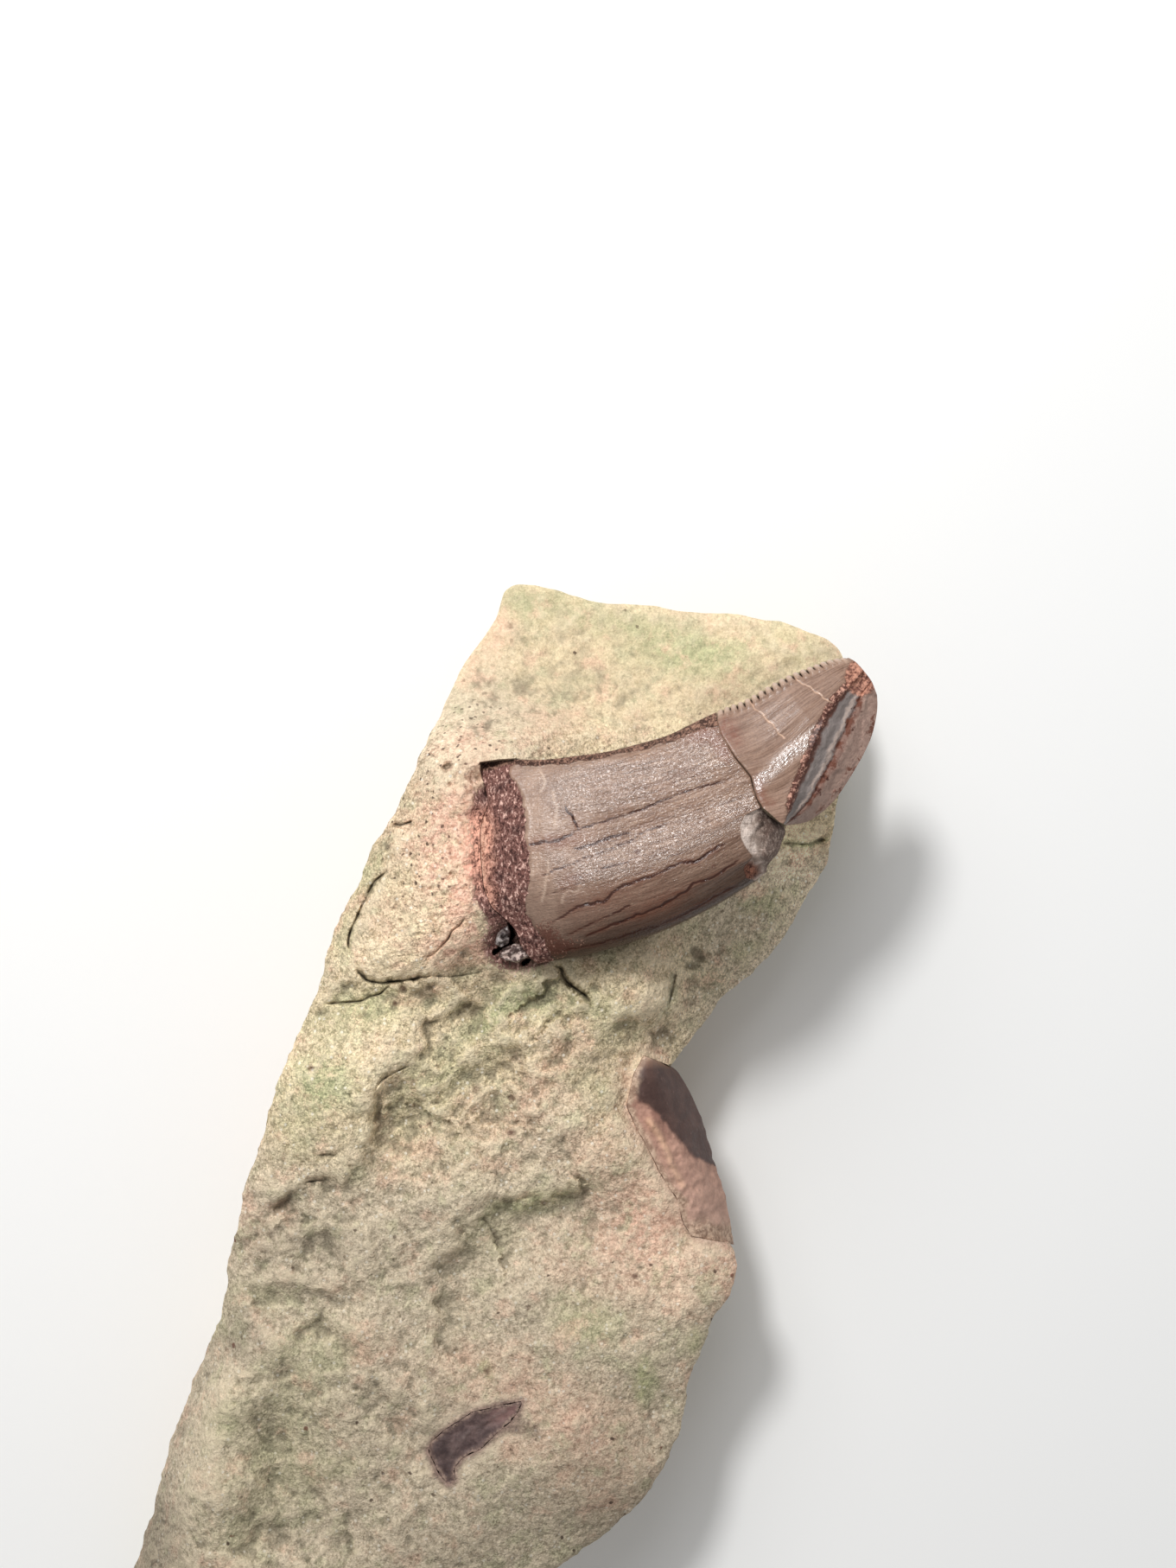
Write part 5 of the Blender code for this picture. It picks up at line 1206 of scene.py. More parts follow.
def make_splinter(name, outline, top, thick, seed):
    """A small angular flake: an outline, an upper side of a few tilted planes and a plain lower side."""
    ring = curve_at(np.array(outline + outline[:1], float), np.linspace(0, 1, 90, endpoint=False))
    ring = ring + 0.5 * np.stack([noise(ring[:, 0], ring[:, 1], 4, 4, seed), noise(ring[:, 0], ring[:, 1], 4, 4, seed + 1)], -1)
    rng = np.random.default_rng(seed)
    points = hexes(0.9, ring.min(axis=0), ring.max(axis=0), rng)
    points = points[inside(ring, points[:, 0], points[:, 1]) > 0.5]
    flat, faces, source = joined(points, ring)
    u, v = flat[:, 0], flat[:, 1]
    depth = np.clip(inside(ring, u, v), 0, None)
    z = top(u, v) + 0.26 * facets(np.stack([u / 8, v / 5], -1), seed + 2) - 0.16 * np.exp(-depth / 1.0)
    low = z - thick * (1 - np.exp(-depth / 2.0)) - 0.05
    n = len(flat)
    free = source >= len(ring)
    low_index = np.arange(n)
    low_index[free] = n + np.arange(free.sum())
    xyz = np.concatenate([place(u, v, z), place(u[free], v[free], low[free])])
    faces = [f for f in faces if any(low_index[i] != i for i in f)]
    allfaces = [list(f) for f in faces] + [[low_index[i] for i in f][::-1] for f in faces]
    uu, vv = np.r_[u, u[free]], np.r_[v, v[free]]
    return tidy(new_mesh(name, xyz, allfaces, {"edge": np.r_[np.exp(-depth / 1.5), np.exp(-depth[free] / 1.5)], "u": (uu - uu.min()) / np.ptp(uu), "v": (vv - vv.min()) / np.ptp(vv)}))


def finish_rock(shape, bone_under):
    flat, faces, source, z, crack, ring, inward, edge, under = shape
    u, v = flat[:, 0], flat[:, 1]
    n = len(flat)
    bone = np.concatenate([curve_at(BONE_INNER, np.linspace(0, 1, 40)), curve_at(BONE_OUTER, np.linspace(1, 0, 40))])
    near = inside(bone, u, v) > 1.0
    below, _ = nearest_height(bone_under[::2], u[near], v[near])
    z[near] = np.minimum(z[near], below - 0.05)
    sliver = inside(SLIVER, u, v)
    z = z - 1.5 * np.clip((sliver - 0.6) / 1.2, 0, 1)
    # the sides: rings down from the upper edge, leaning in and broken into flakes
    order = np.empty(len(ring), int)
    for i in np.nonzero((source >= 0) & (source < len(ring)))[0]:
        order[source[i]] = i
    top_z = z[order]
    xyz = [place(u, v, z)]
    start = place(ring[:, 0], ring[:, 1], top_z)
    way = np.stack([inward[:, 0], -inward[:, 1]], -1)
    count, rings, steps = n, [order], 30
    chip = 1.4 + 0.9 * noise(start[:, 0], start[:, 1], 7, 7, 9)
    sides_q = []
    for k in range(1, steps + 1):
        q = 1 - (k / steps) ** 1.15
        x, y = start[:, 0], start[:, 1]
        zz = chip + (top_z - chip) * q
        lean = (1 - q) * (0.9 + 0.9 * noise(x, y, 9, 9, 7))
        lean = lean + 0.55 * math.sqrt(1 - q) * roughness(np.stack([x / 4, y / 4, zz / 4.5], -1), 8)
        skin = 0.42 * flakes(np.stack([x / 2.6, y / 2.6, zz / 1.5], -1), 121, 9)
        skin = skin + 0.20 * flakes(np.stack([x / 1.2, y / 1.2, zz / 0.7], -1), 122, 9)
        skin = skin + 0.07 * roughness(np.stack([x / 0.5, y / 0.5, zz / 0.35], -1), 123) + 0.16 * roughness(np.stack([x / 5, y / 5, zz / 0.8], -1), 124)
        lean = np.maximum(lean + (skin + 0.25) * min(1, 4 * (1 - q)), 0.012 * k)
        round_ = 0.35 * (1 - math.exp(-k / 2.5))
        p = np.stack([x, y, zz], -1)
        p[:, :2] += way * (lean + round_)[:, None]
        xyz.append(p)
        rings.append(count + np.arange(len(ring)))
        count += len(ring)
    last = xyz[-1]
    every = [list(f) for f in faces]
    for r0, r1 in zip(rings[:-1], rings[1:]):
        a, b, c, d = r0, np.roll(r0, -1), np.roll(r1, -1), r1
        every += np.stack([a, d, c, b], -1).tolist()
    # the underside: flat in the middle and chipped away round its rim
    rng = np.random.default_rng(7)
    floor_points = hexes(0.75, last[:, :2].min(axis=0), last[:, :2].max(axis=0), rng)
    # drop corners where the lowest ring folds over itself
    base_ring = last[:, :2]
    floor_points = floor_points[inside(base_ring, floor_points[:, 0], floor_points[:, 1]) > 0.45]
    flat2, faces2, source2 = joined(floor_points, base_ring)
    d = np.abs(to_line(base_ring, flat2[:, 0], flat2[:, 1], closed=True)[0])
    rim = np.clip(1 - d / 3.6, 0, 1) ** 1.4
    x, y = flat2[:, 0], flat2[:, 1]
    lift = rim * (1.4 + 0.9 * noise(x, y, 7, 7, 9)) - 0.3 * (1 - rim)
    lift = lift + 0.35 * flakes(np.stack([x / 3.5, y / 3.5], -1), 125, 9) * rim
    zz = np.maximum(lift, 0.0)
    index2 = np.empty(len(flat2), int)
    is_ring = (source2 >= 0) & (source2 < len(base_ring))
    index2[is_ring] = rings[-1][source2[is_ring]]
    index2[~is_ring] = count + np.arange((~is_ring).sum())
    xyz.append(np.stack([x, y, zz], -1)[~is_ring])
    every += [[index2[i] for i in f][::-1] for f in faces2]
    xyz = np.concatenate(xyz)

    # what the surface shows, computed over the plan for the upper side
    total = len(xyz)
    marks = {k: np.zeros(total) for k in ("green", "pink", "crack", "hollow", "side", "stain", "smooth", "shade", "bony", "rust", "tone", "crisp", "under", "orange", "dun", "pocked", "crease", "smudge", "blush")}
    marks["crack"][:n] = crack
    wu, wv = u + 9 * noise(u, v, 30, 30, 131) + 3 * noise(u, v, 10, 10, 132), v + 9 * noise(u, v, 30, 30, 133) + 3 * noise(u, v, 10, 10, 134)
    for key, spots in (("green", GREEN), ("pink", PINK), ("stain", STAINS)):
        got = np.zeros(n)
        su, sv = (wu, wv) if key != "stain" else (u + 0.5 * (wu - u) * 0.3, v + 0.15 * (wv - v))
        for cu, cv, ru, rv, amount, turn in spots:
            got = np.maximum(got, 0) + amount * spot(su, sv, cu, cv, ru, rv, turn)
        marks[key][:n] = np.clip(got, 0, 1)
    marks["smudge"][:n] = np.clip(0.75 * np.exp(-np.clip(-sliver, 0, None) / 7) + 0.55 * spot(wu, wv, 600, 1650, 40, 14, 28) + 0.5 * spot(wu, wv, 512, 1690, 16, 26, 0), 0, 1)
    marks["blush"][:n] = np.clip(0.95 * spot(wu, wv, 541, 990, 24, 66, 0) + 0.75 * spot(wu, wv, 556, 910, 20, 30, 0) + 0.6 * spot(wu, wv, 742, 1290, 18, 60, -22) + 0.7 * spot(wu, wv, 800, 1412, 44, 22, 20), 0, 1)
    side_xyz = xyz[n:]
    marks["side"][n:] = 1
    marks["green"][n:] = np.clip(0.35 + 0.8 * roughness(side_xyz / 7, 135), 0, 1)
    marks["pink"][n:] = np.clip(0.15 + 0.8 * roughness(side_xyz / 9, 136), 0, 1)
    for i, r in enumerate(rings[1:9]):
        share = math.exp(-(i + 1) / 3)
        for key in ("green", "pink"):
            marks[key][r] = marks[key][r] * (1 - share) + marks[key][order] * share
    marks["side"][rings[1]] = 0.3
    marks["side"][rings[2]] = 0.6
    marks["smooth"][:n] = 1 - np.clip(broken_amount(u, v) / 0.8, 0, 1)

    tri = np.array([f[:3] for f in faces])
    pairs = np.concatenate([tri[:, [0, 1]], tri[:, [1, 2]], tri[:, [2, 0]]])
    pairs = np.unique(np.sort(pairs, axis=1), axis=0)
    level = neighbours_mean(z, pairs, n)
    bend = level - z
    for _ in range(3):
        bend = neighbours_mean(bend, pairs, n) * 0.4 + bend * 0.6
    # painted shade in the creases: where the surface bends inwards its colour is made darker
    marks["crease"][:n] = np.clip((bend - 0.010) / 0.030, 0, 1) * np.clip((edge - 2) / 6, 0, 1) * np.clip(0.75 + 0.8 * noise(u, v, 40, 40, 138), 0, 1)
    for _ in range(5):
        level = neighbours_mean(level, pairs, n)
    small = z - level
    for _ in range(22):
        level = neighbours_mean(level, pairs, n)
    wide = z - level
    # painted shade and light of the relief: below the smoothed surface the colour is made darker, partly dirt and
    # partly painted shade, and above it paler, a painted light
    marks["hollow"][:n] = (np.clip(small / 0.08, -1, 1) * 0.55 + np.clip(wide / 0.32, -1, 1) * 0.5) * np.clip((edge - 2) / 12, 0, 1)
    # lighter towards the top and darker towards the bottom, partly the stone's own colour and partly painted light and
    # shade
    tone = 1.0 - 0.09 * np.clip((v - 1300) / 80, 0, 1) + 0.10 * np.clip((960 - v) / 100, 0, 1) - 0.10 * np.clip((v - 1450) / 300, 0, 1)
    for cu, cv, ru, rv, amount, turn in TONES_AND_PAINTED_SHADING:
        tone = tone + amount * spot(wu, wv, cu, cv, ru, rv, turn)
    marks["tone"][:n] = tone
    marks["dun"][:n] = np.clip(np.clip((v - 1300) / 90, 0, 1) + np.clip((u - 770) / 60, 0, 1) * np.clip((v - 960) / 40, 0, 1) + 0.9 * spot(wu, wv, 540, 850, 90, 70, 0) + 0.6 * spot(wu, wv, 640, 1300, 70, 50, 0), 0, 1)
    marks["dun"][n:] = 0.8
    marks["pocked"][:n] = np.clip(1.3 * spot(wu, wv, 520, 940, 90, 150, 15), 0, 1)
    marks["crisp"][:n] = 0.50 + 0.25 * np.clip((v - 800) / 60, 0, 1) + 0.65 * np.clip((v - 830) / 50, 0, 1) * np.clip((1420 - v) / 260, 0, 1) + 0.25 * np.clip((v - 1100) / 200, 0, 1)
    marks["crisp"][n:] = 1.0
    # the stone under the tooth, which is painted dark as its shadow
    marks["under"][:n] = under * 1.0
    marks["tone"][n:] = 0.9
    marks["hollow"][:n][under] = 0
    close = -inside(TOOTH_OUTLINE, u, v)
    marks["bony"][:n] = np.exp(-np.clip(-sliver, 0, None) / 5) + 0.8 * np.exp(-np.clip(-inside(bone, u, v), 0, None) / 6) * np.clip((v - 1260) / 40, 0, 1)
    left = np.clip((606 - u) / 12, 0, 1) * np.clip((v - 900) / 20, 0, 1) * np.clip((1112 - v) / 25, 0, 1)
    hole = np.exp(-((((u - 594) / 44) ** 2 + ((v - 1093) / 36) ** 2) ** 1.5))
    marks["rust"][:n] = np.maximum(np.exp(-((np.clip(close, 0, None) / (20 + 12 * noise(u, v, 20, 30, 137))) ** 2)) * left, 1.0 * hole) + 0.5 * np.exp(-np.clip(close, 0, None) / 4) * np.clip((v - 1085) / 10, 0, 1) * np.clip((650 - u) / 20, 0, 1)
    marks["orange"][:n] = np.clip((1045 - v) / 40, 0, 1) * np.clip((v - 925) / 25, 0, 1)
    marks["shade"][:n] = np.exp(-np.clip(close, 0, None) / 9) * np.clip((v - 1060) / 40, 0, 1)
    obj = tidy(new_mesh("stone", xyz, every, marks))
    obj.data.set_sharp_from_angle(angle=math.radians(38))
    return obj


# Lighter and darker parts of the stone, partly its own colour and partly painted light and shade, such as a painted
# pool of light in the tooth's shadow to its lower right and painted shade on the lower left flank: (u, v, half width,
# half height, amount, turn)
TONES_AND_PAINTED_SHADING = [
    (900, 1040, 80, 100, 0.10, 20), (915, 1000, 46, 50, 0.45, 0), (178, 1785, 42, 90, -0.26, -20), (600, 830, 90, 60, -0.16, 0), (560, 900, 50, 50, -0.08, 0),
    (330, 1250, 60, 60, 0.14, 0), (420, 1230, 50, 60, 0.10, 0), (840, 810, 40, 30, -0.12, 0), (800, 760, 60, 40, 0.12, 0), (860, 740, 60, 30, 0.2, 0), (880, 1045, 40, 20, -0.12, -20), (350, 1290, 60, 50, -0.06, 0), (600, 1780, 160, 70, -0.14, -20),
    (720, 1690, 90, 60, -0.12, -40), (340, 1450, 110, 40, -0.10, -20), (360, 1600, 90, 60, -0.06, 0),
    (640, 1150, 60, 14, -0.15, 0), (540, 1000, 60, 90, 0.06, 0), (440, 1160, 50, 40, 0.05, 0),
    (505, 1035, 40, 45, 0.15, 0), (430, 1108, 60, 24, 0.17, 0), (390, 1250, 60, 40, 0.06, 0), (770, 1490, 30, 60, 0.13, 0), (700, 1515, 60, 55, 0.06, 0),
    (600, 1382, 50, 24, 0.10, 0), (280, 1544, 24, 30, -0.14, 0), (330, 1436, 70, 25, -0.10, 0), (555, 1652, 36, 22, -0.06, 0), (330, 1760, 40, 25, -0.12, 0),
    (530, 1328, 30, 25, -0.10, 0), (480, 896, 30, 30, -0.14, 0), (590, 688, 60, 20, -0.09, 0), (712, 1238, 46, 40, -0.13, 0), (680, 1112, 30, 20, -0.09, 0), (534, 1004, 20, 56, 0.17, 0), (505, 1062, 46, 26, 0.13, 0), (430, 1114, 60, 24, 0.12, 0), (785, 1490, 22, 50, 0.13, 0),
    (278, 1544, 26, 34, -0.12, 0), (556, 1124, 40, 14, -0.10, 0), (590, 1280, 40, 30, -0.07, 0), (380, 1440, 40, 20, -0.07, 0),
]
GREEN = [
    (640, 700, 60, 22, 0.5, 0), (780, 740, 75, 22, 0.7, 8), (820, 772, 60, 18, 0.6, 0), (700, 722, 50, 18, 0.3, 0),
    (600, 690, 30, 18, 0.3, 0), (930, 750, 40, 20, 0.3, 20), (430, 1000, 16, 34, 0.6, 25), (405, 1080, 14, 28, 0.5, 10),
    (375, 1250, 38, 34, 0.95, -10), (400, 1180, 60, 26, 0.45, -20), (450, 1160, 60, 22, 0.4, 0), (350, 1300, 36, 46, 0.4, 10),
    (567, 1178, 46, 11, 0.9, -35), (600, 1148, 40, 16, 0.6, 0), (640, 1160, 56, 22, 0.6, 0), (700, 1178, 40, 26, 0.5, 0),
    (500, 1240, 40, 26, 0.4, -30), (560, 1222, 50, 24, 0.3, -30), (470, 1290, 60, 34, 0.35, -30), (620, 1388, 62, 12, 0.8, -14),
    (560, 1430, 40, 26, 0.3, 0), (680, 1530, 42, 30, 0.6, 20), (745, 1600, 13, 30, 1.0, 8), (800, 1552, 13, 18, 0.6, 0),
    (700, 1280, 28, 36, 0.5, 0), (650, 1240, 30, 18, 0.4, 0), (330, 1640, 60, 60, 0.35, 0), (300, 1720, 60, 50, 0.35, 0),
    (300, 1500, 40, 18, 0.4, 0), (380, 1570, 50, 30, 0.35, -30), (258, 1640, 22, 24, 0.6, 0), (240, 1530, 22, 16, 0.5, 0),
    (380, 1700, 40, 16, 0.4, -20), (340, 1550, 50, 14, 0.4, -40), (564, 1586, 8, 8, 0.9, 0), (880, 1045, 28, 14, 0.6, -20),
    (860, 1097, 20, 10, 0.5, -20), (930, 976, 36, 5, 1.0, 0), (820, 1130, 20, 20, 0.3, 0), (270, 1780, 40, 30, 0.3, 0),
    (750, 760, 40, 14, 0.3, 0), (850, 745, 50, 12, 0.35, 0), (690, 790, 50, 14, 0.25, 0), (515, 760, 14, 40, 0.3, 30),
]
PINK = [
    (535, 1000, 46, 90, 0.9, 0), (520, 1100, 44, 20, 0.6, 0), (500, 960, 60, 60, 0.45, 0), (600, 862, 60, 14, 0.45, 0),
    (560, 1040, 20, 70, 0.6, 0), (640, 832, 44, 18, 0.35, 0), (540, 862, 40, 26, 0.45, 0), (700, 1320, 50, 50, 0.35, 0),
    (620, 1260, 34, 30, 0.35, -30), (590, 1300, 44, 34, 0.3, 0), (760, 1400, 60, 60, 0.6, 0), (840, 1460, 30, 40, 0.7, 0),
    (700, 1450, 80, 60, 0.35, 0), (733, 1262, 12, 40, 0.5, 0), (450, 1062, 40, 40, 0.25, 0), (640, 1640, 90, 50, 0.45, 0),
    (560, 1590, 80, 40, 0.3, 0), (700, 1700, 60, 50, 0.3, 0), (760, 1220, 14, 12, 0.8, 0), (440, 1300, 12, 24, 0.4, 0),
    (660, 1210, 24, 40, 0.35, 20), (490, 1150, 30, 10, 0.3, -20), (560, 740, 16, 40, 0.3, 30), (430, 1560, 40, 24, 0.2, 0),
    (780, 1490, 50, 40, 0.3, 0), (290, 1420, 30, 30, 0.25, 0),
]
# Small dark or coloured spots of the stone, by name of their colour: (u, v, half width, half height, amount, turn)
STAINS = [
    (590, 725, 4, 3, 1.0, 0), (592, 1270, 4, 4, 0.9, 0), (592, 1310, 5, 4, 1.0, 0), (457, 1161, 3.5, 3.5, 0.9, 0),
    (467, 1144, 4, 4, 0.9, 0), (551, 1260, 4, 5, 0.6, 0), (628, 1392, 5, 3, 0.8, 0), (734, 1476, 4.5, 3.5, 1.0, 0),
    (760, 1489, 3, 3, 0.8, 0), (751, 1489, 3, 3, 0.6, 0), (612, 1513, 2.5, 2.5, 0.9, 0), (643, 1731, 4, 3, 0.6, 0),
    (564, 1586, 4, 5, 0.8, 0), (498, 1589, 8, 5, 0.45, 0), (360, 1236, 4, 3, 1.0, 0), (623, 1200, 3, 3, 0.6, 0),
    (498, 1300, 3, 3, 0.6, 0), (444, 1340, 3, 3, 0.6, 0), (390, 1145, 3, 2.5, 0.7, 0), (421, 1195, 3, 3, 0.6, 0),
]

# ---------------------------------------------------------------- finishes
def tint(r, g, b, gain=1.0):
    """A colour given as sRGB levels, as the shader wants it."""
    return tuple(min(((c / 255 + 0.055) / 1.055) ** 2.4 * gain, 1.0) for c in (r, g, b)) + (1.0,)


class Paint:
    """A node material built up in steps. Coordinates are the object's own, in metres."""

    def __init__(self, name, specular=0.5):
        self.material = bpy.data.materials.new(name)
        self.material.use_nodes = True
        self.tree = self.material.node_tree
        self.shader = self.tree.nodes["Principled BSDF"]
        self.shader.inputs["Metallic"].default_value = 0
        self.shader.inputs["Specular IOR Level"].default_value = specular
        self.where = self.tree.nodes.new("ShaderNodeTexCoord").outputs["Object"]

    def node(self, kind, **settings):
        node = self.tree.nodes.new(kind)
        for key, value in settings.items():
            setattr(node, key, value)
        return node

    def plug(self, value, socket):
        if isinstance(value, bpy.types.NodeSocket):
            self.tree.links.new(value, socket)
        else:
            socket.default_value = value

    def mark(self, name):
        return self.node("ShaderNodeAttribute", attribute_name=name).outputs["Fac"]

    def math(self, operation, a, b=0.0, clamp=False):
        node = self.node("ShaderNodeMath", operation=operation, use_clamp=clamp)
        self.plug(a, node.inputs[0])
        self.plug(b, node.inputs[1])
        return node.outputs[0]

    def mix(self, a, b, share, blend="MIX"):
        node = self.node("ShaderNodeMix", data_type="RGBA", blend_type=blend, clamp_factor=True)
        self.plug(share, node.inputs["Factor"])
        self.plug(a, node.inputs[6])
        self.plug(b, node.inputs[7])
        return node.outputs[2]

    def span(self, value, low, high, out_low=0.0, out_high=1.0, soft=True):
        node = self.node("ShaderNodeMapRange", interpolation_type="SMOOTHSTEP" if soft else "LINEAR", clamp=True)
        for socket, v in zip(node.inputs, (value, low, high, out_low, out_high)):
            self.plug(v, socket)
        return node.outputs[0]

    def noise(self, size, detail=2.0, rough=0.5, at=None, seed=0.0, warp=0.0):
        """Noise about 0 to 1; size is the feature size in metres (or in units of `at`)."""
        node = self.node("ShaderNodeTexNoise", noise_dimensions="4D")
        self.plug(self.where if at is None else at, node.inputs["Vector"])
        node.inputs["W"].default_value = seed
        node.inputs["Scale"].default_value = 1.0 / size
        node.inputs["Detail"].default_value = detail
        node.inputs["Roughness"].default_value = rough
        node.inputs["Distortion"].default_value = warp
        return node.outputs["Fac"]

    def cells(self, size, at=None, feature="F1", jitter=1.0):
        node = self.node("ShaderNodeTexVoronoi", feature=feature)
        self.plug(self.where if at is None else at, node.inputs["Vector"])
        node.inputs["Scale"].default_value = 1.0 / size
        node.inputs["Randomness"].default_value = jitter
        return node.outputs

    def specks(self, size, share, radius=0.35, at=None):
        """Small dots: a share of the cells of this size hold one each."""
        out = self.cells(size, at)
        picked = self.node("ShaderNodeSeparateColor")
        self.plug(out["Color"], picked.inputs[0])
        near = self.span(out["Distance"], radius * 0.55, radius, 1.0, 0.0)
        chosen = self.math("GREATER_THAN", picked.outputs[0], 1.0 - share)
        return self.math("MULTIPLY", near, chosen)

    def scaled(self, colour, low, high, value):
        """The colour made darker or lighter as value goes from 0 to 1."""
        grey = self.span(value, 0.0, 1.0, low, high, soft=False)
        both = self.node("ShaderNodeCombineXYZ")
        for socket in both.inputs:
            self.plug(grey, socket)
        node = self.node("ShaderNodeVectorMath", operation="MULTIPLY")
        self.plug(colour, node.inputs[0])
        self.plug(both.outputs[0], node.inputs[1])
        return node.outputs[0]

    def bump(self, height, distance, strength=1.0, after=None):
        node = self.node("ShaderNodeBump")
        node.inputs["Strength"].default_value = strength
        node.inputs["Distance"].default_value = distance
        self.plug(height, node.inputs["Height"])
        if after is not None:
            self.plug(after, node.inputs["Normal"])
        return node.outputs[0]

    def vector(self, x, y, z=0.0):
        node = self.node("ShaderNodeCombineXYZ")
        for socket, v in zip(node.inputs, (x, y, z)):
            self.plug(v, socket)
        return node.outputs[0]

    def done(self, colour, rough, normal=None):
        self.plug(colour, self.shader.inputs["Base Color"])
        self.plug(rough, self.shader.inputs["Roughness"])
        if normal is not None:
            self.plug(normal, self.shader.inputs["Normal"])
        return self.material


def crumb_colours(g, rust):
    """The stained, crumbly stuff of the root and of the stone beside it."""
    where = g.node("ShaderNodeVectorMath", operation="MULTIPLY")
    g.plug(g.where, where.inputs[0])
    where.inputs[1].default_value = (1.5, 0.9, 1.0)
    crumbs = g.noise(0.00026, 4.0, 0.78, at=where.outputs[0], seed=8.0, warp=0.6)
    wide = g.noise(0.0009, 2.0, 0.5, seed=9.0)
    band = g.mix(tint(58, 38, 36), tint(134, 94, 86), g.span(crumbs, 0.38, 0.50))
    band = g.mix(band, tint(255, 212, 196), g.span(crumbs, 0.53, 0.62, 0.0, 0.9))
    orange = g.mix(tint(104, 62, 52), tint(255, 190, 164), g.span(crumbs, 0.40, 0.55))
    band = g.mix(band, orange, g.math("MULTIPLY", rust, 0.85))
    band = g.mix(band, tint(72, 52, 50), g.span(wide, 0.50, 0.66, 0.0, 0.45))
    return band, crumbs


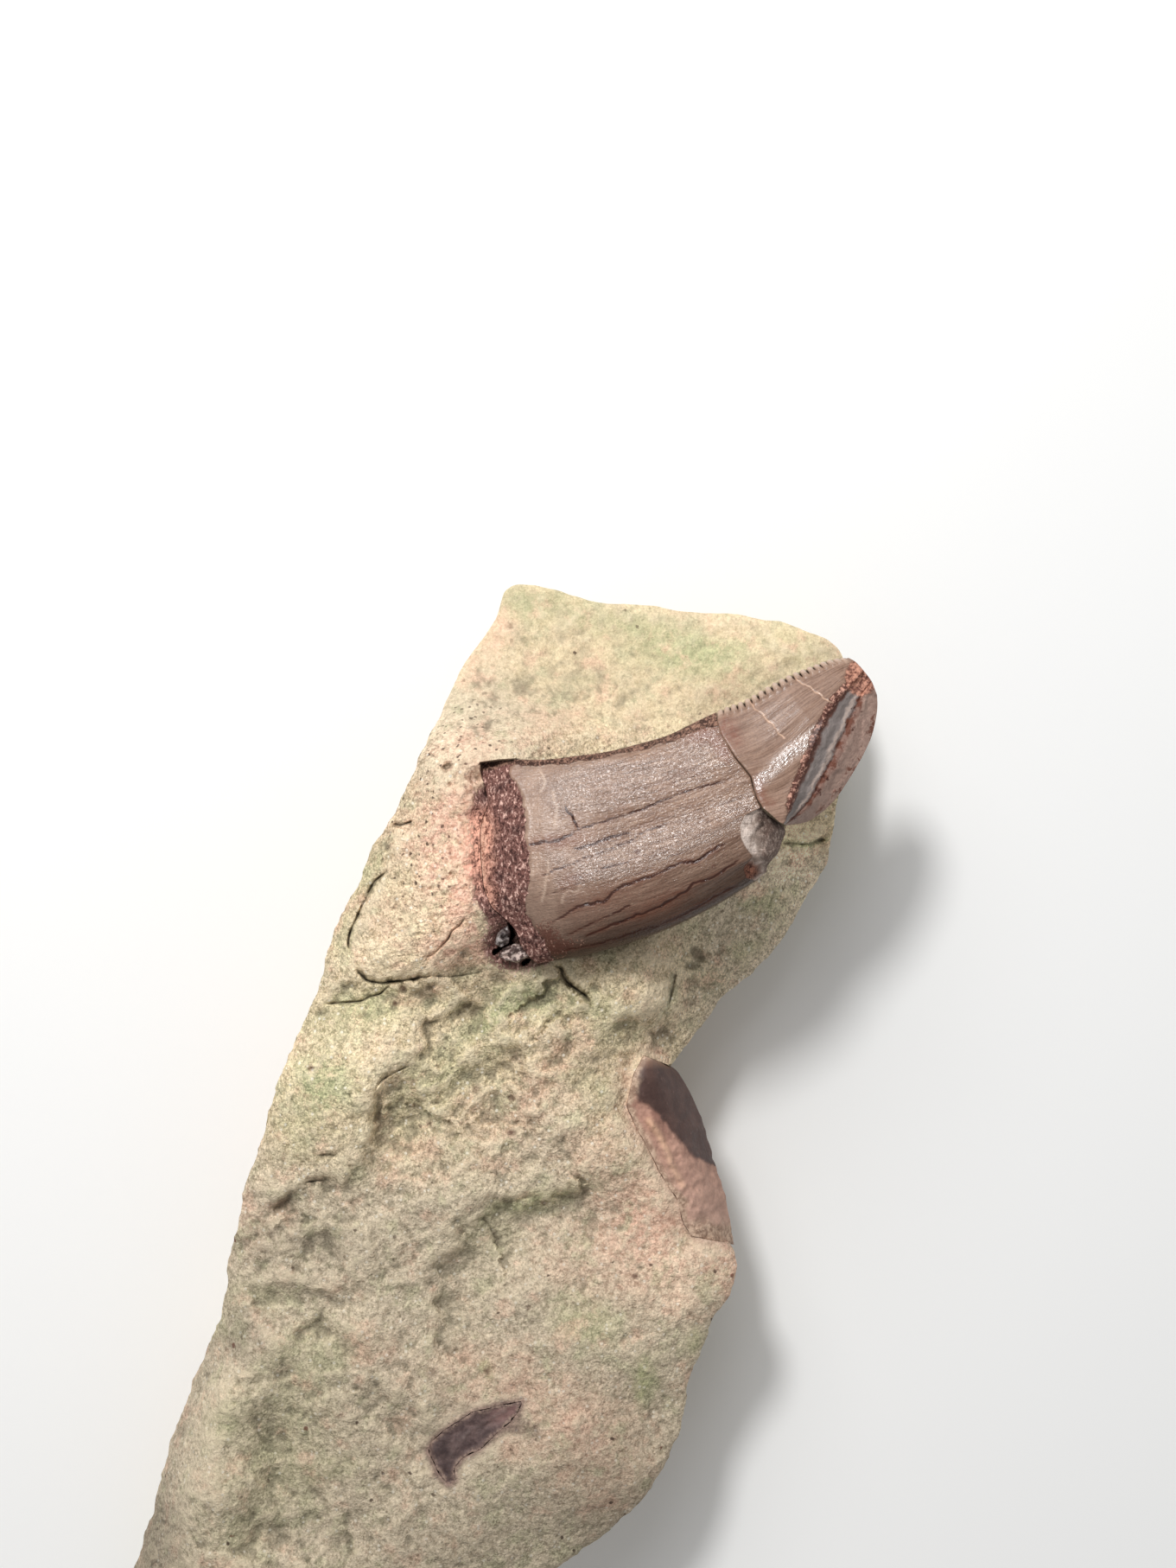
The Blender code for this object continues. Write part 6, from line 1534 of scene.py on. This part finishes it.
def stone_paint():
    g = Paint("mudstone", 0.25)
    green, pink, crack, hollow = (g.mark(k) for k in ("green", "pink", "crack", "hollow"))
    dun, pocked = g.mark("dun"), g.mark("pocked")
    stain, bony, shade, rust, tone_and_painted_shading = (g.mark(k) for k in ("stain", "bony", "shade", "rust", "tone"))
    crisp, under, orange = (g.mark(k) for k in ("crisp", "under", "orange"))
    patchy = g.noise(0.0030, 3.0, 0.6)
    cloud = g.noise(0.0010, 4.0, 0.6, seed=2.0)
    fine = g.noise(0.00036, 4.0, 0.68, seed=4.0)
    grain = g.noise(0.00015, 3.0, 0.65, seed=7.0, warp=0.5)
    mottle = g.noise(0.0006, 4.0, 0.7, seed=9.0)
    # pale and dark grains, each tinged green or pink where the stone is stained
    leafy = g.math("MULTIPLY", green, g.span(mottle, 0.32, 0.58, 0.45, 1.2), clamp=True)
    rosy = g.math("MULTIPLY", pink, g.span(g.noise(0.0007, 4.0, 0.7, seed=12.0), 0.34, 0.58, 0.4, 1.2), clamp=True)
    light = g.mix(tint(246, 226, 188), tint(236, 214, 182), g.span(patchy, 0.35, 0.65))
    light = g.mix(light, tint(231, 215, 190), g.math("MULTIPLY", dun, 0.75))
    light = g.mix(light, tint(206, 202, 158), leafy)
    light = g.mix(light, tint(248, 206, 180), rosy)
    dark = g.mix(tint(186, 166, 130), tint(166, 150, 122), g.span(cloud, 0.35, 0.65))
    dark = g.mix(dark, tint(163, 149, 128), g.math("MULTIPLY", dun, 0.75))
    dark = g.mix(dark, tint(146, 148, 112), leafy)
    dark = g.mix(dark, tint(196, 150, 128), rosy)
    tone = g.math("ADD", g.math("MULTIPLY", grain, 0.55), g.math("MULTIPLY", fine, 0.45))
    hue = g.noise(0.0015, 4.0, 0.65, seed=31.0)
    light = g.mix(light, tint(255, 208, 180), g.span(hue, 0.52, 0.68, 0.0, 0.45))
    dark = g.mix(dark, tint(176, 136, 116), g.span(hue, 0.52, 0.68, 0.0, 0.45))
    light = g.mix(light, tint(216, 210, 172), g.span(hue, 0.48, 0.34, 0.0, 0.60))
    dark = g.mix(dark, tint(134, 130, 102), g.span(hue, 0.48, 0.34, 0.0, 0.60))
    swing = g.math("MULTIPLY", g.math("SUBTRACT", tone, 0.485), crisp)
    colour = g.mix(dark, light, g.span(swing, -0.125, 0.125))
    tick = g.noise(0.00011, 2.0, 0.7, seed=33.0)
    colour = g.scaled(colour, 0.62, 1.38, g.math("ADD", 0.5, g.math("MULTIPLY", g.math("MULTIPLY", g.math("SUBTRACT", tick, 0.5), 1.65), crisp)))
    colour = g.mix(colour, tint(196, 184, 152), g.span(cloud, 0.54, 0.72, 0.0, 0.45))
    # hollows are greyer and darker, partly dirt and partly painted shade; crests are paler, a painted light
    colour = g.mix(colour, tint(112, 106, 88), g.span(hollow, -0.04, -0.9, 0.0, 0.50))
    colour = g.mix(colour, tint(250, 232, 200), g.span(hollow, 0.05, 0.9, 0.0, 0.40))
    # dark, irregular grains and glints
    pits = g.noise(0.00030, 4.0, 0.78, seed=15.0)
    colour = g.mix(colour, tint(96, 76, 58), g.span(pits, 0.66, 0.72, 0.0, 0.72))
    bent = g.node("ShaderNodeVectorMath", operation="ADD")
    g.plug(g.where, bent.inputs[0])
    wobble = g.node("ShaderNodeTexNoise")
    g.plug(g.where, wobble.inputs["Vector"])
    wobble.inputs["Scale"].default_value = 5000
    small = g.node("ShaderNodeVectorMath", operation="SCALE")
    g.plug(wobble.outputs["Color"], small.inputs[0])
    small.inputs["Scale"].default_value = 0.00022
    g.plug(small.outputs[0], bent.inputs[1])
    spread = g.span(g.noise(0.0045, 2.0, 0.5, seed=18.0), 0.42, 0.60)
    dots = g.math("MULTIPLY", g.specks(0.00075, 0.16, 0.20, at=bent.outputs[0]), spread)
    more = g.math("MULTIPLY", g.math("MAXIMUM", g.specks(0.00075, 0.50, 0.20, at=bent.outputs[0]), g.specks(0.00045, 0.42, 0.25, at=bent.outputs[0])), pocked)
    dots = g.math("MAXIMUM", dots, more)
    colour = g.mix(colour, tint(74, 56, 46), g.math("MULTIPLY", dots, 0.85))
    colour = g.mix(colour, tint(116, 62, 48), g.math("MULTIPLY", g.specks(0.0021, 0.12, 0.10, at=bent.outputs[0]), 0.8))
    glints = g.math("MULTIPLY", g.specks(0.00028, 0.10, 0.42), g.span(crisp, 0.6, 1.2))
    colour = g.mix(colour, tint(255, 248, 232), g.math("MULTIPLY", glints, 0.55))
    colour = g.mix(colour, tint(92, 56, 46), g.math("MULTIPLY", stain, 0.9))
    colour = g.mix(colour, g.mix(tint(88, 70, 66), tint(150, 130, 116), g.span(fine, 0.40, 0.62)), g.span(g.math("ADD", g.mark("smudge"), g.math("MULTIPLY", g.math("SUBTRACT", mottle, 0.5), 0.8)), 0.15, 0.85, 0.0, 0.80))
    colour = g.mix(colour, g.mix(tint(196, 140, 118), tint(244, 202, 178), g.span(fine, 0.42, 0.58)), g.math("MULTIPLY", g.mark("blush"), g.span(mottle, 0.30, 0.62, 0.35, 0.85)))
    # stained by the bone and by the root of the tooth
    crumbs = g.noise(0.00024, 4.0, 0.75, seed=8.0)
    colour = g.mix(colour, g.mix(tint(150, 122, 112), tint(206, 172, 158), g.span(crumbs, 0.42, 0.62)), g.math("MULTIPLY", bony, 0.6))
    crumbly, crumbs = crumb_colours(g, orange)
    colour = g.mix(colour, crumbly, g.span(g.math("ADD", rust, g.math("MULTIPLY", crumbs, 1.2)), 1.02, 1.30))
    # painted shade darkens the creases
    colour = g.mix(colour, tint(84, 72, 56), g.math("MULTIPLY", g.mark("crease"), 0.55))
    colour = g.mix(colour, tint(56, 48, 38), g.span(g.math("ADD", crack, g.math("MULTIPLY", g.math("SUBTRACT", fine, 0.5), 1.0)), 0.45, 1.05, 0.0, 0.72))
    colour = g.mix(colour, tint(92, 84, 64), g.math("MULTIPLY", shade, 0.55))
    # the stone made lighter or darker by its tone, which holds painted light and shade as well as its own colour
    colour = g.scaled(colour, 0.0, 2.0, g.math("MULTIPLY", tone_and_painted_shading, 0.5))
    # painted shadow: the stone under the tooth is painted dark
    colour = g.mix(colour, tint(72, 58, 47), g.math("MULTIPLY", under, 0.80))
    relief = g.noise(0.00050, 5.0, 0.68, seed=20.0)
    hackle = g.cells(0.00034, at=bent.outputs[0])["Distance"]
    pores = g.noise(0.00017, 3.0, 0.62, seed=22.0)
    normal = g.bump(g.math("MULTIPLY", relief, g.span(crisp, 0.4, 1.4, 0.5, 1.2)), 0.00019, 1.0)
    normal = g.bump(g.math("MULTIPLY", hackle, g.span(crisp, 0.6, 1.4, 0.2, 1.0)), 0.00009, 0.9, normal)
    normal = g.bump(g.math("MULTIPLY", pores, g.span(crisp, 0.4, 1.4, 0.4, 1.2)), 0.00007, 1.0, normal)
    return g.done(colour, g.span(fine, 0.2, 0.8, 0.82, 0.97), normal)


def crown_paint():
    g = Paint("enamel_of_the_crown", 0.5)
    g.shader.inputs["IOR"].default_value = 1.60
    root, brown, crust, brk = (g.mark(k) for k in ("root", "brown", "crust", "brk"))
    pale, base, front_stain_and_shade, w, s = (g.mark(k) for k in ("pale", "base", "front_stain_and_shade", "w", "s"))
    stain, pit, rust, low, joint, tinge = (g.mark(k) for k in ("stain", "pit", "rust", "low", "joint", "tinge"))
    foil, crumbled = g.mark("foil"), g.mark("crumbled")
    long_streaks = g.noise(1.0, 3.0, 0.55, at=g.vector(g.math("MULTIPLY", s, 7.0), g.math("MULTIPLY", w, 70.0)), warp=0.3)
    thin = g.noise(1.0, 2.0, 0.6, at=g.vector(g.math("MULTIPLY", s, 12.0), g.math("MULTIPLY", w, 150.0)), seed=3.0, warp=0.4)
    blot = g.noise(0.0012, 3.0, 0.6, seed=5.0)
    grain = g.noise(0.00012, 2.0, 0.6, seed=6.0)
    band, crumbs = crumb_colours(g, rust)
    colour = g.mix(tint(164, 134, 115), tint(130, 101, 84), g.span(long_streaks, 0.35, 0.65))
    colour = g.mix(colour, tint(94, 64, 52), g.math("MULTIPLY", g.span(thin, 0.55, 0.68, 0.0, 0.78), g.span(w, 0.15, 0.65, 0.65, 1.1)))
    colour = g.mix(colour, tint(206, 176, 154), g.span(thin, 0.44, 0.30, 0.0, 0.30))
    colour = g.mix(colour, g.mix(tint(172, 144, 126), tint(147, 120, 104), g.span(blot, 0.35, 0.6)), g.math("MULTIPLY", base, 0.85))
    # the front side darker, partly a dark stain and partly painted shade
    colour = g.mix(colour, tint(52, 37, 31), g.math("MULTIPLY", front_stain_and_shade, 0.84))
    colour = g.scaled(colour, 0.62, 1.38, grain)
    wrinkle = g.noise(1.0, 2.0, 0.55, at=g.vector(g.math("MULTIPLY", s, 62.0), g.math("MULTIPLY", w, 88.0)), seed=1.0, warp=0.7)
    tiny = g.noise(1.0, 1.0, 0.5, at=g.vector(g.math("MULTIPLY", s, 150.0), g.math("MULTIPLY", w, 150.0)), seed=35.0, warp=0.5)
    both = g.math("ADD", g.math("SUBTRACT", wrinkle, 0.5), g.math("MULTIPLY", g.math("SUBTRACT", tiny, 0.5), 0.8))
    # painted light and shade of the wrinkles: the colour follows the noise of their bumps, lighter on their crests and
    # darker between, most in the bands where the enamel shines
    colour = g.scaled(colour, 0.70, 1.30, g.math("ADD", 0.5, g.math("MULTIPLY", both, g.span(foil, 0.2, 0.9, 0.25, 1.5))))
    colour = g.mix(colour, tint(132, 84, 66), g.math("MULTIPLY", stain, g.span(crumbs, 0.3, 0.6, 0.3, 0.9)))
    # reddish staining beside the cracks, brown in them
    colour = g.mix(colour, tint(112, 66, 48), g.math("MULTIPLY", tinge, 0.58))
    colour = g.mix(colour, tint(68, 38, 29), g.span(brown, 0.06, 0.45, 0.0, 0.95))
    colour = g.mix(colour, tint(38, 28, 25), g.span(brown, 0.9, 1.1, 0.0, 0.8))
    colour = g.mix(colour, tint(236, 210, 188), g.math("MULTIPLY", pale, 0.45))
    # small crumbs left on the enamel, many by the root's lower corner
    left = g.math("MULTIPLY", g.specks(0.0011, 0.22, 0.20), g.span(blot, 0.45, 0.6))
    colour = g.mix(colour, tint(96, 60, 48), g.math("MULTIPLY", left, 0.8))
    strewn = g.math("ADD", crumbled, g.math("MULTIPLY", g.math("SUBTRACT", crumbs, 0.5), 1.6))
    colour = g.mix(colour, g.mix(tint(92, 54, 44), tint(206, 164, 144), g.span(crumbs, 0.56, 0.66)), g.span(strewn, 0.50, 0.72, 0.0, 0.80))
    # the root band: dark red-brown crumbs and pale pink ones
    ragged = g.span(g.math("ADD", root, g.math("MULTIPLY", g.math("SUBTRACT", crumbs, 0.5), 1.1)), 0.40, 0.60)
    worn = g.mix(tint(176, 120, 100), tint(240, 196, 170), g.span(crumbs, 0.42, 0.56))
    band = g.mix(band, worn, g.span(g.math("ADD", g.mark("fade"), g.math("SUBTRACT", blot, 0.5)), 0.2, 0.8, 0.0, 0.85))
    colour = g.mix(colour, band, ragged)
    # dark residue on the rear edge
    dark = g.mix(tint(70, 50, 44), tint(166, 128, 110), g.span(crumbs, 0.44, 0.60))
    edging = g.span(g.math("ADD", crust, g.math("MULTIPLY", g.math("SUBTRACT", crumbs, 0.5), 1.5)), 0.38, 0.60)
    colour = g.mix(colour, dark, edging)
    # the broken end
    chalk = g.noise(0.0007, 3.0, 0.6, seed=11.0)
    face = g.mix(tint(228, 210, 198), tint(170, 151, 139), g.span(chalk, 0.42, 0.58))
    face = g.mix(face, g.mix(tint(104, 84, 75), tint(170, 150, 138), g.span(crumbs, 0.48, 0.60)), g.math("MULTIPLY", g.mark("rim"), 0.9))
    face = g.mix(face, g.mix(tint(84, 52, 42), tint(158, 108, 88), g.span(crumbs, 0.4, 0.6)), pit)
    colour = g.mix(colour, g.scaled(face, 0.78, 1.22, crumbs), brk)
    # painted shade in the crack where the tip meets the crown
    colour = g.mix(colour, tint(72, 46, 37), g.span(joint, 0.25, 0.8, 0.0, 0.92))
    # painted shade: the lower side of the crown is made darker
    colour = g.mix(colour, tint(60, 45, 39), g.math("MULTIPLY", low, 0.6))
    # crinkled, silky enamel; crumbly elsewhere
    lines = g.noise(1.0, 2.0, 0.5, at=g.vector(g.math("MULTIPLY", s, 10.0), g.math("MULTIPLY", w, 110.0)), seed=2.0)
    rough_parts = g.math("MAXIMUM", g.math("MAXIMUM", ragged, edging), brk)
    normal = g.bump(g.math("MULTIPLY", wrinkle, g.span(foil, 0.0, 1.0, 0.30, 1.0)), 0.00013, 1.0)
    normal = g.bump(g.math("MULTIPLY", tiny, g.span(foil, 0.0, 1.0, 0.30, 1.0)), 0.00003, 1.0, normal)
    normal = g.bump(lines, 0.00004, 0.8, normal)
    normal = g.bump(g.math("MULTIPLY", crumbs, rough_parts), 0.00018, 0.9, normal)
    rough = g.math("ADD", g.math("MULTIPLY", rough_parts, 0.42), g.span(blot, 0.3, 0.7, 0.20, 0.27))
    rough = g.math("ADD", rough, g.math("MULTIPLY", base, 0.10), clamp=True)
    gloss = g.span(foil, 0.3, 0.9, 0.35, 1.0)
    g.plug(g.math("MULTIPLY", gloss, g.span(g.math("MAXIMUM", front_stain_and_shade, rough_parts), 0.15, 0.8, 1.0, 0.2)), g.shader.inputs["Specular IOR Level"])
    return g.done(colour, rough, normal)


def tip_paint():
    g = Paint("enamel_of_the_tip", 0.5)
    g.shader.inputs["IOR"].default_value = 1.58
    s, w, gone, past, apex = (g.mark(k) for k in ("s", "w", "gone", "past", "apex"))
    notch, low, brk, edge, pale = (g.mark(k) for k in ("notch", "low", "brk", "edge", "pale"))
    joint, ahead, tinge = g.mark("joint"), g.mark("ahead"), g.mark("tinge")
    streaks = g.noise(1.0, 3.0, 0.55, at=g.vector(g.math("MULTIPLY", s, 5.0), g.math("MULTIPLY", w, 50.0)), warp=0.3)
    thin = g.noise(1.0, 2.0, 0.6, at=g.vector(g.math("MULTIPLY", s, 7.0), g.math("MULTIPLY", w, 100.0)), seed=3.0, warp=0.4)
    blot = g.noise(0.0009, 3.0, 0.6, seed=5.0)
    crumbs = g.noise(0.00024, 4.0, 0.75, seed=8.0)
    grain = g.noise(0.00012, 2.0, 0.6, seed=6.0)
    colour = g.mix(tint(158, 129, 112), tint(130, 103, 88), g.span(streaks, 0.35, 0.65))
    colour = g.mix(colour, tint(92, 67, 56), g.span(thin, 0.56, 0.70, 0.0, 0.55))
    colour = g.mix(colour, tint(168, 137, 118), g.span(thin, 0.44, 0.30, 0.0, 0.30))
    colour = g.scaled(colour, 0.66, 1.34, grain)
    colour = g.mix(colour, tint(128, 78, 62), g.math("MULTIPLY", tinge, g.span(crumbs, 0.35, 0.6, 0.2, 0.8)))
    # the spalled face in its bands, their borders ragged
    shaken = g.math("MULTIPLY", g.math("SUBTRACT", g.noise(0.0006, 4.0, 0.65, seed=13.0), 0.5), 0.30)
    ragged = g.math("ADD", gone, shaken)
    spots = g.noise(0.0005, 4.0, 0.7, seed=16.0)
    band = g.mix(tint(104, 70, 60), tint(138, 128, 124), g.span(ragged, 0.06, 0.14))
    band = g.mix(band, tint(176, 158, 148), g.math("MULTIPLY", g.span(ragged, 0.30, 0.38), g.span(ragged, 0.44, 0.38)))
    band = g.mix(band, tint(160, 130, 117), g.span(ragged, 0.43, 0.50, 0.0, 0.85))
    band = g.mix(band, tint(112, 70, 56), g.math("MULTIPLY", g.math("MULTIPLY", g.span(ragged, 0.42, 0.47), g.span(ragged, 0.64, 0.56)), g.span(spots, 0.42, 0.56, 0.35, 1.0)))
    band = g.mix(band, tint(172, 144, 131), g.math("MULTIPLY", g.span(ragged, 0.56, 0.64), g.span(spots, 0.40, 0.52)))
    band = g.mix(band, tint(116, 76, 62), g.math("MULTIPLY", g.span(ragged, 0.80, 0.92), g.span(spots, 0.5, 0.60)))
    band = g.mix(band, tint(78, 44, 36), g.math("MULTIPLY", g.math("MULTIPLY", g.span(ragged, 0.36, 0.44), g.span(ragged, 0.72, 0.60)), g.span(g.noise(0.00035, 3.0, 0.7, seed=19.0), 0.56, 0.64)))
    band = g.scaled(band, 0.74, 1.26, g.noise(0.00025, 3.0, 0.65, seed=14.0))
    colour = g.mix(colour, band, g.span(past, 0.0, 0.05))
    # the crusty ridge where the enamel ends, and dirt along it
    crusty = g.math("ADD", ahead, g.math("MULTIPLY", g.math("SUBTRACT", crumbs, 0.5), 1.3))
    dirt = g.mix(tint(82, 44, 36), tint(214, 164, 144), g.span(crumbs, 0.48, 0.62))
    colour = g.mix(colour, dirt, g.span(crusty, 0.38, 0.62, 0.0, 0.92))
    chipped = g.span(g.math("ADD", apex, g.math("MULTIPLY", g.math("SUBTRACT", crumbs, 0.5), 0.8)), 0.35, 0.60)
    colour = g.mix(colour, g.mix(tint(112, 66, 54), tint(214, 156, 132), g.span(crumbs, 0.42, 0.60)), g.math("MULTIPLY", chipped, 0.90))
    # painted highlight along the lit crests of the serrated edge, and painted shade in the notches between the
    # denticles
    colour = g.mix(colour, tint(212, 186, 166), g.math("MULTIPLY", edge, 0.6))
    colour = g.mix(colour, tint(52, 38, 32), g.span(notch, 0.15, 0.55, 0.0, 0.92))
    colour = g.mix(colour, tint(240, 200, 172), g.math("MULTIPLY", pale, 0.70))
    # painted shade in the crack where the tip meets the crown
    colour = g.mix(colour, tint(72, 46, 37), g.span(joint, 0.25, 0.8, 0.0, 0.9))
    colour = g.mix(colour, tint(116, 96, 86), brk)
    # painted shade: the lower side of the tip is made darker
    colour = g.mix(colour, tint(74, 58, 50), g.math("MULTIPLY", low, 0.5))
    foil = g.mark("foil")
    wrinkle = g.noise(1.0, 2.0, 0.55, at=g.vector(g.math("MULTIPLY", s, 34.0), g.math("MULTIPLY", w, 60.0)), seed=1.0, warp=0.7)
    lines = g.noise(1.0, 2.0, 0.5, at=g.vector(g.math("MULTIPLY", s, 6.0), g.math("MULTIPLY", w, 90.0)), seed=2.0)
    normal = g.bump(g.math("MULTIPLY", wrinkle, g.span(foil, 0.0, 1.0, 0.16, 1.0)), 0.00007, 1.0)
    normal = g.bump(lines, 0.00002, 0.8, normal)
    g.plug(g.span(foil, 0.1, 0.8, 0.16, 1.0), g.shader.inputs["Specular IOR Level"])
    spoiled = g.math("MAXIMUM", g.math("MAXIMUM", g.span(past, 0.0, 0.05), chipped), g.span(crusty, 0.38, 0.62))
    normal = g.bump(g.math("MULTIPLY", crumbs, spoiled), 0.00014, 0.9, normal)
    rough = g.math("ADD", g.math("MULTIPLY", spoiled, 0.2), g.span(blot, 0.3, 0.7, 0.20, 0.28), clamp=True)
    return g.done(colour, rough, normal)


def bone_paint():
    g = Paint("bone_in_the_edge", 0.4)
    smooth, ridge, low, upper, along = (g.mark(k) for k in ("smooth", "ridge", "low", "upper", "along"))
    cloud = g.noise(0.0011, 3.0, 0.6)
    fine = g.noise(0.0003, 3.0, 0.65, seed=4.0)
    grain = g.noise(0.00014, 2.0, 0.6, seed=6.0)
    smooth = g.span(g.math("ADD", smooth, g.math("MULTIPLY", g.math("SUBTRACT", fine, 0.5), 0.5)), 0.22, 0.82)
    dark = g.mix(tint(92, 68, 61), tint(74, 53, 48), g.span(cloud, 0.35, 0.65))
    dark = g.mix(dark, tint(134, 104, 96), g.span(fine, 0.62, 0.75, 0.0, 0.4))
    rosy = g.mix(tint(184, 142, 124), tint(146, 107, 93), g.span(cloud, 0.4, 0.62))
    rosy = g.mix(rosy, tint(212, 170, 140), g.math("MULTIPLY", ridge, 0.8))
    rosy = g.mix(rosy, tint(150, 112, 102), g.span(fine, 0.56, 0.7, 0.0, 0.6))
    rosy = g.mix(rosy, tint(204, 170, 152), g.math("MULTIPLY", along, 0.6))
    colour = g.mix(rosy, dark, smooth)
    colour = g.scaled(colour, 0.82, 1.18, grain)
    colour = g.mix(colour, tint(200, 158, 132), g.math("MULTIPLY", upper, 0.5))
    border = g.mark("border")
    grit = g.mix(tint(150, 122, 103), tint(206, 178, 154), g.span(g.noise(0.0003, 3.0, 0.7, seed=4.0), 0.4, 0.6))
    colour = g.mix(colour, grit, g.span(g.math("ADD", border, g.math("SUBTRACT", cloud, 0.5)), 0.20, 0.95, 0.0, 0.95))
    normal = g.bump(fine, 0.00008, 0.7)
    normal = g.bump(grain, 0.00003, 0.6, normal)
    return g.done(colour, g.mix((0.8, 0.8, 0.8, 1), (0.55, 0.55, 0.55, 1), smooth), normal)


def sliver_paint():
    g = Paint("bone_sliver", 0.4)
    pink, deep, glint = (g.mark(k) for k in ("pink", "deep", "glint"))
    cloud = g.noise(0.0006, 3.0, 0.65)
    grain = g.noise(0.00014, 2.0, 0.6, seed=6.0)
    colour = g.mix(tint(106, 86, 82), tint(74, 58, 57), g.span(cloud, 0.35, 0.62))
    colour = g.mix(colour, tint(142, 108, 102), g.math("MULTIPLY", pink, 0.7))
    colour = g.mix(colour, tint(52, 40, 40), g.math("MULTIPLY", deep, 0.6))
    colour = g.mix(colour, tint(140, 122, 116), g.math("MULTIPLY", glint, g.span(cloud, 0.4, 0.7, 0.0, 0.6)))
    colour = g.scaled(colour, 0.75, 1.25, grain)
    grit = g.mix(tint(104, 84, 78), tint(148, 125, 112), g.span(g.noise(0.0002, 3.0, 0.7, seed=4.0), 0.4, 0.6))
    colour = g.mix(colour, grit, g.span(g.math("ADD", g.mark("border"), cloud), 0.80, 1.30))
    normal = g.bump(cloud, 0.00010, 0.7)
    normal = g.bump(grain, 0.00004, 0.7, normal)
    return g.done(colour, g.span(cloud, 0.2, 0.8, 0.62, 0.82), normal)


def splinter_paint(name, a, b):
    g = Paint(name, 0.5)
    edge = g.mark("edge")
    cloud = g.noise(0.0003, 3.0, 0.6)
    colour = g.mix(a, b, g.span(cloud, 0.42, 0.56))
    colour = g.mix(colour, tint(78, 58, 54), g.math("MULTIPLY", edge, g.span(cloud, 0.35, 0.60, 0.2, 0.9)))
    colour = g.scaled(colour, 0.85, 1.15, g.noise(0.0001, 2.0, 0.6, seed=3.0))
    normal = g.bump(cloud, 0.00005, 0.6)
    return g.done(colour, g.span(cloud, 0.2, 0.8, 0.35, 0.6), normal)


def floor_paint():
    g = Paint("pale_table", 0.3)
    colour = g.mix(tint(247, 247, 246), tint(243, 243, 242), g.noise(0.05, 3.0, 0.5))
    return g.done(colour, g.span(g.noise(0.01, 2.0, 0.5), 0.3, 0.7, 0.75, 0.85))

# ---------------------------------------------------------------- build
crown, crown_under, root_rim = make_crown()
tip, tip_under = make_tip()
bone, bone_under = make_bone()
stone = finish_rock(make_rock(crown_under, tip_under, root_rim), bone_under)
sliver = make_sliver()
splinter_1 = make_splinter(
    "splinter_grey", [(572, 1092), (576, 1079), (588, 1068), (591, 1080), (589, 1091), (580, 1096)],
    lambda u, v: 15.1 - 0.02 * (u - 582), 0.7, 141)
splinter_2 = make_splinter(
    "splinter_white", [(576, 1106), (581, 1097), (598, 1091), (605, 1096), (613, 1106), (598, 1114), (585, 1111)],
    lambda u, v: 14.75 + 0.012 * (u - 592), 0.7, 151)

for piece, node, slot, paint in (
    (stone, "matrix", "mudstone", stone_paint()),
    (crown, "crown", "enamel", crown_paint()),
    (tip, "crown_tip", "enamel_tip", tip_paint()),
    (bone, "bone_fragment", "bone", bone_paint()),
    (sliver, "dark_fragment", "bone_dark", sliver_paint()),
    (splinter_1, "root_splinter_1", "splinter", splinter_paint("splinter_grey", tint(150, 141, 137), tint(66, 56, 55))),
    (splinter_2, "root_splinter_2", "splinter", splinter_paint("splinter_white", tint(206, 186, 176), tint(86, 68, 64))),
):
    piece.data.materials.append(paint)
    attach(piece, "root")
    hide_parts(node)
    print("PIECE", piece.name, len(piece.data.vertices), sum(len(p.vertices) - 2 for p in piece.data.polygons))

# ---------------------------------------------------------------- floor, light and camera
camera = bpy.data.objects.new("camera", bpy.data.cameras.new("camera"))
scene.collection.objects.link(camera)
camera.location = (-ORIGIN[0] * MM, -ORIGIN[1] * MM, EYE * MM)
camera.rotation_euler = (0, 0, 0)
camera.data.sensor_fit = "AUTO"
camera.data.sensor_width = 36
camera.data.lens = 18 / (45.35 / 130)
camera.data.clip_start = 0.005
camera.data.clip_end = 10
scene.camera = camera

bpy.ops.mesh.primitive_plane_add(size=3, location=(0, 0, -0.00005))
floor = bpy.context.active_object
floor.name = "floor"
floor.data.materials.append(floor_paint())


def lamp(name, place_at, size, energy, aim=(0, 0, 0.012), colour=(1, 1, 1)):
    data = bpy.data.lights.new(name, "AREA")
    data.shape = "DISK"
    data.size = size
    data.energy = energy
    data.color = colour
    obj = bpy.data.objects.new(name, data)
    scene.collection.objects.link(obj)
    obj.location = place_at
    obj.rotation_euler = (Vector(aim) - obj.location).to_track_quat("-Z", "Y").to_euler()
    return obj


lamp("key", (-0.05, 0.17, 0.20), 0.20, 0.235)
lamp("spark", (-0.06, 0.16, 0.22), 0.045, 0.42)
world = bpy.data.worlds.new("world")
scene.world = world
world.use_nodes = True
world.node_tree.nodes["Background"].inputs[0].default_value = (1, 1, 1, 1)
world.node_tree.nodes["Background"].inputs[1].default_value = 0.36
scene.view_settings.view_transform = "Standard"
